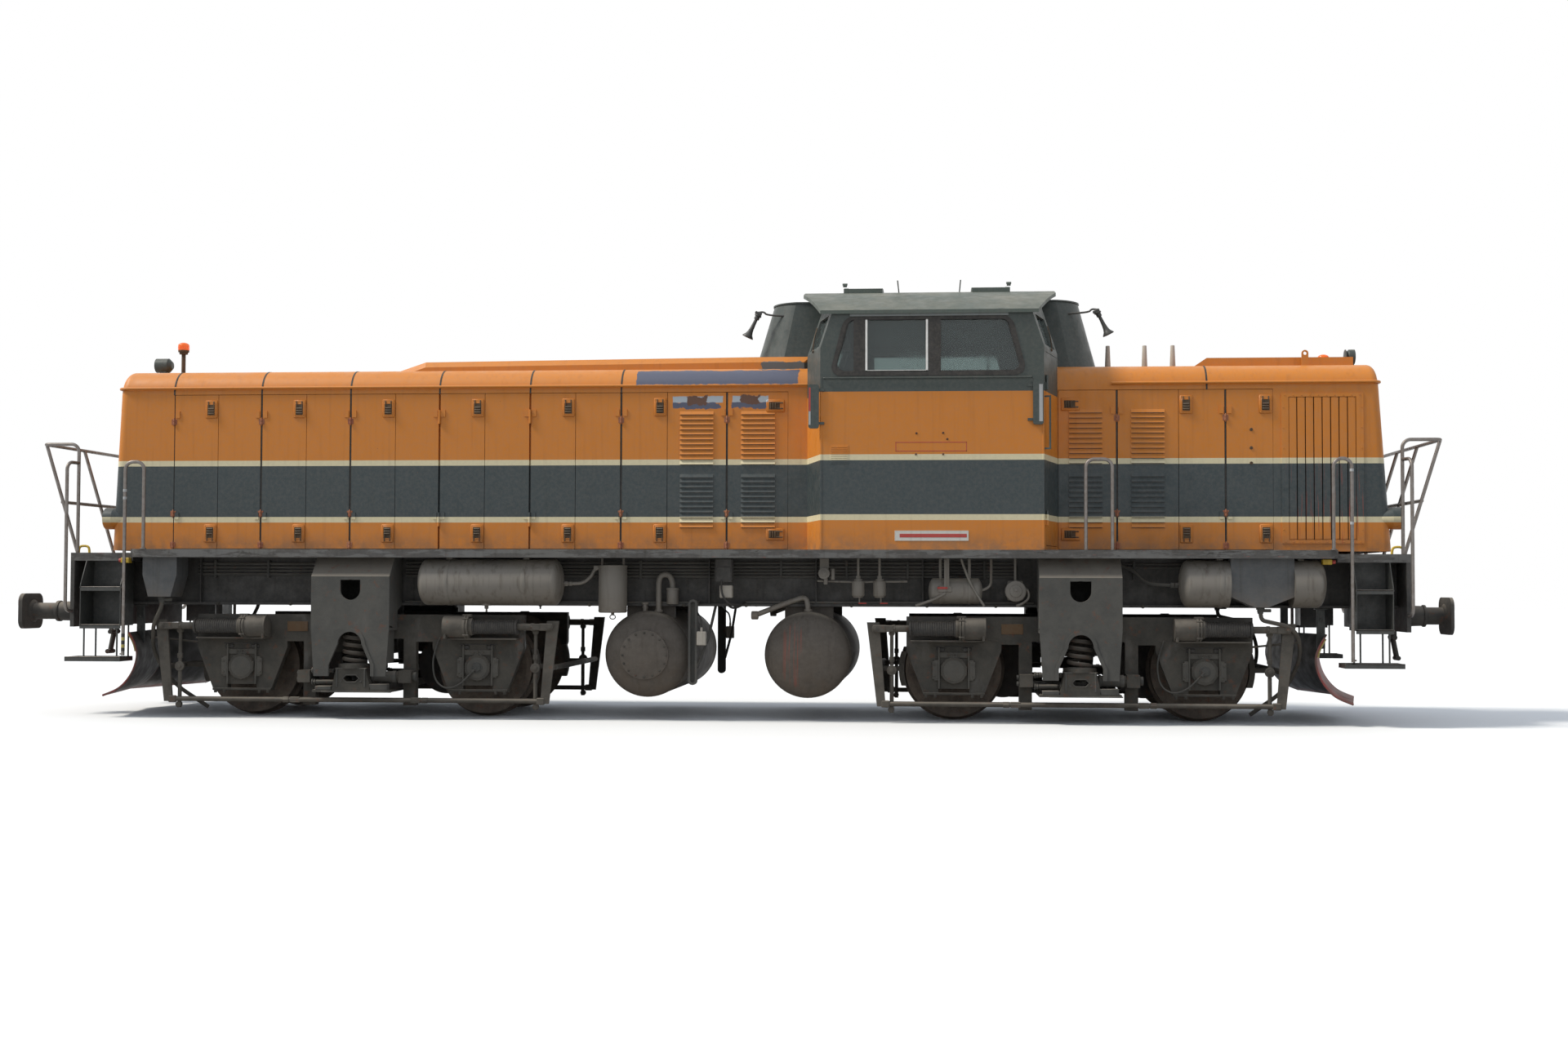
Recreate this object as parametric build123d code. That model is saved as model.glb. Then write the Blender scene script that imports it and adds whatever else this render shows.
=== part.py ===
from build123d import *
from math import radians, tan
import os

os.makedirs("parts", exist_ok=True)

# Frame: X along the locomotive, Y across it, Z up from the bottom of the wheel flanges, in mm.
# End "a" is at -X and end "b" at +X. The near side is at -Y and the far side at +Y.
ENDS = {"a": -1, "b": 1}
SIDES = (-1, 1)

# Wheels and rail level
RAIL = 28
TREAD_RADIUS = 478
FLANGE_RADIUS = TREAD_RADIUS + RAIL
AXLE_HEIGHT = RAIL + TREAD_RADIUS
WHEEL_BACK = 680
WHEEL_WIDTH = 135
FLANGE_WIDTH = 32
RIM_DEPTH = 62
HUB_RADIUS = 150
AXLE_RADIUS = 85
COLLAR_RADIUS = 75
JOURNAL_RADIUS = 65
JOURNAL_CLEARANCE = 0.1

# Overall plan
BUFFER_FACE = 7120
BUFFER_OFFSET = 875
BUFFER_HEIGHT = RAIL + 1020
BUFFER_RING = 25
BUFFER_RING_RADIUS = 130
BUFFER_SLEEVE_RADIUS = 105
BUFFER_SLEEVE_SHARE = 0.55
BUFFER_PLUNGER_RADIUS = 85
BUFFER_HEAD = 30
BUFFER_HEAD_HALF = 225
BUFFER_HEAD_RISE = 180
BUFFER_HEAD_CORNER = 90
HEADSTOCK_A = 6450
HEADSTOCK_B = 6650
HEADSTOCK_THICKNESS = 40
HEADSTOCK_BOTTOM = RAIL + 870
PIVOT = 3550
WHEELBASE = 2400

# Walkway and girders
DECK_TOP = RAIL + 1645
DECK_THICKNESS = 80
DECK_HALF = 1500
PLATFORM_HALF = DECK_HALF - 150
DECK_UNDER = DECK_TOP - DECK_THICKNESS
DECK_START = -5810
DECK_END = 5970
DECK_CORNER = 120
PLATFORM_DROP = 35
PLATFORM_TOP = DECK_TOP - PLATFORM_DROP
PLATFORM_UNDER = PLATFORM_TOP - DECK_THICKNESS
GIRDER_BOTTOM = RAIL + 1092
GIRDER_HALF = 950
GIRDER_WEB = 20
GIRDER_FLANGE_WIDTH = 180
GIRDER_FLANGE = 25
CROSS_BOX_HALF = 350
PIN_RADIUS = 110
PIN_CLEARANCE = 0.3
PIN_BOTTOM = RAIL + 640

# Hoods
HOOD_HALF = 850
HOOD_SKIN = 40
HOOD_POST = 50
HOOD_TOP = RAIL + 3495
SHOULDER_RADIUS = 250
HOOD_EDGE_RADIUS = 80
DOOR_BOTTOM = RAIL + 1663
DOOR_TOP = RAIL + 3234
DOOR_GAP = 20
SEAM = 5
SEAT_GAP = 0.3
LONG_END_TOP = -6183
LONG_END_BOTTOM = -6266
SHORT_END_TOP = 6480
SHORT_END_BOTTOM = 6605
LONG_GAPS = (-5611, -4692, -3762, -2840, -1908, -979, 91)
LONG_SEAMS = (-5146, -4222, -3296, -2373, -1444, -511)
LONG_LAST_SEAM = 706
OPEN_BAY = 3
SHORT_GAPS = (3955, 5009)
SHORT_SEAM = 4555
SHORT_LAST_SEAM = 5468
POST_HALF = 60

# Cab
CAB_CENTRE = 2136.5
CAB_CORNER_HALF = 1071.5
CAB_FACE_HALF = 1236.5
CAB_FACE_Y = HOOD_HALF + 20
CAB_HALF = DECK_HALF
CAB_WALL = 60
CAB_KINK = RAIL + 3590
CAB_LEAN = 0.33
ROOF_EDGE = RAIL + 3950
ROOF_TOP = RAIL + 4315
ROOF_SKIN = 35
ROOF_HALF = CAB_HALF + 30
ROOF_CENTRE = 2110
ROOF_CORNER_HALF = 1045
ROOF_FACE_HALF = 1250
CAB_DOOR_EDGE = 70
CAB_DOOR_WIDTH = 540
CAB_DOOR_BOTTOM = RAIL + 1690
CAB_DOOR_TOP = RAIL + 3545
CAB_DOOR_SKIN = 40
WINDOW_START = 1175
WINDOW_END = 3025
WINDOW_BOTTOM = RAIL + 3340
WINDOW_TOP = RAIL + 3885
WINDOW_SLANT = 150
WINDOW_CORNER = 90
GLASS = 8
CORNER_WINDOW_MARGINS = (90, 110)
CORNER_WINDOW_BOTTOM = CAB_KINK + 30
CORNER_WINDOW_TOP = RAIL + 3920

# Bogies
SIDE_OUTER = 1150
SIDE_THICKNESS = 100
SIDE_TOP = RAIL + 1000
LEG_INNER = 446
LEG_OUTER = 571
LEG_BOTTOM = RAIL + 98
PEDESTAL_TOP = RAIL + 670
PEDESTAL_BOTTOM = RAIL + 256
PEDESTAL_TOP_HALF = 460
PEDESTAL_BOTTOM_HALF = 300
BOX_HALF = 150
BOX_TOP = RAIL + 700
BOX_BOTTOM = RAIL + 300
TRANSOM_HALF = 280
TRANSOM_BOTTOM = RAIL + 620
TRANSOM_TOP = RAIL + 960
COVER_RADIUS = 125
COVER_DEPTH = 45
YAW_CLEAR = 40

# Bolster brackets and springs
BRACKET_HALF = 392
BRACKET_FACE = DECK_HALF - 20
BRACKET_PLATE = 25
BRACKET_BOTTOM = RAIL + 400
BRACKET_WEB_BOTTOM = RAIL + 530
BRACKET_BEVEL = RAIL + 1378
BRACKET_BEVEL_TOP = BRACKET_FACE - 180
BRACKET_FOOT_HALF = 360
BRACKET_TAPER_TOP = RAIL + 900
ARCH_FOOT_HALF = 210
ARCH_SHOULDER = RAIL + 510
ARCH_HALF = 120
ARCH_TOP = RAIL + 835
ARCH_RIB = 35
ARCH_RIB_HEIGHT = 8
WINDOW_HOLE_HALF = 100
WINDOW_HOLE_LOW = RAIL + 1147
WINDOW_HOLE_TOP = RAIL + 1344
BEVEL_PLATE = 30
SPRING_TOP = RAIL + 850
SPRING_BOTTOM = RAIL + 515
SPRING_RADIUS = 108
SPRING_WIRE = 17
SPRING_TURNS = 4
SPRING_Y = BRACKET_FACE - 180
SEAT_HALF = 195
SEAT_TOP_HALF = 150
SEAT_COLLAR = 160
SEAT_COLLAR_HEIGHT = 40
SEAT_BOTTOM = RAIL + 262
SEAT_CLEAR = 20
SEAT_HOLE = (160, 65, RAIL + 375)
LINK_HEIGHT = RAIL + 390
LINK_HALF = 60
THICK_LINK_RADIUS = 52
THIN_LINK_RADIUS = 18
THIN_LINK_HEIGHTS = (RAIL + 310, RAIL + 450)
TIE_STRAP = 20
PLANK_BOTTOM = RAIL + 240
PLANK_HALF = 390
PLANK_REACH = BRACKET_FACE - 50


# Tanks, power unit and roof forms
RESERVOIR_SPANS = ((-2924, -1479), (4498, 4955), (5566, 5881))
RESERVOIR_OFFSET = DECK_HALF - 260
RESERVOIR_HEIGHT = RAIL + 1326
RESERVOIR_RADIUS = 228
STRAP_WIDTH = 60
FUEL_TANK_PLACES = (-655, 925)
FUEL_TANK_REACH = DECK_HALF - 200
FUEL_TANK_HEIGHT = RAIL + 622
FUEL_TANK_RADIUS = 420
POWER_UNIT_SPAN = (-5200, -600)
POWER_UNIT_HALF = 420
POWER_UNIT_TOP = RAIL + 2950
FAIRING_START = -3445
FAIRING_LOW = RAIL + 3610
FAIRING_HIGH = RAIL + 3640
FAIRING_HALF = 480
NOSE_A_FOOT = 330
NOSE_A_HEAD = 500
NOSE_B_FOOT = 3837
NOSE_B_HEAD = 3640
NOSE_TOP = RAIL + 4215
NOSE_FOOT_HALF = 400
NOSE_HEAD_HALF = 330
NOSE_ROUND = 0.75
NOSE_RIM = 14
ROOF_BOX_SPAN = (4882, 6318)
ROOF_BOX_SLOPE = 142
ROOF_BOX_HALF = 500
ROOF_BOX_TOP = RAIL + 3590

# Cab and roof fittings
HATCH_SPANS = ((1250, 1640), (2540, 2920))
HATCH_HALF = 650
HATCH_HEIGHT = 45
FRAME_PROUD = 6
FRAME_BAR = 26
WINDOW_POSTS = ((1387, 1495), (2105, 2224))
AWNING_SPAN = (1356, 2865)
AWNING_PLATE = 12
AWNING_BOTTOM = RAIL + 3890
HORN_MOUTH = 62
HORN_THROAT = 20
HORN_A = (240, 480)
HORN_B = (3930, 3690)
HORN_OFFSET = 290
HORN_BOTTOM = RAIL + 3830
HORN_TOP = RAIL + 4110
ANTENNA_PLACES = (3948, 4323, 4609)
ANTENNA_FOOT = 55
ANTENNA_FOOT_RADIUS = 32
ANTENNA_RADIUS = 12
ANTENNA_TOP = RAIL + 3790
BEACON_B_X = 6130
BEACON_A = (-5750, -300)
BEACON_A_TOP = RAIL + 3825
BEACON_HEIGHT = 60
BEACON_RADIUS = 48
BEACON_STALK = 22
TOP_LAMP_A = (-6167, -5993, RAIL + 3645)
TOP_LAMP_B = (6440, 6345, RAIL + 3650)
TOP_LAMP_RADIUS = 76
CORNER_LAMP_A = (-6350, -6000)
CORNER_LAMP_B = (6700, 6350)
CORNER_LAMP_HEIGHT = RAIL + 1970
CORNER_LAMP_INSET = 80
CORNER_LAMP_DRUM = 90
CORNER_LAMP_RADIUS = 110
MIRRORS = ((952, 1054, RAIL + 2810, RAIL + 3235), (3100, 3200, RAIL + 2840, RAIL + 3270))
MIRROR_CORNER = 25
MIRROR_ARM = 50
EYE_X = 5828
EYE_OFFSET = 600
EYE_TOP = RAIL + 3650
EYE_RADIUS = 33
EYE_PLATE = 8
SILL_RAIL = 8
SILL_RAIL_OFF = 19
SILL_RAIL_HEIGHT = RAIL + 3296
SILL_RAIL_SPAN = (1100, 3090)
HANDLE_ALONG = 14
HANDLE_OFF = 45
HANDLE_HEIGHTS = (RAIL + 2605, RAIL + 3120)

# Cab interior
DESK_SPAN = (2800, 3240)
DESK_TOP = RAIL + 2700
DESK_SLOPE = 160
DESK_HALF = 620
SEAT_OFFSET = 420
SEAT_DISTANCE = 420
DRIVER_SEAT_TOP = RAIL + 2230
CUSHION = 110
CUSHION_HALF = 230
SEAT_POST = 60

# Doors' pressed louvres, latches and hinges
LOUVRE_SPANS_LONG = ((-383, -44), (234, 576))
LOUVRE_SPANS_SHORT = ((3485, 3814), (4093, 4420))
LOUVRE_ROWS = ((RAIL + 1880, 11), (RAIL + 2512, 11))
LOUVRE_PITCH = 50
LOUVRE_HEIGHT = 34
LOUVRE_DEPTH = 16
LATCH_WIDTH = 70
LATCH_HEIGHT = 130
LATCH_DEPTH = 12
LATCH_CENTRES = (RAIL + 1810, RAIL + 3096)
HINGE_RADIUS = 12
HINGE_LENGTH = 70
HINGE_HEIGHTS = (RAIL + 1960, RAIL + 3000)
STRAP_LENGTH = 60
STRAP_THICKNESS = 10
STRAP_CLEAR = 8
CAB_HINGE_HEIGHTS = (RAIL + 1950, RAIL + 3250)
CAB_HINGE_RADIUS = 14
GRILLE_SPAN = (5546, 6334)
GRILLE_HEIGHTS = (RAIL + 1757, RAIL + 3159)
GRILLE_SLATS = 8
GRILLE_FRAME = 70
SLAT_THICKNESS = 8
SLAT_REACH = 0.7
SLAT_START = 0.15
GUTTER_HEIGHT = RAIL + 3305
GUTTER_RADIUS = 14
SHORT_GUTTER_START = 3900

# End platforms, steps and rails
RAIL_TUBE = 17
RAIL_BEND = 80
STEP_SPAN_A = (5872, 6290)
STEP_SPAN_B = (6112, 6460)
STEP_REACH = DECK_HALF - 20
STEP_DEPTH = 300
STEP_HEIGHTS = (RAIL + 885, RAIL + 1260)
STEP_LIP = 30
STEP_PLATE = 8
STEP_ROD = 9
STEP_ROD_INSET = 40
TRAY_HEIGHT = RAIL + 530
TRAY_SPAN_A = (5872, 6440)
TRAY_SPAN_B = (6010, 6560)
TRAY_RIM = 45
POST_A = 6400
POST_B = 6590
HANDRAIL_TOP = RAIL + 2700
HANDRAIL_MIDDLE = RAIL + 2120
HANDRAIL_LEAN = 370
HANDRAIL_INSET = 40
STANCHION_PLACES = (1240, 400)
STANCHION_RISE = 5.5
POLE_BOTTOM = RAIL + 1030
GRAB_TOP = RAIL + 2510
GRAB_FOOT = RAIL + 590
GRAB_LEGS_A = (5650, 5842)
GRAB_LEGS_B = (5910, 6080)
SIDE_RAIL_SPAN = (3600, 3850)
PLOUGH_PROFILE = ((5855, RAIL + 815), (5790, RAIL + 690), (5775, RAIL + 560), (5830, RAIL + 400),
                  (5950, RAIL + 260), (6130, RAIL + 175))
PLOUGH_PLATE = 16
PLOUGH_HALF = 1330
PLOUGH_SWEEP = 300
PLOUGH_ARM = 90
PLOUGH_ARM_OFFSET = 940

# Couplings
HOOK_HALF = 30
HOOK_PLATE = 25
HOOK_PLATE_HALF = 150
HOOK_PIN = 24
HOOK_PIN_X = 150
SCREW_LEAN = 40
HOOK_PROFILE = ((0, -60), (190, -75), (300, -95), (370, -40), (375, 40), (320, 75), (300, 20), (260, -20),
                (215, 20), (190, 80), (110, 70), (0, 60))
LINK_SPREAD = 75
LINK_PLATE = 18
LINK_DROP = 230
SCREW_LENGTH = 210
SCREW_RADIUS = 27

# Sand, brakes and equipment below the walkway
HOSE_CLEAR = 12
HOSE_DROP = 70
SANDBOX_A_LOW = RAIL + 1173
SANDBOX_B_LOW = RAIL + 1101
SANDBOX_A = ((-5678, DECK_UNDER), (-5678, RAIL + 1390), (-5620, SANDBOX_A_LOW), (-5390, SANDBOX_A_LOW),
             (-5330, RAIL + 1390), (-5330, DECK_UNDER))
SANDBOX_B = ((4965, DECK_UNDER), (4965, RAIL + 1201), (5190, SANDBOX_B_LOW), (5310, SANDBOX_B_LOW),
             (5556, RAIL + 1201), (5556, DECK_UNDER))
SANDBOX_INNER = 1130
SANDBOX_REACH = DECK_HALF - 80
SPOUT_LENGTH = 40
SPOUT_RADIUS = 26
SAND_HOSE_Y = 1345
SAND_HOSE_RADIUS = 20
SAND_HOSE_TOPS = {"a": (1955, SANDBOX_A_LOW - SPOUT_LENGTH - HOSE_CLEAR),
                  "b": (1700, SANDBOX_B_LOW - SPOUT_LENGTH - HOSE_CLEAR)}
SAND_ROUTE = ((2040, 1345, RAIL + 905), (2110, 1190, RAIL + 635), (2010, 960, RAIL + 305),
              (1690, 780, RAIL + 45))
HOSE_CLAMP = (1640, 1120, RAIL + 715)
EQUIPMENT_OFFSET = DECK_HALF - 300
UPRIGHT_CYLINDERS = ((-989, 142, RAIL + 1030, RAIL + 1500), (-457, 113, RAIL + 1141, RAIL + 1428),
                     (1418, 67, RAIL + 1221, RAIL + 1388), (1630, 64, RAIL + 1221, RAIL + 1388))
LYING_CYLINDER = (2105, 2626, 127, RAIL + 1245)
VALVE_BOXES = ((27, 196, RAIL + 1340, RAIL + 1520), (2860, 3050, RAIL + 1140, RAIL + 1350))
VALVE_BOX_HALF = 70
GAUGE_SPAN = (-234, -146)
GAUGE_HEIGHTS = (RAIL + 326, RAIL + 1160)
GAUGE_SETBACK = 60
GAUGE_BOX = (-33, RAIL + 746, RAIL + 865)
PIPE_SPAN = (-1400, 2800)
PIPE_STEP = 90
PIPE_HEIGHTS = (RAIL + 1300, RAIL + 1360, RAIL + 1420)
PIPE_RADIUS = 14
PIPE_CLIP = 30
CLIP_HALF = 15
STRAP_HALF = 40
PIPE_CLIPS = (-1250, -250, 750, 1750, 2700)
BRAKE_CYLINDER = (895, 1119)
BRAKE_CYLINDER_RADIUS = 105
BRAKE_HEIGHT = RAIL + 885
BRAKE_LINE = 1300
BRAKE_ROD = 28
BRAKE_BAR = 24
BELLOWS_SPAN = (1200, 1600)
BELLOWS_RINGS = 5
BELLOWS_RADIUS = 68
BELLOWS_SHARE = 0.7
BRAKE_LEVER_OUT = 780
BRAKE_LEVER_LEAN = 80
BRAKE_LEVER_PLATE = 30
LEVER_HEAD_HALF = 60
LEVER_FOOT_HALF = 42
PULL_ROD_HEIGHT = RAIL + 156
SHOE_GAP = 8
SHOE_DEPTH = 55
SHOE_HALF = 40
SHOE_REACH = 170


def block(x0, x1, y0, y1, z0, z1):
    """A box between two corners."""
    middle = Pos((x0 + x1) / 2, (y0 + y1) / 2, (z0 + z1) / 2)
    return middle * Box(abs(x1 - x0), abs(y1 - y0), abs(z1 - z0))


def side_plate(points, y0, y1):
    """An outline seen from the side, in X and Z, carried from y0 to y1."""
    face = Face(Wire.make_polygon([(x, min(y0, y1), z) for x, z in points]))
    return extrude(face, abs(y1 - y0), dir=(0, 1, 0))


def end_plate(points, x0, x1):
    """An outline seen from the end, in Y and Z, carried from x0 to x1."""
    face = Face(Wire.make_polygon([(min(x0, x1), y, z) for y, z in points]))
    return extrude(face, abs(x1 - x0), dir=(1, 0, 0))


def plan_plate(points, z0, z1):
    """An outline seen from above, in X and Y, carried from z0 to z1."""
    face = Face(Wire.make_polygon([(x, y, z0) for x, y in points]))
    return extrude(face, z1 - z0, dir=(0, 0, 1))


def bar(start, end, radius):
    """A round bar between two points."""
    line = Vector(*end) - Vector(*start)
    seat = Plane(origin=start, z_dir=line)
    return seat * Cylinder(radius, line.length, align=(Align.CENTER, Align.CENTER, Align.MIN))


def tube(points, radius, bend):
    """A round rail along straight runs, with bends of one radius."""
    path = FilletPolyline(*points, radius=bend)
    first = Vector(*points[1]) - Vector(*points[0])
    return sweep(Plane(origin=points[0], z_dir=first) * Circle(radius), path=path)


def turned(profile, centre_x, centre_z):
    """A ring or disc from an outline in radius and Y, turned about an axis along Y."""
    face = Face(Wire.make_polygon([(centre_x + radius, y, centre_z) for radius, y in profile]))
    return revolve(face, Axis((centre_x, 0, centre_z), (0, 1, 0)), 360)


def headstock(end):
    """How far the headstock's face stands from the middle at one end."""
    return HEADSTOCK_A if end < 0 else HEADSTOCK_B


def write(name, pieces):
    """Writes one sub-part, whose solids share a file."""
    solids = [solid for piece in pieces for solid in piece.solids()]
    export_step(Compound(solids), f"parts/{name}.step")


def fused(pieces):
    """One body from overlapping pieces."""
    whole = pieces[0]
    for piece in pieces[1:]:
        whole = whole + piece
    return whole


def main_frame():
    """Two girders with headstocks, the cross boxes over the bogies and their centre pins."""
    first, last = HEADSTOCK_THICKNESS - HEADSTOCK_A, HEADSTOCK_B - HEADSTOCK_THICKNESS
    pieces = []
    for side in SIDES:
        middle = side * GIRDER_HALF
        web0, web1 = middle - GIRDER_WEB / 2, middle + GIRDER_WEB / 2
        pieces.append(block(first, last, web0, web1, GIRDER_BOTTOM, PLATFORM_UNDER))
        pieces.append(block(DECK_START, DECK_END, web0, web1, GIRDER_BOTTOM, DECK_UNDER))
        pieces.append(block(first, last, middle - GIRDER_FLANGE_WIDTH / 2, middle + GIRDER_FLANGE_WIDTH / 2,
                            GIRDER_BOTTOM, GIRDER_BOTTOM + GIRDER_FLANGE))
    for end in ENDS.values():
        face = headstock(end)
        pieces.append(block(end * (face - HEADSTOCK_THICKNESS), end * face, -PLATFORM_HALF, PLATFORM_HALF,
                            HEADSTOCK_BOTTOM, PLATFORM_UNDER))
        pivot = end * PIVOT
        pieces.append(block(pivot - CROSS_BOX_HALF, pivot + CROSS_BOX_HALF, -GIRDER_HALF, GIRDER_HALF,
                            GIRDER_BOTTOM, DECK_UNDER))
        pieces.append(bar((pivot, 0, PIN_BOTTOM), (pivot, 0, GIRDER_BOTTOM + 1), PIN_RADIUS))
    return [fused(pieces)]


def walkway():
    """The deck plate, with a slightly lower and narrower platform at each end."""
    main = block(DECK_START, DECK_END, -DECK_HALF, DECK_HALF, DECK_UNDER, DECK_TOP)
    corners = main.edges().filter_by(Axis.Z)
    main = fillet(corners, DECK_CORNER)
    ends = block(-HEADSTOCK_A, HEADSTOCK_B, -PLATFORM_HALF, PLATFORM_HALF, PLATFORM_UNDER, PLATFORM_TOP)
    recess = block(DECK_START, DECK_END, -PLATFORM_HALF, PLATFORM_HALF, PLATFORM_UNDER, DECK_UNDER)
    return [main + ends - recess]


def arch(pivot, side, margin, y0, y1):
    """The bracket's arched opening, narrower at its round crown, grown by a margin."""
    half, foot = ARCH_HALF + margin, ARCH_FOOT_HALF + margin
    spring_line = ARCH_TOP - ARCH_HALF
    low = BRACKET_BOTTOM - 1
    outline = [(-foot, low), (-foot, ARCH_SHOULDER), (-half, spring_line), (half, spring_line),
               (foot, ARCH_SHOULDER), (foot, low)]
    sides = side_plate([(pivot + x, z) for x, z in outline], side * y0, side * y1)
    return sides + bar((pivot, side * y0, spring_line), (pivot, side * y1, spring_line), half)


def bolster_bracket(pivot, side):
    """The frame's bracket that comes down outside the bogie and rests on its coil spring."""
    inner = BRACKET_FACE - BRACKET_PLATE
    half, foot = BRACKET_HALF, BRACKET_FOOT_HALF
    outline = [(-foot, BRACKET_BOTTOM), (-half, BRACKET_TAPER_TOP), (-half, BRACKET_BEVEL),
               (half, BRACKET_BEVEL), (half, BRACKET_TAPER_TOP), (foot, BRACKET_BOTTOM)]
    face = side_plate([(pivot + x, z) for x, z in outline], side * inner, side * BRACKET_FACE)
    rib = arch(pivot, side, ARCH_RIB, BRACKET_FACE - 1, BRACKET_FACE + ARCH_RIB_HEIGHT)
    below = block(pivot - half, pivot + half, side * inner, side * (BRACKET_FACE + 2 * ARCH_RIB_HEIGHT),
                  0, BRACKET_BOTTOM)
    hole_low = WINDOW_HOLE_LOW + WINDOW_HOLE_HALF
    hole = block(pivot - WINDOW_HOLE_HALF, pivot + WINDOW_HOLE_HALF, side * (inner - 1),
                 side * (BRACKET_FACE + 1), hole_low, WINDOW_HOLE_TOP)
    hole_round = bar((pivot, side * (inner - 1), hole_low), (pivot, side * (BRACKET_FACE + 1), hole_low),
                     WINDOW_HOLE_HALF)
    face = face + (rib - below)
    face = face - arch(pivot, side, 0, inner - 1, BRACKET_FACE + 2 * ARCH_RIB_HEIGHT) - hole - hole_round
    bogie_clear = SIDE_OUTER + YAW_CLEAR
    flange_edge = GIRDER_HALF + GIRDER_FLANGE_WIDTH / 2
    bevel = [(side * BRACKET_FACE, BRACKET_BEVEL), (side * BRACKET_BEVEL_TOP, DECK_UNDER),
             (side * (BRACKET_BEVEL_TOP - BEVEL_PLATE), DECK_UNDER),
             (side * (BRACKET_FACE - BEVEL_PLATE), BRACKET_BEVEL)]
    web = [(side * inner, BRACKET_TAPER_TOP), (side * BRACKET_FACE, BRACKET_BEVEL),
           (side * BRACKET_BEVEL_TOP, DECK_UNDER), (side * flange_edge, DECK_UNDER),
           (side * flange_edge, GIRDER_BOTTOM), (side * bogie_clear, SIDE_TOP + YAW_CLEAR),
           (side * bogie_clear, SPRING_TOP)]
    cheek = [(side * bogie_clear, BRACKET_WEB_BOTTOM), (side * inner, BRACKET_WEB_BOTTOM),
             (side * inner, BRACKET_TAPER_TOP), (side * bogie_clear, BRACKET_TAPER_TOP)]
    pieces = [face, end_plate(bevel, pivot - half, pivot + half)]
    for edge in SIDES:
        outer = pivot + edge * half
        pieces.append(end_plate(web, outer - edge * BRACKET_PLATE, outer))
        shin = pivot + edge * foot
        pieces.append(end_plate(cheek, shin - edge * BRACKET_PLATE, shin))
    pieces.append(block(pivot - half, pivot + half, side * bogie_clear, side * BRACKET_FACE,
                        SPRING_TOP, SPRING_TOP + BRACKET_PLATE))
    return fused(pieces)


def hood_profile(half, top, radius, z_bottom):
    """The hood's section in Y and Z, with round shoulders, as a face at X = 0."""
    with BuildSketch(Plane.YZ) as section:
        with BuildLine():
            Line((-half, z_bottom), (-half, top - radius))
            RadiusArc((-half, top - radius), (-half + radius, top), radius)
            Line((-half + radius, top), (half - radius, top))
            RadiusArc((half - radius, top), (half, top - radius), radius)
            Line((half, top - radius), (half, z_bottom))
            Line((half, z_bottom), (-half, z_bottom))
        make_face()
    return section.sketch


def hood_solid(inset, cab_x, end_top, end_bottom, z_bottom):
    """A solid hood with its sloping end, drawn in by an inset."""
    end = 1 if end_bottom > cab_x else -1
    reach = end_bottom + end * 200
    radius = SHOULDER_RADIUS - inset
    section = hood_profile(HOOD_HALF - inset, HOOD_TOP - inset, radius, z_bottom)
    length = abs(reach - cab_x)
    solid = extrude(Pos(min(reach, cab_x), 0, 0) * section, length, dir=(1, 0, 0))
    slope = (end_bottom - end_top) / (HOOD_TOP - DECK_TOP)
    low, high = DECK_TOP - 300, HOOD_TOP + 300
    outline = [(end_bottom - end * inset + slope * (DECK_TOP - low), low),
               (end_bottom - end * inset + slope * (DECK_TOP - high), high),
               (reach + end * 50, high), (reach + end * 50, low)]
    solid = solid - side_plate(outline, -HOOD_HALF - 50, HOOD_HALF + 50)
    tip = solid.faces().sort_by(Axis.X)[-1 if end > 0 else 0]
    rim = tip.edges().sort_by(Axis.Z)[1:]
    return fillet(rim, HOOD_EDGE_RADIUS - inset / 2)


def hood_shell(cab_x, end_top, end_bottom):
    """The hood's skin over the roof and end, set back behind the doors by their thickness."""
    outer = hood_solid(0, cab_x, end_top, end_bottom, DECK_TOP)
    return outer - hood_solid(HOOD_SKIN + HOOD_POST, cab_x, end_top, end_bottom, DECK_TOP)


def door_recess(x0, x1):
    """The band on both sides that the doors fill."""
    bands = [block(x0, x1, side * (HOOD_HALF - HOOD_SKIN), side * (HOOD_HALF + 10),
                   DOOR_BOTTOM - SEAM, DOOR_TOP + SEAM) for side in SIDES]
    return bands[0] + bands[1]


def bay_opening(x0, x1):
    """The way in behind one pair of doors, on both sides, between two posts."""
    return block(x0 + POST_HALF, x1 - POST_HALF, -HOOD_HALF, HOOD_HALF,
                 DOOR_BOTTOM + POST_HALF, DOOR_TOP - POST_HALF)


def long_hood():
    """Roof, end, sill and posts of the long hood, open behind every pair of doors."""
    cab_face = CAB_CENTRE - CAB_FACE_HALF
    shell = hood_shell(cab_face, LONG_END_TOP, LONG_END_BOTTOM) - door_recess(LONG_GAPS[0], LONG_LAST_SEAM)
    bays = list(zip(LONG_GAPS[:-1], LONG_GAPS[1:])) + [(LONG_GAPS[-1], LONG_LAST_SEAM)]
    for x0, x1 in bays:
        shell = shell - bay_opening(x0, x1)
    return [shell]


def leaf(x0, x1, side, seat=0.0):
    """One plain door leaf over its posts."""
    return block(x0, x1, side * (HOOD_HALF - HOOD_SKIN + seat), side * HOOD_HALF, DOOR_BOTTOM, DOOR_TOP)


def strap(axis_x, side, toward, z, start=DOOR_GAP / 2):
    """A hinge strap on the outer face of a leaf, from its start beside the hinge line."""
    return block(axis_x + toward * start, axis_x + toward * STRAP_LENGTH, side * HOOD_HALF,
                 side * (HOOD_HALF + STRAP_THICKNESS), z, z + HINGE_LENGTH)


def latch(centre_x, side, centre_z, width=LATCH_WIDTH, height=LATCH_HEIGHT):
    """A flush latch's raised plate."""
    return block(centre_x - width / 2, centre_x + width / 2, side * HOOD_HALF,
                 side * (HOOD_HALF + LATCH_DEPTH), centre_z - height / 2, centre_z + height / 2)


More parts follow.
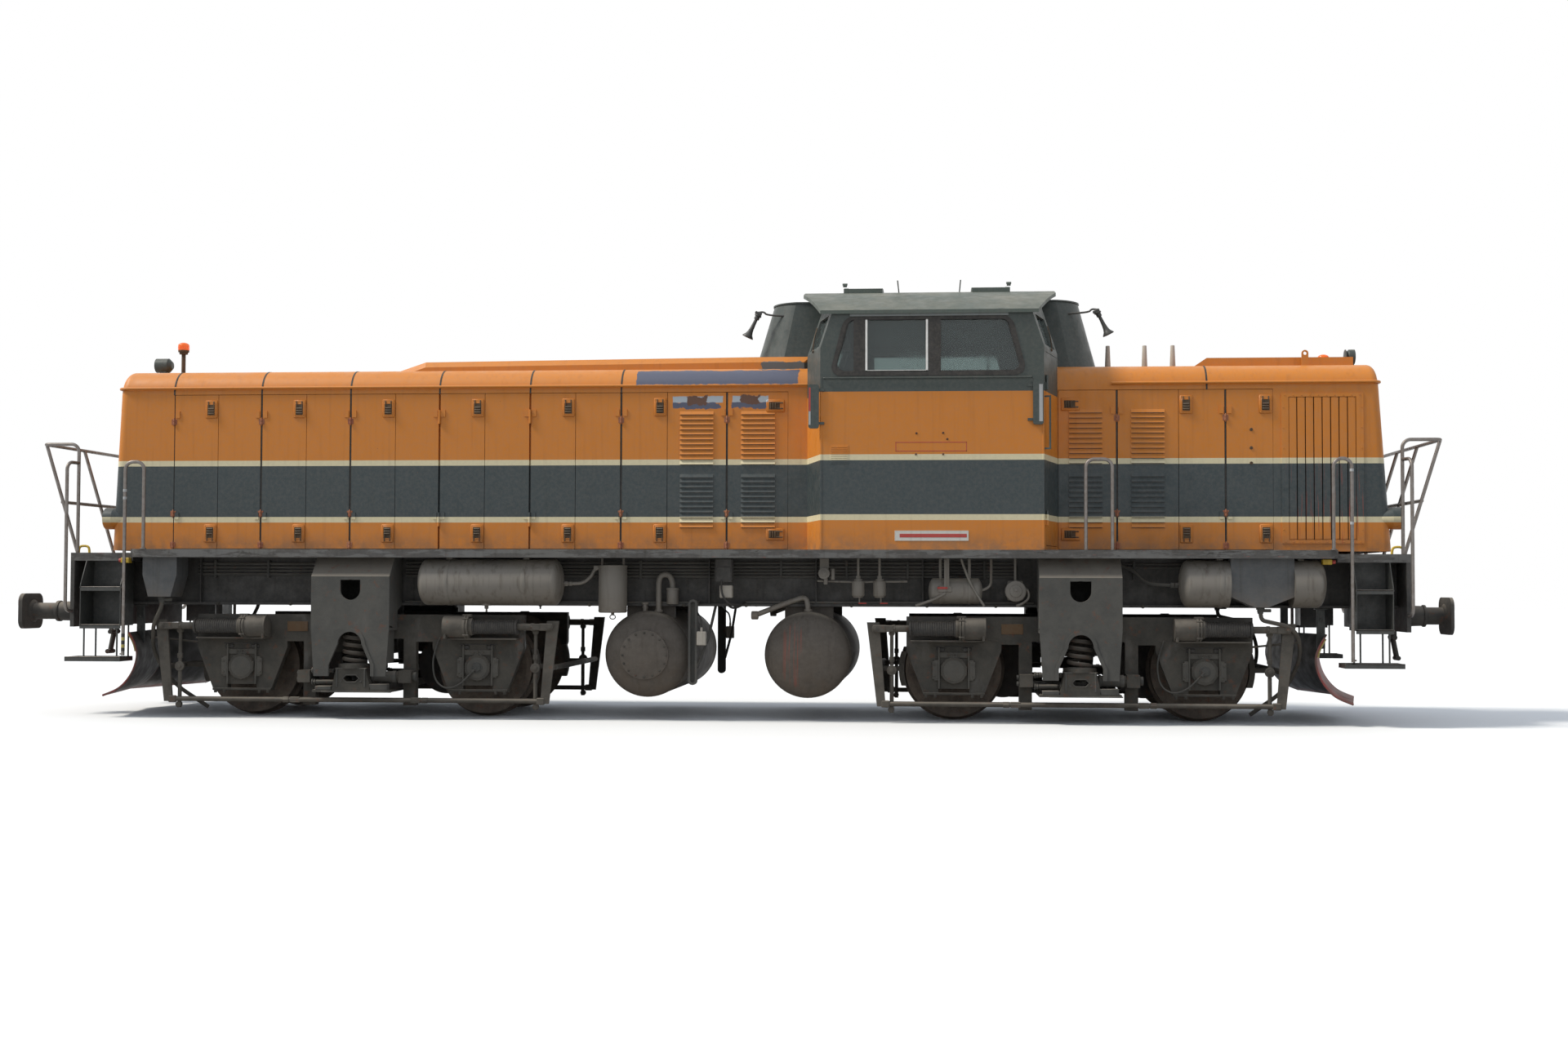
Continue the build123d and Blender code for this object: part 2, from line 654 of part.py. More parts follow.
def louvres(x0, x1, side):
    """Two stacks of pressed louvres, each a wedge that opens downward."""
    face, lip = side * HOOD_HALF, side * (HOOD_HALF + LOUVRE_DEPTH)
    rows = []
    for first_z, count in LOUVRE_ROWS:
        for row in range(count):
            z = first_z + row * LOUVRE_PITCH
            wedge = [(face, z), (lip, z), (face, z + LOUVRE_HEIGHT)]
            rows.append(end_plate(wedge, x0, x1))
    return rows


def dressed_leaf(x0, x1, side, hinge_at_start, louvre_span=None, latch_turned=False):
    """A closed leaf with its straps, and with louvres or a pair of latches where it has them."""
    toward = 1 if hinge_at_start else -1
    axis_x = x0 - DOOR_GAP / 2 if hinge_at_start else x1 + DOOR_GAP / 2
    pieces = [leaf(x0, x1, side)]
    pieces += [strap(axis_x, side, toward, z, HINGE_RADIUS + STRAP_CLEAR) for z in HINGE_HEIGHTS]
    latch_x = x1 - LATCH_WIDTH if hinge_at_start else x0 + LATCH_WIDTH
    if louvre_span:
        pieces += louvres(*louvre_span, side)
    elif hinge_at_start:
        pieces += [latch(latch_x, side, z) for z in LATCH_CENTRES]
    if latch_turned:
        pieces += [latch(x0 + LATCH_HEIGHT, side, z, LATCH_HEIGHT, LATCH_WIDTH) for z in LATCH_CENTRES]
    return fused(pieces)


def leaf_spans():
    """Start and end of each leaf of the long hood, with its bay's number."""
    spans = []
    for bay, seam in enumerate(LONG_SEAMS):
        spans.append((bay, LONG_GAPS[bay] + DOOR_GAP / 2, seam - SEAM / 2))
        spans.append((bay, seam + SEAM / 2, LONG_GAPS[bay + 1] - DOOR_GAP / 2))
    spans.append((len(LONG_SEAMS), LONG_GAPS[-1] + DOOR_GAP / 2, LONG_LAST_SEAM - SEAM / 2))
    return spans


def long_hood_doors():
    """Every closed leaf of the long hood on both sides, apart from the bay that opens."""
    leaves = []
    for bay, x0, x1 in leaf_spans():
        if bay == OPEN_BAY:
            continue
        louvre_span = next((span for span in LOUVRE_SPANS_LONG if x0 < span[0] < x1), None)
        hinge_at_start = x0 - DOOR_GAP / 2 in LONG_GAPS
        for side in SIDES:
            leaves.append(dressed_leaf(x0, x1, side, hinge_at_start, louvre_span))
    return leaves


def short_hood():
    """Roof, end and side panels of the short hood, open behind its doors."""
    cab_face = CAB_CENTRE + CAB_FACE_HALF
    shell = hood_shell(cab_face, SHORT_END_TOP, SHORT_END_BOTTOM)
    shell = shell - door_recess(cab_face + SEAM, SHORT_LAST_SEAM)
    for x0, x1 in ((cab_face, SHORT_GAPS[0]), SHORT_GAPS, (SHORT_GAPS[1], SHORT_LAST_SEAM)):
        shell = shell - bay_opening(x0, x1)
    return [shell - grille_seats()]


def short_hood_doors():
    """The closed leaves of the short hood on both sides."""
    start = CAB_CENTRE + CAB_FACE_HALF + 2 * SEAM
    spans = [(start, SHORT_GAPS[0] - DOOR_GAP / 2, False, LOUVRE_SPANS_SHORT[0], True),
             (SHORT_GAPS[0] + DOOR_GAP / 2, SHORT_SEAM - SEAM / 2, True, LOUVRE_SPANS_SHORT[1], False),
             (SHORT_SEAM + SEAM / 2, SHORT_GAPS[1] - DOOR_GAP / 2, False, None, False),
             (SHORT_GAPS[1] + DOOR_GAP / 2, SHORT_LAST_SEAM - SEAM / 2, True, None, False)]
    return [dressed_leaf(x0, x1, side, hinge_at_start, louvre_span, turned)
            for x0, x1, hinge_at_start, louvre_span, turned in spans for side in SIDES]


def side_grilles():
    """An upright grille in each side of the short hood, with its slats between two rails."""
    x0, x1 = GRILLE_SPAN
    z0, z1 = GRILLE_HEIGHTS
    pitch = (x1 - x0 - 2 * GRILLE_FRAME) / GRILLE_SLATS
    grilles = []
    for side in SIDES:
        back, face = side * (HOOD_HALF - HOOD_SKIN), side * (HOOD_HALF + STRAP_THICKNESS)
        frame = block(x0, x1, back, face, z0 - GRILLE_FRAME / 2, z1 + GRILLE_FRAME / 2)
        frame = frame - block(x0 + GRILLE_FRAME, x1 - GRILLE_FRAME, back - side, face + side, z0, z1)
        slats = []
        for number in range(GRILLE_SLATS):
            x = x0 + GRILLE_FRAME + (number + SLAT_START) * pitch
            tip, tip_y = x + pitch * SLAT_REACH, face - side * 2
            blade = [(x, back), (x + SLAT_THICKNESS, back), (tip, tip_y), (tip - SLAT_THICKNESS, tip_y)]
            slats.append(plan_plate(blade, z0 - 1, z1 + 1))
        grilles.append(fused([frame] + slats))
    return grilles


def grille_seats():
    """The openings in the short hood that the grilles fill, and the way through behind them."""
    x0, x1 = GRILLE_SPAN
    z0, z1 = GRILLE_HEIGHTS[0] - GRILLE_FRAME / 2, GRILLE_HEIGHTS[1] + GRILLE_FRAME / 2
    cuts = [block(x0, x1, side * (HOOD_HALF - HOOD_SKIN), side * (HOOD_HALF + 1), z0, z1) for side in SIDES]
    through = block(x0 + GRILLE_FRAME, x1 - GRILLE_FRAME, -HOOD_HALF, HOOD_HALF, *GRILLE_HEIGHTS)
    return cuts[0] + cuts[1] + through


def hood_hinge(axis_x, side, toward, z):
    """An opening leaf's strap and knuckle over the post's knuckle, as two pieces on one axis."""
    axis_y = side * (HOOD_HALF + HINGE_RADIUS)
    arm = block(axis_x, axis_x + toward * DOOR_GAP, side * HOOD_HALF, side * (HOOD_HALF + STRAP_THICKNESS),
                z, z + HINGE_LENGTH)
    knuckle = bar((axis_x, axis_y, z), (axis_x, axis_y, z + HINGE_LENGTH), HINGE_RADIUS)
    low = z - HINGE_LENGTH - SEAT_GAP
    lug_half = DOOR_GAP / 4
    lug = block(axis_x - lug_half, axis_x + lug_half, side * (HOOD_HALF - HOOD_SKIN), axis_y,
                low, z - SEAT_GAP)
    post_knuckle = bar((axis_x, axis_y, low), (axis_x, axis_y, z - SEAT_GAP), HINGE_RADIUS)
    return strap(axis_x, side, toward, z) + arm + knuckle, lug + post_knuckle


def engine_doors():
    """The four leaves of the bay that opens, and the post knuckles that carry them."""
    spans = [(x0, x1) for bay, x0, x1 in leaf_spans() if bay == OPEN_BAY]
    posts = []
    for side, side_name in ((-1, "near"), (1, "far")):
        for (x0, x1), hand, axis_x, toward in (
                (spans[0], "a", LONG_GAPS[OPEN_BAY], 1),
                (spans[1], "b", LONG_GAPS[OPEN_BAY + 1], -1)):
            pieces = [leaf(x0, x1, side, SEAT_GAP)]
            if toward > 0:
                pieces += [latch(x1 - LATCH_WIDTH, side, z) for z in LATCH_CENTRES]
            for z in HINGE_HEIGHTS:
                hinge, post = hood_hinge(axis_x, side, toward, z)
                pieces.append(hinge)
                posts.append(post)
            write(f"engine_door_{side_name}_{hand}", [fused(pieces)])
    return posts


def cab_plan(inset, lean, z):
    """The cab's eight-sided plan at one height, as a face."""
    corner, face = CAB_CORNER_HALF - lean, CAB_FACE_HALF - lean
    points = []
    for x, y in ((corner, CAB_HALF), (face, CAB_FACE_Y)):
        points.append((x, y))
    half = points + [(x, -y) for x, y in reversed(points)]
    whole = half + [(-x, -y) for x, y in half]
    outline = Face(Wire.make_polygon([(CAB_CENTRE + x, y, z) for x, y in whole]))
    if inset:
        outline = offset(outline, amount=-inset, kind=Kind.INTERSECTION)
    return outline


def cab_solid(inset, z_low=DECK_TOP):
    """The cab as a solid, upright to the kink and leaning in above it, drawn in by an inset."""
    high = ROOF_TOP
    lower = extrude(cab_plan(inset, 0, z_low), CAB_KINK - z_low, dir=(0, 0, 1))
    lean = CAB_LEAN * (high - CAB_KINK)
    foot = cab_plan(inset, 0, CAB_KINK).faces()[0]
    head = cab_plan(inset, lean, high).faces()[0]
    return lower + loft([foot, head], ruled=True)


def under_roof(drop, half):
    """Everything below the roof's curve, lowered by a drop, as a solid across the cab."""
    edge, top = ROOF_EDGE - drop, ROOF_TOP - drop
    with BuildSketch(Plane.YZ) as section:
        with BuildLine():
            ThreePointArc((-half, edge), (0, top), (half, edge))
            Line((half, edge), (half, DECK_TOP - 100))
            Line((half, DECK_TOP - 100), (-half, DECK_TOP - 100))
            Line((-half, DECK_TOP - 100), (-half, edge))
        make_face()
    return section.sketch


def side_window(margin):
    """The long side window's outline, narrower at the top, cut in by a margin, right across the cab."""
    outline = [(WINDOW_START, WINDOW_BOTTOM), (WINDOW_END, WINDOW_BOTTOM),
               (WINDOW_END - WINDOW_SLANT, WINDOW_TOP), (WINDOW_START + WINDOW_SLANT, WINDOW_TOP)]
    prism = side_plate(outline, -CAB_HALF - 100, CAB_HALF + 100)
    prism = fillet(prism.edges().filter_by(Axis.Y), WINDOW_CORNER)
    if margin:
        inner = offset(prism.faces().sort_by(Axis.Y)[0], amount=-margin)
        prism = extrude(inner, 2 * CAB_HALF + 200, dir=(0, 1, 0))
    return prism



def corner_windows(margin):
    """The four windows in the leaning corners, right along the cab."""
    y0, y1 = CAB_FACE_Y + CORNER_WINDOW_MARGINS[0], CAB_HALF - CORNER_WINDOW_MARGINS[1]
    z0, z1 = CORNER_WINDOW_BOTTOM, CORNER_WINDOW_TOP
    reach = CAB_FACE_HALF + 100
    cuts = [block(CAB_CENTRE - reach, CAB_CENTRE + reach, side * (y0 + margin), side * (y1 - margin),
                  z0 + margin, z1 - margin) for side in SIDES]
    return cuts[0] + cuts[1]


def door_frame_plane():
    """A plane on the slanting corner at end b, near side: x along it, y up, z outward."""
    corner = Vector(CAB_CENTRE + CAB_CORNER_HALF, -CAB_HALF, 0)
    hood_side = Vector(CAB_CENTRE + CAB_FACE_HALF, -CAB_FACE_Y, 0)
    along = (hood_side - corner).normalized()
    return Plane(origin=corner, x_dir=along, z_dir=along.cross(Vector(0, 0, 1)))


def on_corner(x0, x1, z0, z1, out0, out1):
    """A box on that slanting corner, from along, height and outward reach."""
    middle = Pos((x0 + x1) / 2, (z0 + z1) / 2, (out0 + out1) / 2)
    return door_frame_plane() * middle * Box(x1 - x0, z1 - z0, out1 - out0)


def turned_about_cab(piece):
    """The same piece at the opposite corner of the cab."""
    return Pos(CAB_CENTRE, 0, 0) * Rot(0, 0, 180) * Pos(-CAB_CENTRE, 0, 0) * piece


def cab_door():
    """The door in the slanting corner, with its knuckles, and the wall's knuckles below them."""
    edge = CAB_DOOR_EDGE
    panel = on_corner(edge, edge + CAB_DOOR_WIDTH, CAB_DOOR_BOTTOM, CAB_DOOR_TOP, -CAB_DOOR_SKIN, 0)
    door, wall = [panel], []
    axis_along = edge - SEAM
    for z in CAB_HINGE_HEIGHTS:
        arm = on_corner(axis_along, edge + STRAP_LENGTH, z, z + HINGE_LENGTH, 0, STRAP_THICKNESS)
        seat = door_frame_plane() * Pos(axis_along, z, CAB_HINGE_RADIUS)
        knuckle = seat * Rot(-90, 0, 0) * Cylinder(CAB_HINGE_RADIUS, HINGE_LENGTH,
                                                   align=(Align.CENTER, Align.CENTER, Align.MIN))
        low = z - HINGE_LENGTH - SEAT_GAP
        low_seat = door_frame_plane() * Pos(axis_along, low, CAB_HINGE_RADIUS)
        wall_knuckle = low_seat * Rot(-90, 0, 0) * Cylinder(CAB_HINGE_RADIUS, HINGE_LENGTH,
                                                            align=(Align.CENTER, Align.CENTER, Align.MIN))
        lug = on_corner(axis_along - 40, axis_along, low, low + HINGE_LENGTH, 0, STRAP_THICKNESS)
        door.append(arm + knuckle)
        wall.append(wall_knuckle + lug)
    return fused(door), wall


def cab_walls():
    """Side and end walls, each with its windows and doorway cut, split at the corner posts."""
    shell = cab_solid(0) - cab_solid(CAB_WALL)
    reach = CAB_FACE_HALF + 100
    below = extrude(Pos(CAB_CENTRE - reach, 0, 0) * under_roof(ROOF_SKIN, ROOF_HALF),
                    2 * reach, dir=(1, 0, 0))
    shell = shell & below
    shell = shell - side_window(0) - corner_windows(0)
    doorway = on_corner(CAB_DOOR_EDGE - SEAM, CAB_DOOR_EDGE + CAB_DOOR_WIDTH + SEAM,
                        CAB_DOOR_BOTTOM - SEAM, CAB_DOOR_TOP + SEAM, -2 * CAB_WALL, CAB_WALL)
    shell = shell - doorway - turned_about_cab(doorway)
    inner = CAB_HALF - CAB_WALL
    low, high = CAB_CENTRE - reach, CAB_CENTRE + reach
    side_cut = {name: block(low, high, side * inner, side * (CAB_HALF + 100), 0, ROOF_TOP + 100)
                for name, side in (("near", -1), ("far", 1))}
    end_cut = {"a": block(low, CAB_CENTRE, -inner, inner, 0, ROOF_TOP + 100),
               "b": block(CAB_CENTRE, high, -inner, inner, 0, ROOF_TOP + 100)}
    door, wall_knuckles = cab_door()
    far_knuckles = [turned_about_cab(piece) for piece in wall_knuckles]
    knuckles = {"near": wall_knuckles, "far": far_knuckles}
    for name, cut in side_cut.items():
        write(f"cab_side_{name}", [fused([shell & cut] + knuckles[name])])
    for name, cut in end_cut.items():
        write(f"cab_end_{name}", [shell & cut])
    write("cab_door_near", [door])
    write("cab_door_far", [turned_about_cab(door)])


def cab_glass():
    """Panes in the long side windows and the leaning corner windows."""
    pane = cab_solid(CAB_WALL / 2 - GLASS / 2) - cab_solid(CAB_WALL / 2 + GLASS / 2)
    return [pane & side_window(SEAT_GAP), pane & corner_windows(SEAT_GAP)]


def cab_roof():
    """The curved roof, whose ends stand out past the cab and are cut to the cab's plan."""
    whole = under_roof(0, ROOF_HALF)
    below = under_roof(ROOF_SKIN, ROOF_HALF)
    length = 2 * ROOF_FACE_HALF
    sheet = extrude(Pos(ROOF_CENTRE - ROOF_FACE_HALF, 0, 0) * (whole - below), length, dir=(1, 0, 0))
    near = [(ROOF_CENTRE - ROOF_FACE_HALF, -CAB_FACE_Y), (ROOF_CENTRE - ROOF_CORNER_HALF, -ROOF_HALF),
            (ROOF_CENTRE + ROOF_CORNER_HALF, -ROOF_HALF), (ROOF_CENTRE + ROOF_FACE_HALF, -CAB_FACE_Y)]
    plan = near + [(x, -y) for x, y in reversed(near)]
    return [sheet & plan_plate(plan, ROOF_EDGE - ROOF_SKIN, ROOF_TOP + 10)]


def wheelset(centre_x):
    """An axle with both wheels, turned as one body about the axle's line."""
    outer = WHEEL_BACK + WHEEL_WIDTH
    root = WHEEL_BACK + FLANGE_WIDTH
    half = [(AXLE_RADIUS, WHEEL_BACK), (FLANGE_RADIUS, WHEEL_BACK), (TREAD_RADIUS, root),
            (TREAD_RADIUS - 5, outer), (TREAD_RADIUS - RIM_DEPTH, outer), (HUB_RADIUS, outer - 40),
            (HUB_RADIUS - 20, outer + 15), (COLLAR_RADIUS, outer + 15), (COLLAR_RADIUS, BOX_INNER - 6),
            (JOURNAL_RADIUS, BOX_INNER - 6), (JOURNAL_RADIUS, SIDE_OUTER - 30)]
    outline = [(0, -half[-1][1])] + [(r, -y) for r, y in reversed(half)] + half + [(0, half[-1][1])]
    return turned(outline, centre_x, AXLE_HEIGHT)


BOX_INNER = SIDE_OUTER - SIDE_THICKNESS - 60


def bogie_side(pivot, side):
    """One side frame: top beam, two legs by the bracket and a pedestal round each axlebox."""
    half = WHEELBASE / 2
    right = [(0, SIDE_TOP), (half + PEDESTAL_TOP_HALF, SIDE_TOP), (half + PEDESTAL_TOP_HALF, PEDESTAL_TOP),
             (half + PEDESTAL_BOTTOM_HALF, PEDESTAL_BOTTOM), (half + BOX_HALF, PEDESTAL_BOTTOM),
             (half + BOX_HALF, BOX_TOP), (half - BOX_HALF, BOX_TOP), (half - BOX_HALF, PEDESTAL_BOTTOM),
             (half - PEDESTAL_BOTTOM_HALF, PEDESTAL_BOTTOM), (half - PEDESTAL_TOP_HALF, PEDESTAL_TOP),
             (half - PEDESTAL_TOP_HALF, PEDESTAL_TOP + 60), (LEG_OUTER, PEDESTAL_TOP + 60),
             (LEG_OUTER, LEG_BOTTOM), (LEG_INNER, LEG_BOTTOM), (LEG_INNER, PEDESTAL_TOP + 90),
             (0, PEDESTAL_TOP + 90)]
    left = [(-x, z) for x, z in reversed(right[1:-1])]
    outline = [(pivot + x, z) for x, z in right + left]
    return side_plate(outline, side * (SIDE_OUTER - SIDE_THICKNESS), side * SIDE_OUTER)


def spring_seat(pivot, side):
    """A tapering block on the spring plank, with an oval hole, under the spring's round collar."""
    y0, y1 = side * (SIDE_OUTER + SEAT_CLEAR), side * PLANK_REACH
    collar_low = SPRING_BOTTOM - SEAT_COLLAR_HEIGHT
    taper = [(pivot - SEAT_HALF, SEAT_BOTTOM), (pivot - SEAT_TOP_HALF, collar_low),
             (pivot + SEAT_TOP_HALF, collar_low), (pivot + SEAT_HALF, SEAT_BOTTOM)]
    length, height, hole_z = SEAT_HOLE
    slot_half = (length - height) / 2
    hole = block(pivot - slot_half, pivot + slot_half, side * SIDE_OUTER, side * (PLANK_REACH + 1),
                 hole_z - height / 2, hole_z + height / 2)
    for x in (pivot - slot_half, pivot + slot_half):
        hole = hole + bar((x, side * SIDE_OUTER, hole_z), (x, side * (PLANK_REACH + 1), hole_z), height / 2)
    y = side * SPRING_Y
    collar = bar((pivot, y, collar_low - 1), (pivot, y, SPRING_BOTTOM), SEAT_COLLAR)
    return side_plate(taper, y0, y1) - hole + collar


def bogie_frame(pivot):
    """Side frames, transom with the pin's seat, spring plank and seats, and their link rods."""
    inner = SIDE_OUTER - SIDE_THICKNESS
    transom = block(pivot - TRANSOM_HALF, pivot + TRANSOM_HALF, -inner, inner, TRANSOM_BOTTOM, TRANSOM_TOP)
    socket = bar((pivot, 0, TRANSOM_BOTTOM - 1), (pivot, 0, TRANSOM_TOP + 1), PIN_RADIUS + PIN_CLEARANCE)
    pieces = [bogie_side(pivot, -1), bogie_side(pivot, 1), transom - socket]
    pieces.append(block(pivot - PLANK_HALF, pivot + PLANK_HALF, -PLANK_REACH, PLANK_REACH,
                        PLANK_BOTTOM, SEAT_BOTTOM))
    for side in SIDES:
        pieces.append(spring_seat(pivot, side))
        rod_y = side * (SPRING_Y - LINK_HALF / 2)
        for end in SIDES:
            leg, seat = pivot + end * LEG_INNER, pivot + end * SEAT_TOP_HALF
            pieces.append(block(leg, pivot + end * LEG_OUTER, side * inner, rod_y + side * LINK_HALF,
                                LINK_HEIGHT - LINK_HALF, LINK_HEIGHT + LINK_HALF))
            rods = [(z, THIN_LINK_RADIUS) for z in THIN_LINK_HEIGHTS]
            if end > 0:
                rods = [(LINK_HEIGHT, THICK_LINK_RADIUS)]
            for z, radius in rods:
                z_end = min(max(z, LINK_HEIGHT - LINK_HALF + radius), LINK_HEIGHT + LINK_HALF - radius)
                pieces.append(bar((seat - end * 5, rod_y, z), (leg + end * 5, rod_y, z_end), radius))
            axle_x = pivot + end * WHEELBASE / 2
            pieces.append(block(axle_x - PEDESTAL_BOTTOM_HALF, axle_x + PEDESTAL_BOTTOM_HALF, side * inner,
                                side * SIDE_OUTER, PEDESTAL_BOTTOM - TIE_STRAP, PEDESTAL_BOTTOM))
    return [fused(pieces)]


def axleboxes(pivot):
    """The four boxes between the pedestal legs, each with a round cover and a blind journal hole."""
    boxes = []
    for end in SIDES:
        centre = pivot + end * WHEELBASE / 2
        for side in SIDES:
            body = block(centre - BOX_HALF, centre + BOX_HALF, side * BOX_INNER, side * SIDE_OUTER,
                         BOX_BOTTOM, BOX_TOP)
            cover = bar((centre, side * (SIDE_OUTER - 1), AXLE_HEIGHT),
                        (centre, side * (SIDE_OUTER + COVER_DEPTH), AXLE_HEIGHT), COVER_RADIUS)
            hole = bar((centre, side * (BOX_INNER - 1), AXLE_HEIGHT),
                       (centre, side * (SIDE_OUTER - 25), AXLE_HEIGHT), JOURNAL_RADIUS + JOURNAL_CLEARANCE)
            boxes.append(body + cover - hole)
    return boxes


def coil_spring(centre_x, centre_y):
    """A coil spring of round wire between the seat and the bracket."""
    rise = SPRING_TOP - SPRING_BOTTOM - 2 * SPRING_WIRE - 2 * SEAT_GAP
    start_z = SPRING_BOTTOM + SPRING_WIRE + SEAT_GAP
    path = Helix(pitch=rise / SPRING_TURNS, height=rise, radius=SPRING_RADIUS)
    section = Plane(origin=path @ 0, z_dir=path % 0) * RegularPolygon(SPRING_WIRE, 6)
    return Pos(centre_x, centre_y, start_z) * sweep(section, path=path, is_frenet=True)


def traction_motors(pivot):
    """Two axle-hung motors with their axle sleeves and noses on the transom."""
    motors = []
    motor_radius, motor_half, motor_x = 300, 420, 700
    for end in SIDES:
        axle_x = pivot + end * WHEELBASE / 2
        centre = pivot + end * motor_x
        body = bar((centre, -motor_half, AXLE_HEIGHT), (centre, motor_half, AXLE_HEIGHT), motor_radius)
        nose = block(pivot + end * TRANSOM_HALF, centre, -180, 180, TRANSOM_BOTTOM + 10, TRANSOM_BOTTOM + 90)
        link = block(centre, axle_x, -motor_half, motor_half, AXLE_HEIGHT - 130, AXLE_HEIGHT + 130)
        sleeve = bar((axle_x, -motor_half, AXLE_HEIGHT), (axle_x, motor_half, AXLE_HEIGHT), 150)
        hole = bar((axle_x, -motor_half - 1, AXLE_HEIGHT), (axle_x, motor_half + 1, AXLE_HEIGHT),
                   AXLE_RADIUS + 8)
        motors.append(body + nose + link + sleeve - hole)
    return motors


def buffers():
    """Four buffers: a ring on the headstock, the sleeve, the plunger and a broad rounded head."""
    pieces = []
    for end in ENDS.values():
        face = headstock(end)
        for side in SIDES:
            y, z = side * BUFFER_OFFSET, BUFFER_HEIGHT
            sleeve_end = face + (BUFFER_FACE - face) * BUFFER_SLEEVE_SHARE
            ring = bar((end * face, y, z), (end * (face + BUFFER_RING), y, z), BUFFER_RING_RADIUS)
            sleeve = bar((end * face, y, z), (end * sleeve_end, y, z), BUFFER_SLEEVE_RADIUS)
            plunger = bar((end * sleeve_end, y, z), (end * (BUFFER_FACE - 10), y, z), BUFFER_PLUNGER_RADIUS)
            head = block(end * (BUFFER_FACE - BUFFER_HEAD), end * BUFFER_FACE, y - BUFFER_HEAD_HALF,
                         y + BUFFER_HEAD_HALF, z - BUFFER_HEAD_RISE, z + BUFFER_HEAD_RISE)
            head = fillet(head.edges().filter_by(Axis.X), BUFFER_HEAD_CORNER)
            pieces.append(ring + sleeve + plunger + head)
    return pieces


def reservoirs():
    """Lying air cylinders under the walkway on both sides, each hung from the deck by its straps."""
    pieces = []
    for x0, x1 in RESERVOIR_SPANS:
        for side in SIDES:
            y = side * RESERVOIR_OFFSET
            tank = bar((x0, y, RESERVOIR_HEIGHT), (x1, y, RESERVOIR_HEIGHT), RESERVOIR_RADIUS)
            tank = chamfer(tank.edges().filter_by(GeomType.CIRCLE), 70)
            for strap_x in (x0 + (x1 - x0) / 4, x1 - (x1 - x0) / 4):
                tank = tank + block(strap_x - STRAP_WIDTH / 2, strap_x + STRAP_WIDTH / 2,
                                    y - STRAP_WIDTH, y + STRAP_WIDTH, RESERVOIR_HEIGHT, DECK_UNDER)
            pieces.append(tank)
    return pieces


def fuel_tanks():
    """Two round tanks that lie across the locomotive between the bogies, hung from the girders."""
    pieces = []
    for x in FUEL_TANK_PLACES:
        tank = bar((x, -FUEL_TANK_REACH, FUEL_TANK_HEIGHT), (x, FUEL_TANK_REACH, FUEL_TANK_HEIGHT),
                   FUEL_TANK_RADIUS)
        tank = chamfer(tank.edges().filter_by(GeomType.CIRCLE), 60, 130)
        for side in SIDES:
            tank = tank + block(x - STRAP_WIDTH, x + STRAP_WIDTH, side * (GIRDER_HALF - STRAP_WIDTH),
                                side * (GIRDER_HALF + STRAP_WIDTH), FUEL_TANK_HEIGHT, GIRDER_BOTTOM)
        pieces.append(tank)
    return pieces


def power_unit():
    """The engine with its generator, as one plain block on the deck."""
    x0, x1 = POWER_UNIT_SPAN
    return [block(x0, x1, -POWER_UNIT_HALF, POWER_UNIT_HALF, DECK_TOP, POWER_UNIT_TOP)]


def hood_fairing():
    """The raised middle of the long hood's roof, sloping up from the hood towards the cab."""
    cab_face = CAB_CENTRE - CAB_FACE_HALF
    outline = [(FAIRING_START, HOOD_TOP), (FAIRING_START + 340, FAIRING_LOW), (NOSE_A_FOOT, FAIRING_HIGH),
               (cab_face, FAIRING_HIGH), (cab_face, HOOD_TOP)]
    body = side_plate(outline, -FAIRING_HALF, FAIRING_HALF)
    upper = body.edges().group_by(Axis.Y)[0] + body.edges().group_by(Axis.Y)[-1]
    return [chamfer(upper.filter_by(lambda edge: edge.center().Z > HOOD_TOP + 20), 60)]


def nose(foot_x, head_x, foot_z, toward):
    """A fairing on the hood's roof before the cab, round in front, with a rim at its top."""
    levels = []
    for x, z, half in ((foot_x, foot_z, NOSE_FOOT_HALF), (head_x, NOSE_TOP, NOSE_HEAD_HALF)):
        levels.append(nose_level(x, z, half, toward).faces()[0])
    body = loft(levels, ruled=True)
    rim_x = head_x - toward * NOSE_RIM
    rim = extrude(nose_level(rim_x, NOSE_TOP - NOSE_RIM, NOSE_HEAD_HALF + NOSE_RIM, toward),
                  NOSE_RIM, dir=(0, 0, 1))
    return body + rim - cab_solid(0)


def nose_level(x, z, half, toward):
    """The nose's plan at one height: straight sides and a round front."""
    back = CAB_CENTRE - toward * (CAB_FACE_HALF - CAB_LEAN * (NOSE_TOP - CAB_KINK) - CAB_WALL / 2)
    side_x = x + toward * half * NOSE_ROUND
    with BuildSketch(Plane.XY.offset(z)) as section:
        with BuildLine():
            ThreePointArc((side_x, -half), (x, 0), (side_x, half))
            Line((side_x, half), (back, half))
            Line((back, half), (back, -half))
            Line((back, -half), (side_x, -half))
        make_face()
    return section.sketch


def cab_noses():
    """The round fairings at both ends of the cab, from the hoods' roofs up to the cab's roof."""
    return [nose(NOSE_A_FOOT, NOSE_A_HEAD, FAIRING_HIGH, 1), nose(NOSE_B_FOOT, NOSE_B_HEAD, HOOD_TOP, -1)]


def roof_hatches():
    """Two removable hatches that follow the cab roof's curve, each with four lifting lugs."""
    cover = under_roof(-HATCH_HEIGHT, ROOF_HALF) - under_roof(0, ROOF_HALF)
    pieces = []
    for x0, x1 in HATCH_SPANS:
        hatch = extrude(Pos(x0, 0, 0) * cover, x1 - x0, dir=(1, 0, 0))
        hatch = hatch & block(x0, x1, -HATCH_HALF, HATCH_HALF, ROOF_EDGE, ROOF_TOP + 2 * HATCH_HEIGHT)
        pieces.append(hatch)
    return pieces


def window_layer():
    """The part of the cab's wall outside the panes."""
    return cab_solid(-FRAME_PROUD) - cab_solid(CAB_WALL / 2 - GLASS / 2 - SEAT_GAP)


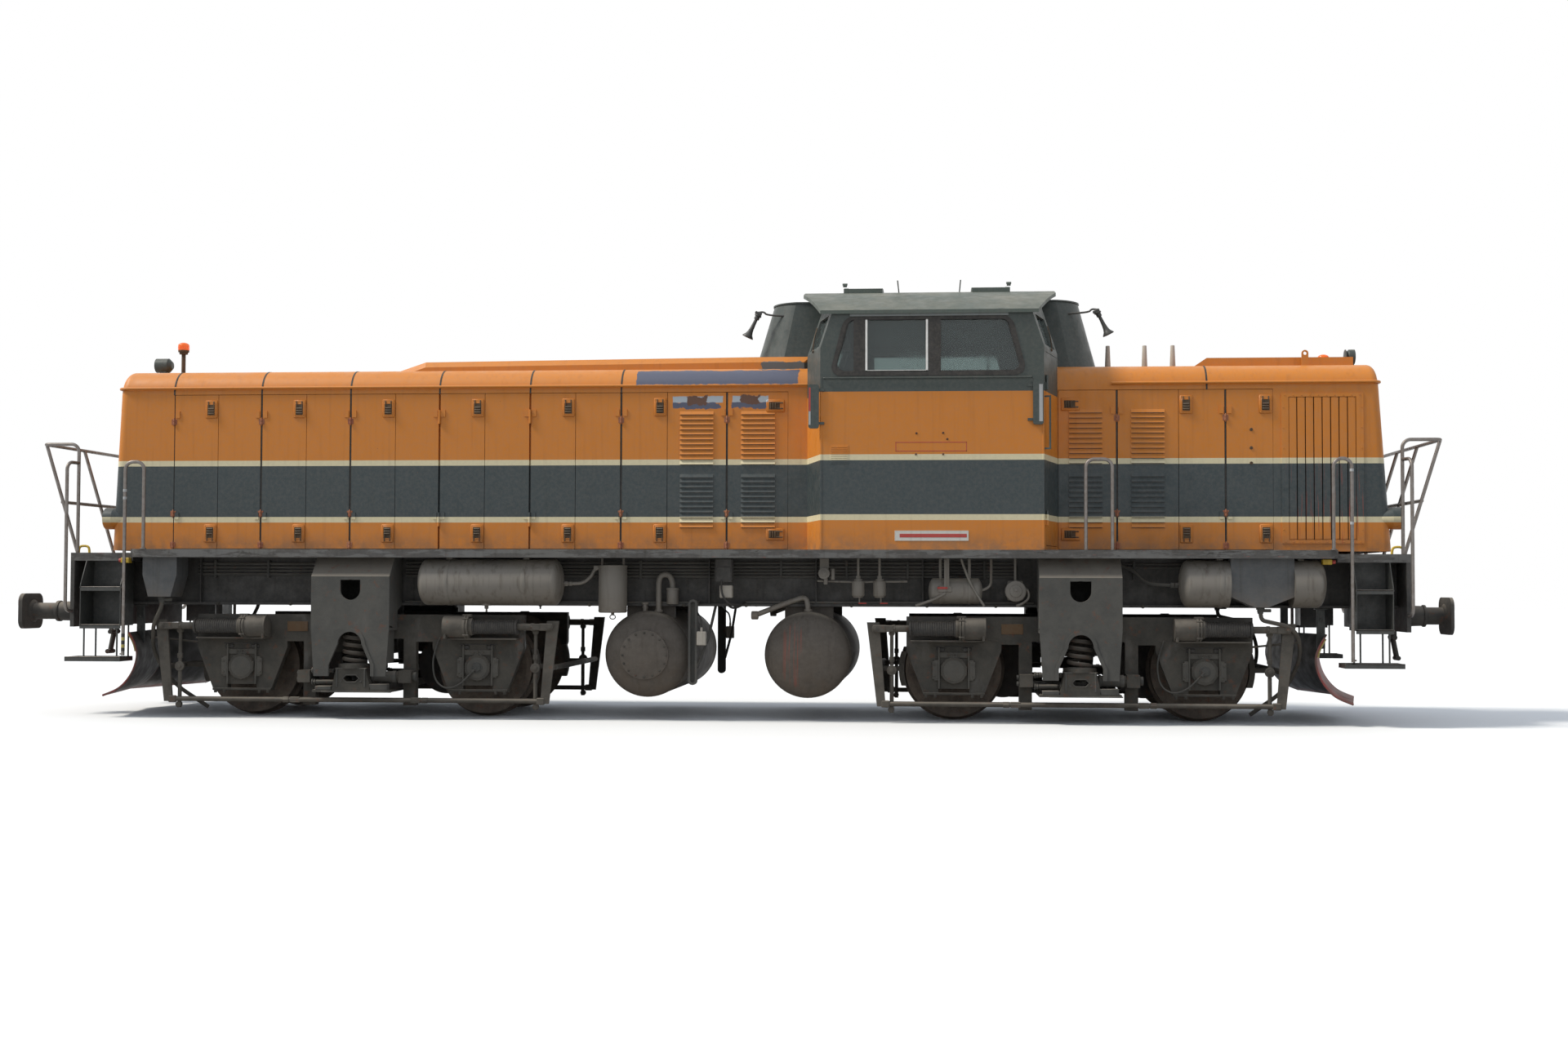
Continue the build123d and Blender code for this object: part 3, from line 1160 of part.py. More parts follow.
def window_frames():
    """Frames and posts in the long side windows, with the sliding pane's own frame."""
    high, low = WINDOW_TOP + FRAME_BAR, WINDOW_BOTTOM - FRAME_BAR
    ring = side_window(SEAT_GAP) - side_window(FRAME_BAR)
    bars = [ring & block(WINDOW_START - 1, WINDOW_END + 1, -ROOF_HALF, ROOF_HALF, low, high)]
    for x0, x1 in WINDOW_POSTS:
        bars.append(block(x0, x1, -ROOF_HALF, ROOF_HALF, WINDOW_BOTTOM + 1, WINDOW_TOP - 1))
    frame = fused(bars) & side_window(SEAT_GAP) & window_layer()
    return [frame]


def window_awnings():
    """A flat sunshade that hangs from the roof's edge over each side window."""
    x0, x1 = AWNING_SPAN
    pieces = []
    for side in SIDES:
        y = side * CAB_HALF
        flap = block(x0, x1, y, y + side * AWNING_PLATE, AWNING_BOTTOM, ROOF_TOP)
        under = extrude(Pos(x0, 0, 0) * under_roof(ROOF_SKIN + SEAT_GAP, ROOF_HALF), x1 - x0, dir=(1, 0, 0))
        pieces.append(flap & under)
    return pieces


def horn(mouth, throat, toward):
    """A trumpet that flares to its mouth, with a bracket back to the nose."""
    line = Vector(*throat) - Vector(*mouth)
    seat = Plane(origin=mouth, z_dir=line)
    flare = Cone(HORN_MOUTH, HORN_THROAT, line.length * 0.45, align=(Align.CENTER, Align.CENTER, Align.MIN))
    pipe = bar(Vector(*mouth) + line * 0.4, throat, HORN_THROAT)
    x, y, z = throat
    bracket = block(x - toward * HORN_THROAT, x + toward * 300, y - HORN_THROAT, y + HORN_THROAT,
                    z - 2 * HORN_THROAT, z + HORN_THROAT)
    return (seat * flare) + pipe + bracket


def horns(noses):
    """A pair of trumpets before each nose."""
    pieces = []
    for body, mouth_x, throat_x, toward in ((noses[0], *HORN_A, 1), (noses[1], *HORN_B, -1)):
        for side in SIDES:
            y = side * HORN_OFFSET
            pieces.append(horn((mouth_x, y, HORN_BOTTOM), (throat_x, y, HORN_TOP), toward) - body)
    return pieces


def antennas():
    """Rod antennas on round feet along the short hood's roof."""
    pieces = []
    for x in ANTENNA_PLACES:
        foot = bar((x, 0, HOOD_TOP), (x, 0, HOOD_TOP + ANTENNA_FOOT), ANTENNA_FOOT_RADIUS)
        pieces.append(foot + bar((x, 0, HOOD_TOP), (x, 0, ANTENNA_TOP), ANTENNA_RADIUS))
    return pieces


def dome(x, y, z_low, z_high, radius):
    """A beacon's round lens with a rounded top."""
    height = z_high - z_low
    lens = Pos(x, y, z_low) * Cylinder(radius, height, align=(Align.CENTER, Align.CENTER, Align.MIN))
    rim = lens.edges().filter_by(GeomType.CIRCLE).sort_by(Axis.Z)[-1:]
    return fillet(rim, radius * 0.7)


def beacons():
    """A low warning lens on the roof box and one on a stalk over the long hood's end."""
    low = dome(BEACON_B_X, 0, ROOF_BOX_TOP, ROOF_BOX_TOP + BEACON_HEIGHT, BEACON_RADIUS)
    x, y = BEACON_A
    stalk_top = BEACON_A_TOP - 2 * BEACON_HEIGHT
    stalk = bar((x, y, HOOD_TOP), (x, y, stalk_top + 1), BEACON_STALK)
    return [low, stalk + dome(x, y, stalk_top, BEACON_A_TOP, BEACON_RADIUS)]


def headlamps(long_body, short_body):
    """The lamp over each hood's end and the pair of lamp housings on each hood's corners."""
    pieces = []
    for end, lens_x, back_x, z in ((-1, *TOP_LAMP_A), (1, *TOP_LAMP_B)):
        shell = bar((back_x, 0, z), (lens_x, 0, z), TOP_LAMP_RADIUS)
        shell = chamfer(shell.edges().filter_by(GeomType.CIRCLE).sort_by(Axis.X)[0 if end > 0 else -1:][:1],
                        TOP_LAMP_RADIUS / 2)
        middle = (lens_x + back_x) / 2
        foot = block(middle - TOP_LAMP_RADIUS / 2, middle + TOP_LAMP_RADIUS / 2, -TOP_LAMP_RADIUS / 2,
                     TOP_LAMP_RADIUS / 2, HOOD_TOP, z)
        pieces.append(shell + foot)
    for end, lens_x, tail_x, body in ((-1, *CORNER_LAMP_A, long_body), (1, *CORNER_LAMP_B, short_body)):
        for side in SIDES:
            y, z = side * (HOOD_HALF - CORNER_LAMP_INSET), CORNER_LAMP_HEIGHT
            drum_x = lens_x - end * CORNER_LAMP_DRUM
            drum = bar((drum_x, y, z), (lens_x, y, z), CORNER_LAMP_RADIUS)
            tail = Plane(origin=(drum_x, y, z), z_dir=(-end, 0, 0)) * Cone(
                CORNER_LAMP_RADIUS, CORNER_LAMP_RADIUS / 3, abs(drum_x - tail_x),
                align=(Align.CENTER, Align.CENTER, Align.MIN))
            pieces.append(drum + tail - body)
    return pieces


def mirrors():
    """Flat mirror housings folded against the cab's corners, on both sides."""
    pieces = []
    for x0, x1, z0, z1 in MIRRORS:
        for side in SIDES:
            shift = x0 if side < 0 else 2 * CAB_CENTRE - x1
            box = block(shift, shift + x1 - x0, side * CAB_HALF, side * ROOF_HALF, z0, z1)
            box = fillet(box.edges().filter_by(Axis.Y), MIRROR_CORNER)
            inward = shift + x1 - x0 if shift < CAB_CENTRE else shift
            toward = 1 if shift < CAB_CENTRE else -1
            for z in (z0 + 2 * MIRROR_CORNER, z1 - 2 * MIRROR_CORNER):
                box = box + block(inward - toward * MIRROR_CORNER, inward + toward * MIRROR_ARM,
                                  side * CAB_HALF, side * (CAB_HALF + MIRROR_CORNER / 2),
                                  z - MIRROR_CORNER / 2, z + MIRROR_CORNER / 2)
            pieces.append(box)
    return pieces


def roof_box():
    """The low box along the short hood's roof with one sloping end, and lifting eyes beside it."""
    x0, x1 = ROOF_BOX_SPAN
    outline = [(x0 - ROOF_BOX_SLOPE, HOOD_TOP), (x0, ROOF_BOX_TOP), (x1, ROOF_BOX_TOP), (x1, HOOD_TOP)]
    pieces = [side_plate(outline, -ROOF_BOX_HALF, ROOF_BOX_HALF)]
    for side in SIDES:
        y = side * EYE_OFFSET
        stem = block(EYE_X - EYE_RADIUS, EYE_X + EYE_RADIUS, y - EYE_PLATE, y + EYE_PLATE, HOOD_TOP,
                     EYE_TOP - EYE_RADIUS)
        ring = bar((EYE_X, y - EYE_PLATE, EYE_TOP - EYE_RADIUS), (EYE_X, y + EYE_PLATE, EYE_TOP - EYE_RADIUS),
                   EYE_RADIUS)
        middle = EYE_TOP - EYE_RADIUS
        hole = bar((EYE_X, y - EYE_RADIUS, middle), (EYE_X, y + EYE_RADIUS, middle),
                   EYE_RADIUS / 2)
        pieces.append(stem + ring - hole)
    return pieces


def gutter(cab_x, end_x):
    """A round rain strip that wraps one hood along both sides and its end."""
    reach = HOOD_HALF + GUTTER_RADIUS + SEAT_GAP
    out = end_x + (GUTTER_RADIUS + SEAT_GAP) * (1 if end_x > cab_x else -1)
    points = [(cab_x, -reach, GUTTER_HEIGHT), (out, -reach, GUTTER_HEIGHT), (out, reach, GUTTER_HEIGHT),
              (cab_x, reach, GUTTER_HEIGHT)]
    return tube(points, GUTTER_RADIUS, HOOD_EDGE_RADIUS + GUTTER_RADIUS)


def hood_gutters():
    """The rain strips of both hoods."""
    fall = (HOOD_TOP - GUTTER_HEIGHT) / (HOOD_TOP - DECK_TOP)
    long_x = LONG_END_TOP + (LONG_END_BOTTOM - LONG_END_TOP) * fall
    short_x = SHORT_END_TOP + (SHORT_END_BOTTOM - SHORT_END_TOP) * fall
    return [gutter(CAB_CENTRE - CAB_FACE_HALF, long_x), gutter(SHORT_GUTTER_START, short_x)]


def coupling(end):
    """The draw hook through the headstock, with a screw coupling hung from its pin."""
    x0, z = headstock(end), BUFFER_HEIGHT
    hook = side_plate([(end * (x0 + x), z + height) for x, height in HOOK_PROFILE], -HOOK_HALF, HOOK_HALF)
    plate = block(end * x0, end * (x0 + HOOK_PLATE), -HOOK_PLATE_HALF, HOOK_PLATE_HALF, z - HOOK_PLATE_HALF,
                  z + HOOK_PLATE_HALF)
    pin_x, pin_z = x0 + HOOK_PIN_X, z
    pin = bar((end * pin_x, -LINK_SPREAD, pin_z), (end * pin_x, LINK_SPREAD, pin_z), HOOK_PIN)
    pieces = [hook, plate, pin]
    low_z = pin_z - LINK_DROP
    for side in SIDES:
        y = side * (LINK_SPREAD - LINK_PLATE)
        pieces.append(block(end * (pin_x - HOOK_PIN), end * (pin_x + HOOK_PIN), y, side * LINK_SPREAD,
                            low_z - HOOK_PIN, pin_z + HOOK_PIN))
    reach = LINK_SPREAD + HOOK_HALF
    pieces.append(bar((end * pin_x, -reach, low_z), (end * pin_x, reach, low_z), HOOK_PIN))
    foot = (end * (pin_x + SCREW_LEAN), low_z - SCREW_LENGTH)
    pieces.append(bar((end * pin_x, 0, low_z), (foot[0], 0, foot[1]), SCREW_RADIUS))
    pieces.append(bar((foot[0], -LINK_SPREAD, foot[1]), (foot[0], LINK_SPREAD, foot[1]), HOOK_PIN))
    return fused(pieces)


def corner_steps():
    """A boxed pair of treads below each corner of the walkway, with a tray hung under it on rods."""
    pieces = []
    for end, (x0, x1), (tray0, tray1) in ((-1, STEP_SPAN_A, TRAY_SPAN_A), (1, STEP_SPAN_B, TRAY_SPAN_B)):
        for side in SIDES:
            outer, inner = side * STEP_REACH, side * (STEP_REACH - STEP_DEPTH)
            low = STEP_HEIGHTS[0]
            cheek = [(inner, PLATFORM_UNDER), (side * PLATFORM_HALF, PLATFORM_UNDER),
                     (outer, STEP_HEIGHTS[1] + STEP_LIP), (outer, low), (inner, low)]
            steps = [end_plate(cheek, end * x0, end * (x0 + STEP_PLATE)),
                     end_plate(cheek, end * (x1 - STEP_PLATE), end * x1),
                     block(end * x0, end * x1, inner, inner + side * STEP_PLATE, low, PLATFORM_UNDER)]
            for z in STEP_HEIGHTS:
                steps.append(block(end * x0, end * x1, inner, outer, z, z + STEP_PLATE))
                steps.append(block(end * x0, end * x1, outer - side * STEP_PLATE, outer, z - STEP_LIP, z))
            tray = block(end * tray0, end * tray1, inner, outer, TRAY_HEIGHT, TRAY_HEIGHT + TRAY_RIM)
            well = block(end * (tray0 + STEP_PLATE), end * (tray1 - STEP_PLATE), inner + side * STEP_PLATE,
                         outer - side * STEP_PLATE, TRAY_HEIGHT + STEP_PLATE, TRAY_HEIGHT + TRAY_RIM + 1)
            for x in (x0 + STEP_ROD_INSET, x1 - STEP_ROD_INSET):
                for y in (inner + side * 2 * STEP_ROD, outer - side * 2 * STEP_ROD):
                    steps.append(bar((end * x, y, TRAY_HEIGHT + 1), (end * x, y, low + 1), STEP_ROD))
            pieces.append(fused([tray - well] + steps))
    return pieces


def end_handrails():
    """At each end, a rail frame that leans out over the buffers, with its stanchions and middle rail."""
    pieces = []
    for end, post in ((-1, POST_A), (1, POST_B)):
        x_post, x_out = end * post, end * (post + HANDRAIL_LEAN)
        y = PLATFORM_HALF - HANDRAIL_INSET
        frame = tube([(x_post, -y, PLATFORM_TOP), (x_post, -y, HANDRAIL_TOP), (x_out, -y, HANDRAIL_TOP),
                      (x_out, y, HANDRAIL_TOP), (x_post, y, HANDRAIL_TOP), (x_post, y, PLATFORM_TOP)],
                     RAIL_TUBE, RAIL_BEND)
        parts = [frame]
        foot_x = end * (post + 2 * RAIL_TUBE)
        for stanchion_y in STANCHION_PLACES:
            for side in SIDES:
                parts.append(bar((foot_x, side * stanchion_y, PLATFORM_TOP + STANCHION_RISE),
                                 (x_out, side * stanchion_y, HANDRAIL_TOP), RAIL_TUBE))
        share = (HANDRAIL_MIDDLE - PLATFORM_TOP) / (HANDRAIL_TOP - PLATFORM_TOP)
        middle_x = foot_x + (x_out - foot_x) * share
        parts.append(bar((middle_x, -STANCHION_PLACES[0] - RAIL_TUBE, HANDRAIL_MIDDLE),
                         (middle_x, STANCHION_PLACES[0] + RAIL_TUBE, HANDRAIL_MIDDLE), RAIL_TUBE))
        for side in SIDES:
            pole_x = end * (headstock(end) - HEADSTOCK_THICKNESS / 2)
            route = [(pole_x, side * PLATFORM_HALF, POLE_BOTTOM), (pole_x, side * DECK_HALF, POLE_BOTTOM),
                     (pole_x, side * DECK_HALF, GRAB_TOP), (x_post, side * y, GRAB_TOP)]
            parts.append(tube(route, RAIL_TUBE, RAIL_BEND))
        pieces.append(fused(parts))
    return pieces


def grab_rails():
    """The hooped rails beside the steps and along the walkway's edge."""
    pieces = []
    for end, legs, step_x in ((-1, GRAB_LEGS_A, STEP_SPAN_A[0]), (1, GRAB_LEGS_B, STEP_SPAN_B[0])):
        inner_x, outer_x = legs
        for side in SIDES:
            y = side * (DECK_HALF - HANDRAIL_INSET / 2)
            hoop = tube([(end * inner_x, y, DECK_TOP), (end * inner_x, y, GRAB_TOP),
                         (end * outer_x, y, GRAB_TOP), (end * outer_x, y, GRAB_FOOT)], RAIL_TUBE, RAIL_BEND)
            clip = bar((end * outer_x, y, GRAB_FOOT + RAIL_TUBE), (end * step_x, y, GRAB_FOOT + RAIL_TUBE),
                       RAIL_TUBE / 2)
            pieces.append(hoop + clip)
    x0, x1 = SIDE_RAIL_SPAN
    for side in SIDES:
        y = side * (DECK_HALF - 2 * RAIL_TUBE)
        shift = x0 if side < 0 else 2 * CAB_CENTRE - x1
        pieces.append(tube([(shift, y, DECK_TOP), (shift, y, GRAB_TOP), (shift + x1 - x0, y, GRAB_TOP),
                            (shift + x1 - x0, y, DECK_TOP)], RAIL_TUBE, RAIL_BEND))
    return pieces


def cab_rails():
    """The stand-off rail below each side window and the grab handle at each door's corner post."""
    pieces = []
    z = SILL_RAIL_HEIGHT
    for side in SIDES:
        wall, out = side * CAB_HALF, side * (CAB_HALF + SILL_RAIL_OFF)
        x0, x1 = SILL_RAIL_SPAN
        route = [(x0, wall, z), (x0, out, z), (x1, out, z), (x1, wall, z)]
        pieces.append(tube(route, SILL_RAIL, SILL_RAIL_OFF / 2))
    low, high = HANDLE_HEIGHTS
    handle = on_corner(HANDLE_ALONG - SILL_RAIL, HANDLE_ALONG + SILL_RAIL, low, high, HANDLE_OFF,
                       HANDLE_OFF + 2 * SILL_RAIL)
    for z in (low, high - 2 * SILL_RAIL):
        handle = handle + on_corner(HANDLE_ALONG - SILL_RAIL, HANDLE_ALONG + SILL_RAIL, z, z + 2 * SILL_RAIL,
                                    0, HANDLE_OFF + 1)
    return pieces + [handle, turned_about_cab(handle)]


def snow_ploughs():
    """A hollow-faced blade below each headstock, swept back to both wings and hung on two arms."""
    pieces = []
    for end in ENDS.values():
        front = [(x, z) for x, z in PLOUGH_PROFILE]
        back = [(x - PLOUGH_PLATE, z) for x, z in reversed(front)]
        outline = [(end * (x + PLOUGH_SWEEP), z) for x, z in front + back]
        face = Face(Wire.make_polygon([(x, 0, z) for x, z in outline]))
        slant = Vector(end * -PLOUGH_SWEEP, PLOUGH_HALF, 0)
        wings = [extrude(face, slant.length, dir=(slant.X, side * slant.Y, 0)) for side in SIDES]
        parts = wings
        top_x, top_z = PLOUGH_PROFILE[0]
        for side in SIDES:
            y = side * PLOUGH_ARM_OFFSET
            arm_x = top_x + PLOUGH_SWEEP * (1 - PLOUGH_ARM_OFFSET / PLOUGH_HALF)
            parts.append(block(end * (arm_x - PLOUGH_ARM), end * (arm_x - PLOUGH_PLATE / 2), y - PLOUGH_PLATE,
                               y + PLOUGH_PLATE, top_z - PLOUGH_ARM, GIRDER_BOTTOM))
        pieces.append(fused(parts))
    return pieces


def sandboxes():
    """Sand bins under the walkway at the outer ends of both bogies."""
    pieces = []
    for outline in (SANDBOX_A, SANDBOX_B):
        for side in SIDES:
            bin_body = side_plate([(x, z) for x, z in outline], side * SANDBOX_INNER, side * SANDBOX_REACH)
            low_z = min(z for x, z in outline)
            low_x = [x for x, z in outline if z == low_z]
            spout_x = sum(low_x) / len(low_x)
            spout = bar((spout_x, side * SAND_HOSE_Y, low_z - SPOUT_LENGTH),
                        (spout_x, side * SAND_HOSE_Y, low_z + 1), SPOUT_RADIUS)
            pieces.append(bin_body + spout)
    return pieces


def eased_tube(points, radius):
    """A hose along a route, with each bend as large as its two runs allow."""
    corners = [Vector(*point) for point in points]
    radii = []
    for before, at, after in zip(corners, corners[1:], corners[2:]):
        first, second = at - before, after - at
        half_turn = first.get_angle(second) / 2
        radii.append(0.45 * min(first.length, second.length) / tan(radians(half_turn)))
    path = FilletPolyline(*points, radius=radii)
    return sweep(Plane(origin=points[0], z_dir=corners[1] - corners[0]) * Circle(radius), path=path)


def sand_hoses(pivot, end, top_x, top_z, frame):
    """The hoses that lead sand from below the bins to the rail, each clamped to the bogie's frame."""
    pieces = []
    upper, lower = Vector(*SAND_ROUTE[0]), Vector(*SAND_ROUTE[1])
    held = (upper + lower) * 0.5
    for side in SIDES:
        drop = (top_x + HOSE_CLEAR, SAND_HOSE_Y, top_z - HOSE_DROP)
        route = [(top_x, SAND_HOSE_Y, top_z), drop] + list(SAND_ROUTE)
        hose = eased_tube([(pivot + end * x, side * y, z) for x, y, z in route], SAND_HOSE_RADIUS)
        x, y, z = HOSE_CLAMP
        clamp = bar((pivot + end * x, side * y, z), (pivot + end * held.X, side * held.Y, held.Z),
                    SAND_HOSE_RADIUS / 2)
        pieces.append(hose + (clamp - frame))
    return pieces


def hung_cylinder(x, radius, low, high, y):
    """An upright cylinder on a stem from the deck."""
    body = bar((x, y, low), (x, y, high), radius)
    body = chamfer(body.edges().filter_by(GeomType.CIRCLE), radius / 5)
    return body + bar((x, y, high - 1), (x, y, DECK_UNDER), radius / 3)


def underframe_equipment():
    """Air cylinders, filters, valve boxes and the tank gauge below the walkway's edge."""
    pieces = []
    for side in SIDES:
        y = side * EQUIPMENT_OFFSET
        for x, radius, low, high in UPRIGHT_CYLINDERS:
            pieces.append(hung_cylinder(x, radius, low, high, y))
        x0, x1, radius, z = LYING_CYLINDER
        lying = bar((x0, y, z), (x1, y, z), radius)
        lying = chamfer(lying.edges().filter_by(GeomType.CIRCLE), radius / 4)
        hanger = (x0 + x1) / 2
        pieces.append(lying + block(hanger - STRAP_HALF, hanger + STRAP_HALF, y - STRAP_HALF, y + STRAP_HALF,
                                    z, DECK_UNDER))
        for x0, x1, low, high in VALVE_BOXES:
            box = block(x0, x1, y - VALVE_BOX_HALF, y + VALVE_BOX_HALF, low, high)
            middle = (x0 + x1) / 2
            pieces.append(box + block(middle - CLIP_HALF, middle + CLIP_HALF, y - CLIP_HALF, y + CLIP_HALF,
                                      high - 1, DECK_UNDER))
        x0, x1 = GAUGE_SPAN
        front = side * (FUEL_TANK_REACH - GAUGE_SETBACK)
        post = block(x0, x1, front, front + side * (x1 - x0) / 2, *GAUGE_HEIGHTS)
        arm = block(x0, x1, side * (GIRDER_HALF + GIRDER_WEB / 2), front + side * CLIP_HALF,
                    GAUGE_HEIGHTS[1] - 2 * CLIP_HALF, GAUGE_HEIGHTS[1])
        box_end, low, high = GAUGE_BOX
        box = block(x1 - 1, box_end, front, front + side * GAUGE_SETBACK, low, high)
        pieces.append(post + arm + box)
    return pieces


def underframe_pipes():
    """Air and fuel pipes along each girder, held by clips."""
    pieces = []
    web = GIRDER_HALF + GIRDER_WEB / 2
    for side in SIDES:
        parts = []
        for number, z in enumerate(PIPE_HEIGHTS):
            y = side * (web + PIPE_CLIP)
            parts.append(bar((PIPE_SPAN[0], y, z), (PIPE_SPAN[1] + number * PIPE_STEP, y, z), PIPE_RADIUS))
        for x in PIPE_CLIPS:
            parts.append(block(x - CLIP_HALF, x + CLIP_HALF, side * web,
                               side * (web + PIPE_CLIP + PIPE_RADIUS), PIPE_HEIGHTS[0] - 2 * PIPE_RADIUS,
                               PIPE_HEIGHTS[-1] + 2 * PIPE_RADIUS))
        pieces.append(fused(parts))
    return pieces


def brake_gear(pivot):
    """Cylinders, slack adjusters, levers, pull rods and shoes of one bogie's clasp brakes."""
    pieces = []
    half = WHEELBASE / 2
    for end in SIDES:
        lever_x = half + BRAKE_LEVER_OUT
        for side in SIDES:
            y = side * BRAKE_LINE
            x0, x1 = BRAKE_CYLINDER
            pieces.append(bar((pivot + end * x0, y, BRAKE_HEIGHT), (pivot + end * x1, y, BRAKE_HEIGHT),
                              BRAKE_CYLINDER_RADIUS))
            pieces.append(block(pivot + end * (x0 + BRAKE_BAR), pivot + end * (x1 - BRAKE_BAR),
                                side * SIDE_OUTER, y, BRAKE_HEIGHT - BRAKE_BAR, BRAKE_HEIGHT + BRAKE_BAR))
            pieces.append(bar((pivot + end * x1, y, BRAKE_HEIGHT), (pivot + end * lever_x, y, BRAKE_HEIGHT),
                              BRAKE_ROD))
            first, last = BELLOWS_SPAN
            pitch = (last - first) / BELLOWS_RINGS
            for ring in range(BELLOWS_RINGS):
                start = pivot + end * (first + ring * pitch)
                stop = start + end * pitch * BELLOWS_SHARE
                pieces.append(bar((start, y, BRAKE_HEIGHT), (stop, y, BRAKE_HEIGHT), BELLOWS_RADIUS))
            foot_x = lever_x - BRAKE_LEVER_LEAN
            lever = [(lever_x - LEVER_HEAD_HALF, BRAKE_HEIGHT + LEVER_HEAD_HALF),
                     (lever_x + LEVER_HEAD_HALF, BRAKE_HEIGHT + LEVER_HEAD_HALF),
                     (foot_x + LEVER_FOOT_HALF, PULL_ROD_HEIGHT - BRAKE_BAR),
                     (foot_x - LEVER_FOOT_HALF, PULL_ROD_HEIGHT - BRAKE_BAR)]
            outline = [(pivot + end * x, z) for x, z in lever]
            pieces.append(side_plate(outline, y - side * BRAKE_LEVER_PLATE, y))
            wheel_y = side * (WHEEL_BACK + WHEEL_WIDTH / 2 + FLANGE_WIDTH / 2)
            pieces.append(brake_shoe(pivot + end * half, end, wheel_y))
            pieces.append(block(pivot + end * (half + TREAD_RADIUS + SHOE_GAP + SHOE_DEPTH - 2),
                                pivot + end * (lever_x - BRAKE_LEVER_LEAN / 2), wheel_y - BRAKE_BAR,
                                wheel_y + BRAKE_BAR, AXLE_HEIGHT - BRAKE_BAR, AXLE_HEIGHT + BRAKE_BAR))
        shaft_x = pivot + end * (lever_x - BRAKE_LEVER_LEAN / 2)
        pieces.append(bar((shaft_x, -BRAKE_LINE, AXLE_HEIGHT), (shaft_x, BRAKE_LINE, AXLE_HEIGHT), BRAKE_ROD))
    reach = half + BRAKE_LEVER_OUT - BRAKE_LEVER_LEAN
    for side in SIDES:
        y = side * (BRAKE_LINE - BRAKE_LEVER_PLATE)
        pieces.append(block(pivot - reach, pivot + reach, y - side * BRAKE_BAR, y + side,
                            PULL_ROD_HEIGHT - BRAKE_BAR, PULL_ROD_HEIGHT + BRAKE_BAR))
    return [fused(pieces)]


def brake_shoe(axle_x, end, wheel_y):
    """One curved shoe beside the tread, with running clearance."""
    inner = TREAD_RADIUS + SHOE_GAP
    ring = bar((axle_x, wheel_y - SHOE_HALF, AXLE_HEIGHT), (axle_x, wheel_y + SHOE_HALF, AXLE_HEIGHT),
               inner + SHOE_DEPTH)
    hollow = SHOE_HALF + 1
    ring = ring - bar((axle_x, wheel_y - hollow, AXLE_HEIGHT), (axle_x, wheel_y + hollow, AXLE_HEIGHT), inner)
    return ring & block(axle_x + end * inner / 2, axle_x + end * (inner + 2 * SHOE_DEPTH),
                        wheel_y - 2 * SHOE_HALF, wheel_y + 2 * SHOE_HALF, AXLE_HEIGHT - SHOE_REACH,
                        AXLE_HEIGHT + SHOE_REACH)


def cab_interior():
    """The driver's desk across the cab with its sloping top, and a seat on a pedestal."""
    x0, x1 = DESK_SPAN
    desk = [(x0, DECK_TOP), (x0, DESK_TOP - DESK_SLOPE), (x1, DESK_TOP), (x1, DECK_TOP)]
    pieces = [side_plate(desk, -DESK_HALF, DESK_HALF)]
    for side in SIDES:
        y = side * SEAT_OFFSET
        x = x0 - SEAT_DISTANCE
        post = bar((x, y, DECK_TOP), (x, y, DRIVER_SEAT_TOP - CUSHION), SEAT_POST)
        cushion = block(x - CUSHION_HALF, x + CUSHION_HALF, y - CUSHION_HALF, y + CUSHION_HALF,
                        DRIVER_SEAT_TOP - CUSHION, DRIVER_SEAT_TOP)
        back = block(x - CUSHION_HALF, x - CUSHION_HALF + CUSHION, y - CUSHION_HALF, y + CUSHION_HALF,
                     DRIVER_SEAT_TOP - CUSHION, DRIVER_SEAT_TOP + 3 * CUSHION)
        pieces.append(post + cushion + back)
    return pieces


write("power_unit", power_unit())
write("hood_fairing", hood_fairing())
write("main_frame", main_frame())
write("walkway", walkway())
write("bolster_brackets", [bolster_bracket(end * PIVOT, side) for end in ENDS.values() for side in SIDES])
hood_posts = engine_doors()
long_body = fused(long_hood() + hood_posts)
write("long_hood", [long_body])
write("long_hood_doors", long_hood_doors())
short_body = short_hood()[0]
write("short_hood", [short_body])
write("side_grilles", side_grilles())
write("headlamps", headlamps(long_body, short_body))
write("short_hood_doors", short_hood_doors())
cab_walls()
noses = cab_noses()
write("cab_noses", noses)
write("horns", horns(noses))
write("cab_glass", cab_glass())
write("window_frames", window_frames())
write("cab_fittings", mirrors() + cab_rails() + window_awnings())
write("cab_interior", cab_interior())
write("roof_hatches", roof_hatches())
write("antennas", antennas())
write("beacons", beacons())
write("roof_box", roof_box())
write("hood_gutters", hood_gutters())
write("couplings", [coupling(end) for end in ENDS.values()])
write("corner_steps", corner_steps())
write("handrails", end_handrails() + grab_rails())
write("snow_ploughs", snow_ploughs())
write("sandboxes", sandboxes())
write("underframe_equipment", underframe_equipment() + underframe_pipes())
write("cab_roof", cab_roof())
write("buffers", buffers())
write("air_reservoirs", reservoirs())
write("fuel_tanks", fuel_tanks())
for end_name, end in ENDS.items():
    pivot = end * PIVOT
    frames = bogie_frame(pivot)
    write(f"bogie_frame_{end_name}", frames)
    write(f"axleboxes_{end_name}", axleboxes(pivot))
    write(f"bolster_springs_{end_name}", [coil_spring(pivot, side * SPRING_Y) for side in SIDES])
    write(f"traction_motors_{end_name}", traction_motors(pivot))
    hoses = sand_hoses(pivot, end, *SAND_HOSE_TOPS[end_name], frames[0])
    write(f"brake_gear_{end_name}", brake_gear(pivot) + hoses)
    for number, offset_x in enumerate((-WHEELBASE / 2, WHEELBASE / 2), 1):
        write(f"wheelset_{end_name}{number}", [wheelset(pivot + offset_x)])
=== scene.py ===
import math

import bpy
from mathutils import Matrix, Vector


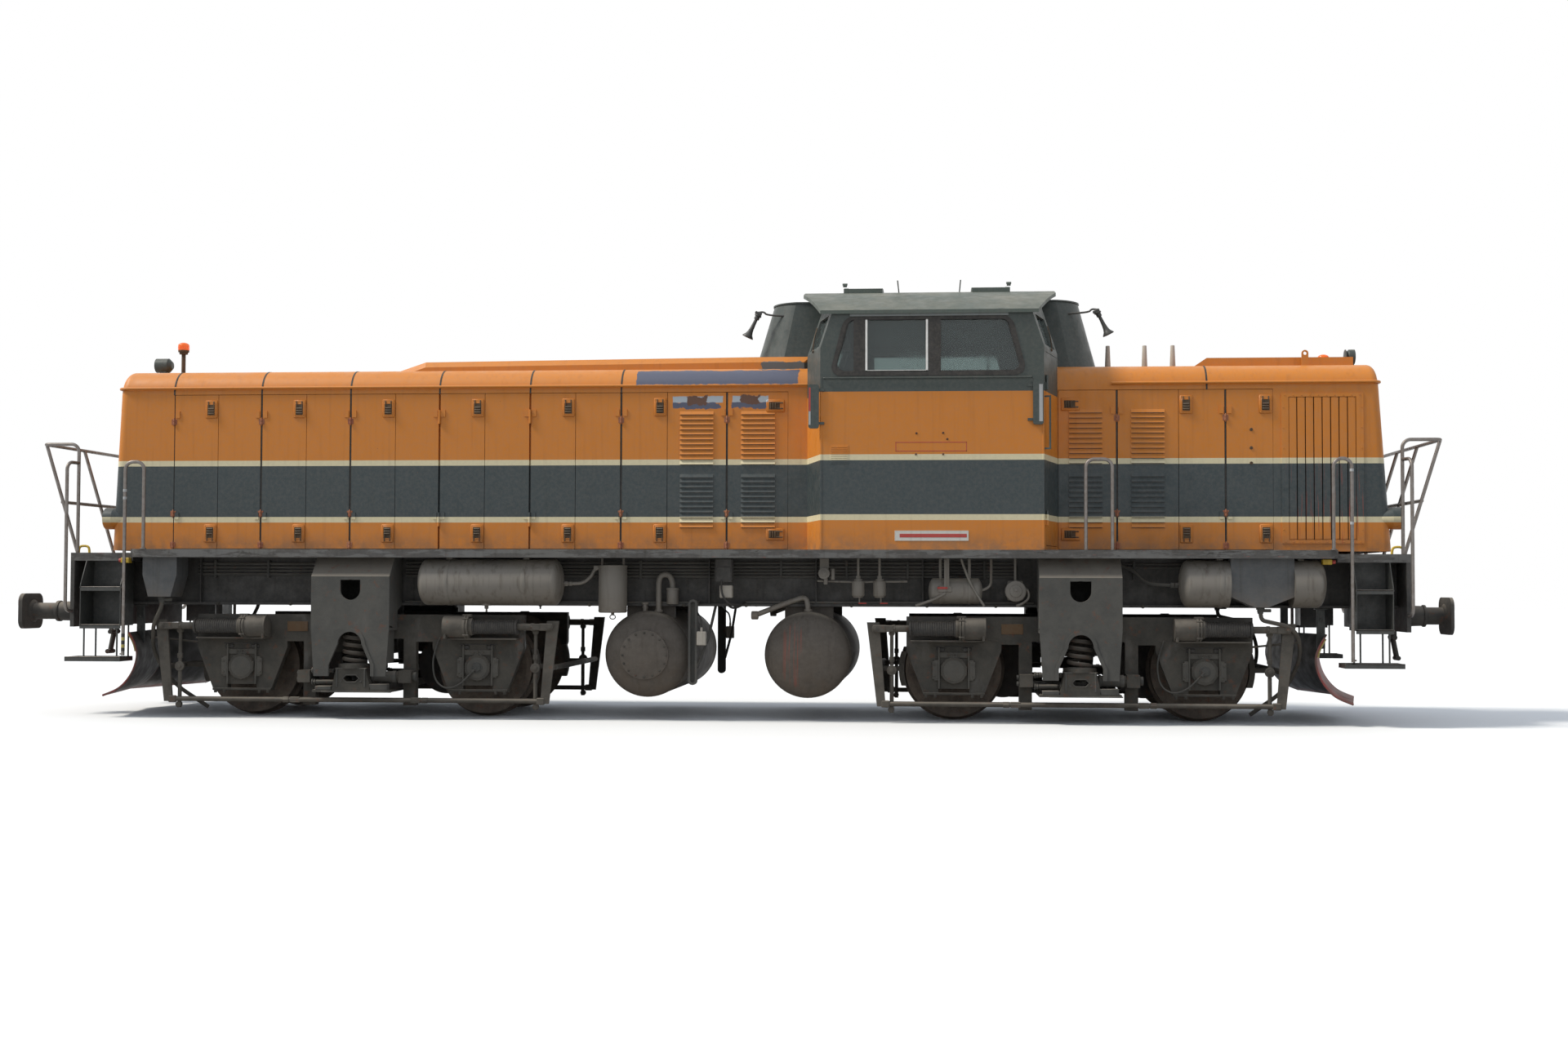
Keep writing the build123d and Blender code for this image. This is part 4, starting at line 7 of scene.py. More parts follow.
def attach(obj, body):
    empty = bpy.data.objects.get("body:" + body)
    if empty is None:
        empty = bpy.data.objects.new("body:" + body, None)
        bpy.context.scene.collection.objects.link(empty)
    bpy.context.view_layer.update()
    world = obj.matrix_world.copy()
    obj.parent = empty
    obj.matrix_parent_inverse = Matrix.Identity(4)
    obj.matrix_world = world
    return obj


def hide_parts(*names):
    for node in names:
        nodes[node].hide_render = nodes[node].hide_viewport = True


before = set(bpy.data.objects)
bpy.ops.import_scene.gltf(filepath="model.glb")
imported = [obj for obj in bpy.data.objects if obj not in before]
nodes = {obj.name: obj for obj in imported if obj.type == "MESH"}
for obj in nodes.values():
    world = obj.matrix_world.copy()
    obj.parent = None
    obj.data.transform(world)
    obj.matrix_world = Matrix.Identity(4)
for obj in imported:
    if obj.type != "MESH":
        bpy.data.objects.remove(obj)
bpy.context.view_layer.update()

# Heights are in metres above the bottom of the wheel flanges, which lies 28 mm below the rail's top.
RAIL = 0.028
DECK_TOP = RAIL + 1.645
HOOD_HALF = 0.85
PIVOTS = {"a": -3.55, "b": 3.55}
SIDES = (-1, 1)

# Paint colours as linear values
ORANGE = (0.58, 0.192, 0.015, 1)
GREEN = (0.023, 0.036, 0.04, 1)
CREAM = (0.7, 0.62, 0.4, 1)
CAB_GREEN = (0.034, 0.047, 0.043, 1)
# The frame's grey is kept darker than its paint, to stand in for the shade under the walkway: painted shade.
FRAME_GREY_SHADED = (0.04, 0.039, 0.037, 1)
DUST = (0.23, 0.195, 0.155, 1)
GRIME = (0.018, 0.016, 0.014, 1)
RUST = (0.17, 0.055, 0.022, 1)
OLD_BLUE = (0.075, 0.083, 0.125, 1)


class Nodes:
    """A node tree, with short calls for what is added to it."""

    def __init__(self, tree):
        self.tree = tree

    def link(self, source, socket):
        """Feeds a socket from an output, or sets it to a plain value."""
        if isinstance(source, bpy.types.NodeSocket):
            self.tree.links.new(source, socket)
        else:
            socket.default_value = source

    def node(self, kind, **inputs):
        """A new node with its inputs fed; an underscore in an input's name stands for a space."""
        node = self.tree.nodes.new("ShaderNode" + kind)
        for name, source in inputs.items():
            self.link(source, node.inputs[name.replace("_", " ")])
        return node

    def sum(self, operation, first, second=0.5):
        """One step of arithmetic on two values."""
        node = self.node("Math")
        node.operation = operation
        self.link(first, node.inputs[0])
        self.link(second, node.inputs[1])
        return node.outputs[0]

    def times(self, first, second):
        """Two values multiplied."""
        return self.sum("MULTIPLY", first, second)

    def plus(self, first, second):
        """Two values added."""
        return self.sum("ADD", first, second)

    def eye_rays(self):
        """1 for the rays that reach the camera straight, through glass or by a mirror."""
        path = self.node("LightPath")
        seen = self.sum("MAXIMUM", path.outputs["Is Camera Ray"], path.outputs["Is Transmission Ray"])
        return self.sum("MAXIMUM", seen, path.outputs["Is Glossy Ray"])


class Finish(Nodes):
    """A procedural material, with short calls for the nodes that the finishes share."""

    def __init__(self, name):
        self.material = bpy.data.materials.new(name)
        self.material.use_nodes = True
        super().__init__(self.material.node_tree)
        self.shader = self.tree.nodes["Principled BSDF"]
        self.place = self.node("TexCoord").outputs["Object"]

    def stretched(self, scale):
        """The object's coordinates, scaled along each axis."""
        return self.node("Mapping", Vector=self.place, Scale=scale).outputs["Vector"]

    def noise(self, scale, detail=4.0, rough=0.55, place=None):
        """Soft cloudy noise from 0 to 1."""
        return self.node("TexNoise", Vector=place or self.place, Scale=scale, Detail=detail,
                         Roughness=rough).outputs["Fac"]

    def cells(self, scale):
        """Distance to the nearest of many scattered points."""
        return self.node("TexVoronoi", Vector=self.place, Scale=scale).outputs["Distance"]

    def band(self, source, low, high, start=0.0, end=1.0):
        """A value carried from one range to another, with a smooth ramp."""
        node = self.node("MapRange", Value=source, From_Min=low, From_Max=high, To_Min=start, To_Max=end)
        node.interpolation_type = "SMOOTHSTEP"
        return node.outputs["Result"]

    def cloud(self, scale, detail, rough, low, high, *ends):
        """Noise carried from one range to another."""
        return self.band(self.noise(scale, detail, rough), low, high, *ends)

    def colour(self, value):
        """One colour as an output, for the weather to be laid on."""
        node = self.node("RGB")
        node.outputs[0].default_value = value
        return node.outputs[0]

    def mix(self, share, first, second, blend="MIX"):
        """Two colours mixed by a share."""
        node = self.node("Mix")
        node.data_type = "RGBA"
        node.blend_type = blend
        for name, source in (("Factor", share), ("A", first), ("B", second)):
            self.link(source, node.inputs[name])
        return node.outputs["Result"]

    def axis(self, name, normal=False):
        """One coordinate of the place, or of the surface's direction."""
        source = self.node("NewGeometry").outputs["Normal"] if normal else self.place
        return self.node("SeparateXYZ", Vector=source).outputs[name]

    def stripes(self, stops, low, high):
        """Hard-edged bands of colour along the height."""
        share = self.band(self.axis("Z"), low, high)
        share.node.interpolation_type = "LINEAR"
        node = self.node("ValToRGB", Fac=share)
        node.color_ramp.interpolation = "CONSTANT"
        elements = node.color_ramp.elements
        while len(elements) < len(stops):
            elements.new(0.5)
        for element, (height, colour) in zip(elements, stops):
            element.position = (height - low) / (high - low)
            element.color = colour
        return node.outputs["Color"]

    def finish(self, colour, rough=0.5, metallic=0.0, bump=None, strength=0.3, distance=0.003):
        """Sets the shader's colour, roughness, metal and bump."""
        for name, source in (("Base Color", colour), ("Roughness", rough), ("Metallic", metallic)):
            self.link(source, self.shader.inputs[name])
        if bump is not None:
            node = self.node("Bump", Strength=strength, Distance=distance, Height=bump)
            self.link(node.outputs["Normal"], self.shader.inputs["Normal"])
        return self.material


def weathered(look, colour, dirt_low=None, speckle=RUST, streak=0.5, dust_on_top=0.35):
    """Adds fading, rain streaks, chips and dust to a colour."""
    fade = look.cloud(1.1, 5, 0.55, 0.3, 0.75)
    colour = look.mix(look.times(fade, 0.22), colour, (0.55, 0.5, 0.42, 1), "SOFT_LIGHT")
    streaks = look.band(look.noise(3.0, 4, 0.5, look.stretched((7, 7, 0.35))), 0.5, 0.8)
    colour = look.mix(look.times(streaks, streak), colour, (0.42, 0.36, 0.3, 1), "MULTIPLY")
    mottle = look.cloud(26, 8, 0.7, 0.35, 0.7)
    colour = look.mix(look.times(mottle, 0.12), colour, DUST)
    chips = look.band(look.cells(7.5), 0.035, 0.02)
    gate = look.cloud(5.3, 3, 0.55, 0.53, 0.6)
    colour = look.mix(look.times(look.times(chips, gate), 0.8), colour, speckle)
    if dirt_low:
        low, high = dirt_low
        dirt = look.times(look.band(look.axis("Z"), high, low), look.cloud(6, 6, 0.7, 0.25, 0.7))
        colour = look.mix(look.times(dirt, 0.65), colour, (0.13, 0.095, 0.065, 1))
    top = look.band(look.axis("Z", normal=True), 0.6, 0.95)
    top = look.times(top, look.cloud(2.2, 6, 0.65, 0.3, 0.7))
    return look.mix(look.times(top, dust_on_top), colour, (0.47, 0.4, 0.3, 1))


def striped_paint(name, cab=False, rust_streaks=False):
    """The hood's orange with its cream-edged dark band, or the cab's with the dark upper part."""
    look = Finish(name)
    stops = [(1.0, ORANGE), (RAIL + 1.921, CREAM), (RAIL + 1.976, GREEN), (RAIL + 2.501, CREAM),
             (RAIL + 2.556, ORANGE)]
    if cab:
        stops.append((RAIL + 3.153, CAB_GREEN))
    colour = look.stripes(stops, 1.0, 4.6)
    colour = weathered(look, colour, (DECK_TOP, DECK_TOP + 0.25), streak=0.2, dust_on_top=0.12)
    if name == "hood_paint":
        colour = peeled(look, colour)
    if rust_streaks:
        lines = look.band(look.noise(4.0, 5, 0.6, look.stretched((14, 3, 0.5))), 0.56, 0.66)
        reach = look.times(look.band(look.axis("Z"), 2.75, 1.9), lines)
        colour = look.mix(look.times(reach, 0.75), colour, (0.3, 0.045, 0.022, 1))
    rough = look.cloud(9, 5, 0.55, 0.2, 0.8, 0.36, 0.62)
    waves = look.noise(2.4, 2)
    grain = look.times(look.noise(160, 3), 0.06)
    return look.finish(colour, rough, 0.0, look.plus(waves, grain), 0.35, 0.006)


def patch(look, colour, tint, x, z, ragged=0.025):
    """A place on the near side where the top coat has peeled off with a ragged edge."""
    wander = look.times(look.sum("SUBTRACT", look.noise(9, 6, 0.65)), 2.4 * ragged)
    across = look.plus(look.axis("X"), wander)
    height = look.plus(look.axis("Z"), wander)
    inside = look.band(look.axis("Y"), -0.4, -0.45)
    for place, (low, high) in ((across, x), (height, z)):
        inside = look.times(inside, look.band(place, low - 0.004, low + 0.004))
        inside = look.times(inside, look.band(place, high + 0.004, high - 0.004))
    return look.mix(inside, colour, tint)


def peeled(look, colour):
    """The bare places on the long hood's shoulder, its raised roof and two door tops."""
    colour = patch(look, colour, OLD_BLUE, (-0.83, 0.8), (RAIL + 3.312, RAIL + 3.47))
    colour = patch(look, colour, (0.11, 0.105, 0.1, 1), (0.4, 0.9), (RAIL + 3.487, RAIL + 3.58), 0.06)
    for low, high in ((-0.456, 0.05), (0.145, 0.505)):
        middle = (low + high) / 2
        colour = patch(look, colour, OLD_BLUE, (low, high - 0.02), (RAIL + 3.075, RAIL + 3.14), 0.05)
        colour = patch(look, colour, (0.42, 0.47, 0.5, 1), (low, high), (RAIL + 3.135, RAIL + 3.197), 0.012)
        colour = patch(look, colour, (0.1, 0.045, 0.025, 1), (middle - 0.1, middle + 0.1),
                       (RAIL + 3.12, RAIL + 3.205), 0.06)
    return colour


def plain_paint(name, base, dirt=None, rough=(0.45, 0.7), dust=0.35, streak=0.5, bump=0.3, speckle=RUST):
    """One painted colour with weather on it."""
    look = Finish(name)
    coat = look.colour(base)
    colour = weathered(look, coat, dirt, speckle, streak, dust)
    shine = look.cloud(9, 5, 0.55, 0.2, 0.8, *rough)
    relief = look.plus(look.noise(3, 2), look.times(look.noise(120, 4), 0.12))
    return look.finish(colour, shine, 0.0, relief, bump, 0.005)


def dusty_iron(name, base, dust=DUST, amount=0.7, oil=0.5):
    """Cast or forged parts of the running gear, under grease and pale brake dust."""
    look = Finish(name)
    coat = look.colour(base)
    cloud = look.cloud(3.4, 9, 0.68, 0.32, 0.68)
    colour = look.mix(look.times(cloud, amount), coat, dust)
    upward = look.band(look.axis("Z", normal=True), 0.1, 0.9)
    colour = look.mix(look.times(upward, 0.45), colour, (0.3, 0.255, 0.2, 1))
    oily = look.band(look.noise(5.5, 6, 0.62, look.stretched((1, 1, 0.4))), 0.55, 0.72)
    colour = look.mix(look.times(oily, oil), colour, GRIME)
    rusty = look.cloud(11, 7, 0.7, 0.57, 0.7)
    colour = look.mix(look.times(rusty, 0.45), colour, RUST)
    rough = look.sum("SUBTRACT", 0.86, look.times(oily, 0.4))
    relief = look.plus(look.noise(38, 6, 0.7), look.times(look.noise(220, 3), 0.35))
    return look.finish(colour, rough, 0.0, relief, 0.5, 0.004)


def wheel_steel():
    """Wheels: brown dusty discs with patches of rust."""
    look = Finish("wheel_steel")
    cloud = look.cloud(6, 8, 0.7, 0.3, 0.7)
    colour = look.mix(cloud, (0.06, 0.047, 0.038, 1), (0.16, 0.125, 0.095, 1))
    rusty = look.cloud(16, 6, 0.7, 0.55, 0.7)
    colour = look.mix(look.times(rusty, 0.5), colour, RUST)
    return look.finish(colour, 0.72, 0.25, look.noise(60, 6, 0.7), 0.4, 0.003)


def bare_metal(name, base, rough=0.35, wear=0.4):
    """Worn bare or galvanised metal."""
    look = Finish(name)
    cloud = look.cloud(18, 7, 0.65, 0.3, 0.75)
    colour = look.mix(look.times(cloud, wear), base, (0.12, 0.095, 0.075, 1))
    shine = look.cloud(30, 5, 0.55, 0.2, 0.8, rough - 0.08, rough + 0.2)
    return look.finish(colour, shine, 0.85, look.noise(90, 4), 0.2, 0.001)


def window_glass():
    """Slightly dusty safety glass."""
    look = Finish("window_glass")
    dusty = look.cloud(3.2, 7, 0.7, 0.35, 0.8, 0.02, 0.18)
    look.shader.inputs["Transmission Weight"].default_value = 0.92
    look.shader.inputs["IOR"].default_value = 1.45
    return look.finish((0.34, 0.41, 0.4, 1), dusty, 0.0)


def lens(name, base, glow=0.0):
    """A moulded lamp lens with fine upright ribs."""
    look = Finish(name)
    wave = look.node("TexWave", Vector=look.place, Scale=55)
    look.shader.inputs["Transmission Weight"].default_value = 0.35
    look.shader.inputs["IOR"].default_value = 1.49
    if glow:
        look.shader.inputs["Emission Color"].default_value = base
        look.shader.inputs["Emission Strength"].default_value = glow
    colour = look.mix(look.cloud(12, 4, 0.55, 0.3, 0.7), base, tuple(0.8 * c for c in base[:3]) + (1,))
    return look.finish(colour, 0.14, 0.0, wave.outputs["Fac"], 0.35, 0.001)


def walkway_paint():
    """Worn grey plate with a diamond tread on top, and scuffs along its edge."""
    look = Finish("deck_paint")
    coat = look.colour((0.058, 0.056, 0.053, 1))
    long_cloud = look.stretched((0.5, 3, 3))
    colour = look.mix(look.band(look.noise(5, 6, 0.7, long_cloud), 0.48, 0.54), coat, (0.115, 0.115, 0.11, 1))
    colour = look.mix(look.band(look.noise(7, 7, 0.7, long_cloud), 0.6, 0.63), colour,
                      (0.03, 0.028, 0.026, 1))
    colour = look.mix(look.band(look.noise(11, 5, 0.7, long_cloud), 0.655, 0.68), colour,
                      (0.2, 0.075, 0.058, 1))
    colour = weathered(look, colour, None, RUST, 0.6, 0.5)
    waves = []
    for turn in (0.78, -0.78):
        turned = look.node("Mapping", Vector=look.place, Rotation=(0, 0, turn)).outputs["Vector"]
        waves.append(look.node("TexWave", Vector=turned, Scale=11).outputs["Fac"])
    upward = look.band(look.axis("Z", normal=True), 0.8, 0.95)
    tread = look.times(look.band(look.times(*waves), 0.45, 0.6), upward)
    relief = look.plus(look.noise(60, 5, 0.7), look.times(tread, 1.5))
    return look.finish(colour, look.cloud(12, 5, 0.55, 0.2, 0.8, 0.5, 0.8), 0.0, relief, 0.4, 0.003)


def plough_paint():
    """Faded red in front, and the back of the blades painted near-black, partly for its dirt and partly as
    painted shade.
    """
    look = Finish("plough_red")
    coat = look.colour((0.33, 0.034, 0.03, 1))
    colour = weathered(look, coat, None, (0.12, 0.05, 0.03, 1), 0.8, 0.4)
    dirt = look.cloud(3.2, 7, 0.7, 0.4, 0.62)
    colour = look.mix(look.times(dirt, 0.75), colour, (0.115, 0.085, 0.07, 1))
    # Faces that look inwards, towards the locomotive's middle, are painted near-black: partly dirt, partly
    # painted shade.
    end = look.sum("SIGN", look.axis("X"))
    inward_shade_and_dirt = look.band(look.times(end, look.axis("X", normal=True)), -0.25, -0.45)
    colour = look.mix(inward_shade_and_dirt, colour, (0.03, 0.024, 0.02, 1))
    return look.finish(colour, look.cloud(9, 5, 0.55, 0.2, 0.8, 0.45, 0.75), 0.0, look.noise(30, 6), 0.3,
                       0.003)


def tank_coat():
    """The fuel tanks' dusty brown-grey, with red streaks below the right tank's filler."""
    look = Finish("fuel_tank_paint")
    coat = look.colour((0.082, 0.07, 0.058, 1))
    colour = weathered(look, coat, (0.1, 0.9), RUST, 0.6, 0.6)
    lines = look.band(look.noise(5.0, 5, 0.6, look.stretched((12, 1, 0.4))), 0.5, 0.6)
    spread = look.times(look.band(look.axis("X"), 0.66, 0.74), look.band(look.axis("X"), 0.92, 0.84))
    lines = look.times(look.times(lines, spread), look.band(look.axis("Y"), -1.22, -1.24))
    colour = look.mix(look.times(lines, 0.55), colour, (0.26, 0.06, 0.035, 1))
    rough = look.cloud(9, 5, 0.55, 0.2, 0.8, 0.6, 0.85)
    relief = look.plus(look.noise(3, 2), look.times(look.noise(120, 4), 0.12))
    return look.finish(colour, rough, 0.0, relief, 0.9, 0.005)


hood_paint = striped_paint("hood_paint")
grille_paint = striped_paint("grille_paint", rust_streaks=True)
cab_paint = striped_paint("cab_paint", cab=True)
roof_paint = plain_paint("roof_paint", (0.058, 0.078, 0.066, 1), rough=(0.4, 0.65), dust=0.16)
nose_paint = plain_paint("nose_paint", (0.032, 0.045, 0.042, 1), rough=(0.35, 0.55), dust=0.3)
frame_paint = plain_paint("frame_paint", FRAME_GREY_SHADED, None, (0.6, 0.85), 0.5, 0.7)
deck_paint = walkway_paint()
tank_paint = plain_paint("tank_paint", (0.195, 0.178, 0.152, 1), (0.9, 1.4), (0.5, 0.7), 0.5, 0.8)
fuel_tank_paint = tank_coat()
axlebox_iron = dusty_iron("axlebox_iron", (0.08, 0.075, 0.064, 1), (0.15, 0.135, 0.11, 1), 0.5, 0.35)
sandbox_paint = plain_paint("sandbox_paint", (0.078, 0.082, 0.084, 1), (1.1, 1.4), (0.55, 0.75), 0.4, 0.6)
bogie_iron = dusty_iron("bogie_iron", (0.044, 0.041, 0.034, 1), (0.115, 0.101, 0.08, 1), 0.6, 0.5)
# This iron's base is darkened below its own colour to stand in for the shade under the walkway: painted
# shade.
shaded_bracket_iron = dusty_iron("shaded_bracket_iron", (0.062, 0.061, 0.055, 1), (0.115, 0.108, 0.092, 1), 0.5, 0.3)
motor_iron = dusty_iron("motor_iron", (0.035, 0.031, 0.028, 1), (0.09, 0.075, 0.06, 1), 0.5, 0.6)
spring_iron = dusty_iron("spring_iron", (0.042, 0.037, 0.031, 1), (0.13, 0.105, 0.08, 1), 0.5, 0.5)
brake_iron = dusty_iron("brake_iron", (0.062, 0.055, 0.045, 1), (0.16, 0.14, 0.112, 1), 0.6, 0.45)
buffer_iron = dusty_iron("buffer_iron", (0.04, 0.038, 0.035, 1), (0.12, 0.105, 0.085, 1), 0.4, 0.7)
wheel_iron = wheel_steel()
rail_metal = bare_metal("rail_metal", (0.2, 0.185, 0.175, 1), 0.42, 0.6)
aluminium = bare_metal("aluminium", (0.62, 0.62, 0.6, 1), 0.4, 0.2)
glass = window_glass()
plough_red = plough_paint()
dark_paint = plain_paint("dark_paint", (0.03, 0.033, 0.032, 1), None, (0.4, 0.65), 0.3, 0.4)
room_paint = plain_paint("room_paint", (0.1, 0.115, 0.1, 1), None, (0.4, 0.6), 0.1, 0.1)
beacon_lens = lens("beacon_lens", (0.85, 0.16, 0.01, 1), 0.25)
hinge_primer = dusty_iron("hinge_primer", (0.3, 0.1, 0.055, 1), (0.42, 0.2, 0.1, 1), 0.6, 0.25)
latch_dark = dusty_iron("latch_dark", (0.06, 0.042, 0.026, 1), (0.2, 0.12, 0.06, 1), 0.45, 0.4)
rubber = plain_paint("rubber", (0.016, 0.015, 0.014, 1), None, (0.6, 0.8), 0.1, 0.2)
rusty_iron = dusty_iron("rusty_iron", (0.055, 0.03, 0.018, 1), (0.2, 0.075, 0.03, 1), 0.6, 0.2)
visor_metal = plain_paint("visor_metal", (0.2, 0.215, 0.205, 1), None, (0.35, 0.55), 0.2, 0.4)
plate_white = plain_paint("plate_white", (0.62, 0.6, 0.54, 1), None, (0.35, 0.5), 0.1, 0.4, 0.1)
plate_red = plain_paint("plate_red", (0.42, 0.045, 0.035, 1), None, (0.4, 0.6), 0.1, 0.5, 0.1)
worn_white = plain_paint("worn_white", (0.42, 0.43, 0.43, 1), None, (0.4, 0.65), 0.1, 0.8, 0.3)
aerial_grey = plain_paint("aerial_grey", (0.43, 0.39, 0.33, 1), None, (0.5, 0.7), 0.2, 0.5, 0.2)
chrome = bare_metal("chrome", (0.72, 0.72, 0.7, 1), 0.16, 0.15)
mirror_glass = bare_metal("mirror_glass", (0.8, 0.82, 0.82, 1), 0.1, 0.05)
clear_lens = lens("clear_lens", (0.8, 0.82, 0.8, 1))
tap_yellow = plain_paint("tap_yellow", (0.6, 0.4, 0.03, 1), None, (0.4, 0.6), 0.2, 0.5, 0.1)
faded_yellow = plain_paint("faded_yellow", (0.46, 0.38, 0.1, 1), None, (0.5, 0.7), 0.5, 0.8, 0.1)
plate_ochre = dusty_iron("plate_ochre", (0.135, 0.075, 0.035, 1), (0.16, 0.12, 0.075, 1), 0.5, 0.3)

# The finish of each node, by the start of its name; the bogies' other parts are bare iron
FINISHES = (
    (hood_paint, "engine_door long_hood short_hood hood_fairing hood_gutters roof_box"),
    (cab_paint, "headlamps cab_door cab_side cab_end"), (grille_paint, "side_grilles"),
    (roof_paint, "cab_roof roof_hatches"), (nose_paint, "cab_noses cab_fittings"),
    (dark_paint, "antennas beacons horns corner_steps"), (buffer_iron, "buffers couplings"),
    (tank_paint, "air_reservoirs underframe_equipment"), (motor_iron, "power_unit traction_motors"),
    (frame_paint, "main_frame"), (deck_paint, "walkway"), (shaded_bracket_iron, "bolster_brackets"),
    (fuel_tank_paint, "fuel_tanks"), (glass, "cab_glass"), (rubber, "window_frames"),
    (room_paint, "cab_interior"), (rail_metal, "handrails"), (plough_red, "snow_ploughs"),
    (sandbox_paint, "sandboxes"), (wheel_iron, "wheelset"), (spring_iron, "bolster_springs"),
    (brake_iron, "brake_gear"))
for name, obj in nodes.items():
    look = next((look for look, starts in FINISHES if name.startswith(tuple(starts.split()))), bogie_iron)
    obj.data.materials.clear()
    obj.data.materials.append(look)


def mode(name):
    """Goes into or out of editing."""
    bpy.ops.object.mode_set(mode=name)


def start():
    """Ends any edit and leaves nothing selected."""
    active = bpy.context.view_layer.objects.active
    if active and active.mode != "OBJECT":
        mode("OBJECT")
    bpy.ops.object.select_all(action="DESELECT")


def take(*pieces):
    """Selects pieces, the last of them active."""
    start()
    for piece in pieces:
        piece.select_set(True)
        bpy.context.view_layer.objects.active = piece


def settle(piece):
    """Lays the piece's place into its mesh."""
    take(piece)
    bpy.ops.object.transform_apply(location=True, rotation=True, scale=True)
    return piece


def edit(piece, wanted=lambda normal: True):
    """Opens a piece for editing with only the wanted faces selected, told by where they look."""
    take(piece)
    mode("EDIT")
    bpy.ops.mesh.select_mode(type="FACE")
    bpy.ops.mesh.select_all(action="DESELECT")
    mode("OBJECT")
    for face in piece.data.polygons:
        face.select = wanted(face.normal)
    mode("EDIT")


def edit_edges(piece, wanted):
    """Opens a piece for editing with only the wanted edges selected, told by their two ends."""
    edit(piece, lambda normal: False)
    bpy.ops.mesh.select_mode(type="EDGE")
    mode("OBJECT")
    for edge in piece.data.edges:
        edge.select = wanted(*(piece.data.vertices[number].co for number in edge.vertices))
    mode("EDIT")


def pull(step):
    """Extrudes what is selected by one step."""
    bpy.ops.mesh.extrude_region_move(TRANSFORM_OT_translate={"value": step})


def outwards():
    """Turns all faces outwards and ends the edit."""
    bpy.ops.mesh.select_all(action="SELECT")
    bpy.ops.mesh.normals_make_consistent(inside=False)
    start()


def thickened(sheet, thickness):
    """Gives a sheet its thickness, half of it to each side."""
    skin = sheet.modifiers.new("skin", "SOLIDIFY")
    skin.thickness = thickness
    skin.offset = 0
    take(sheet)
    bpy.ops.object.modifier_apply(modifier="skin")
    return sheet


def box(x, y, z, round_off=0.0):
    """A block between two limits on each axis, its edges eased."""
    start()
    middle = [(low + high) / 2 for low, high in (x, y, z)]
    bpy.ops.mesh.primitive_cube_add(size=1, location=middle,
                                    scale=[abs(high - low) for low, high in (x, y, z)])
    piece = settle(bpy.context.object)
    if round_off:
        edit(piece)
        bpy.ops.mesh.bevel(offset=round_off, segments=1, affect="EDGES")
        start()
    return piece


def drum(centre, radius, length, axis="Y", sides=24, round_off=0.0, top=None):
    """A round bar about one axis, its two rims eased, or a cone where the top's radius differs."""
    start()
    turn = {"X": (0, math.pi / 2, 0), "Y": (math.pi / 2, 0, 0), "Z": (0, 0, 0)}[axis]
    bpy.ops.mesh.primitive_cone_add(vertices=sides, radius1=radius, radius2=radius if top is None else top,
                                    depth=length, location=centre, rotation=turn)
    piece = settle(bpy.context.object)
    if round_off:
        edit(piece, lambda normal: abs(normal["XYZ".index(axis)]) > 0.99)
        bpy.ops.mesh.region_to_loop()
        bpy.ops.mesh.bevel(offset=round_off, segments=2, affect="EDGES")
        start()
    return piece


def domed(centre, radius, length, dome, axis="X", ways=SIDES, sides=48, rings=7):
    """A lying or standing tank with pressed, bulging ends."""
    number = "XYZ".index(axis)
    blunt = dome * len(ways)
    middle = list(centre)
    middle[number] -= sum(ways) * dome / 2
    tank = drum(middle, radius, length - blunt, axis, sides)
    for way in ways:
        edit(tank, lambda normal: normal[number] * way > 0.99)
        for ring in range(rings):
            before, after = (math.radians(86 * step / rings) for step in (ring, ring + 1))
            step = Vector((0, 0, 0))
            step[number] = way * dome * (math.sin(after) - math.sin(before))
            pull(step)
            share = math.cos(after) / math.cos(before)
            bpy.ops.transform.resize(value=(share, share, share))
        start()
    return tank


def pressed(piece, margin, depth):
    """Insets the faces that look to the near side, and pushes them out or in."""
    edit(piece, lambda normal: normal.y < -0.95)
    bpy.ops.mesh.inset(thickness=margin, depth=0)
    pull((0, -depth, 0))
    start()
    return piece


def slab(x0, x1, y0, y1, z0, z1, round_off=0.0):
    """A block whose heights count from the rail's top, as they do in the pieces below."""
    return box((x0, x1), (y0, y1), (RAIL + z0, RAIL + z1), round_off)


def bar(x, y, z, radius, length, *finish):
    """A round bar along the locomotive."""
    return drum((x, y, RAIL + z), radius, length, "X", *finish)


def disc(x, y, z, radius, length, *finish):
    """A round piece that faces the sides."""
    return drum((x, y, RAIL + z), radius, length, "Y", *finish)


def post(x, y, z, radius, length, *finish):
    """An upright round bar."""
    return drum((x, y, RAIL + z), radius, length, "Z", *finish)


def bars(y, z, *rows):
    """Bars on one line, each given by its place along it and its sizes."""
    return [bar(x, y, z, *sizes) for x, *sizes in rows]


def discs(x, z, *rows):
    """Discs on one line across the locomotive."""
    return [disc(x, y, z, *sizes) for y, *sizes in rows]


def posts(x, y, *rows):
    """Posts on one upright line."""
    return [post(x, y, z, *sizes) for z, *sizes in rows]


def joined(pieces):
    """Several pieces as one, or one piece as it is."""
    if not isinstance(pieces, list):
        return pieces
    take(*pieces)
    if len(pieces) > 1:
        bpy.ops.object.join()
    return bpy.context.view_layer.objects.active


def pipe(route, radius, sides=3, smooth=True):
    """A round tube along a route, eased at its corners or with sharp ones."""
    start()
    bpy.ops.object.add(type="CURVE", location=(0, 0, 0))
    piece = bpy.context.object
    line = piece.data
    line.dimensions = "3D"
    line.bevel_depth = radius
    line.bevel_resolution = sides
    line.resolution_u = 8
    line.use_fill_caps = True
    spline = line.splines.new("NURBS" if smooth else "POLY")
    spline.points.add(len(route) - 1)
    for point, place in zip(spline.points, route):
        point.co = (*place, 1)
    if smooth:
        spline.order_u = 3
        spline.use_endpoint_u = True
    take(piece)
    bpy.ops.object.convert(target="MESH")
    return bpy.context.object


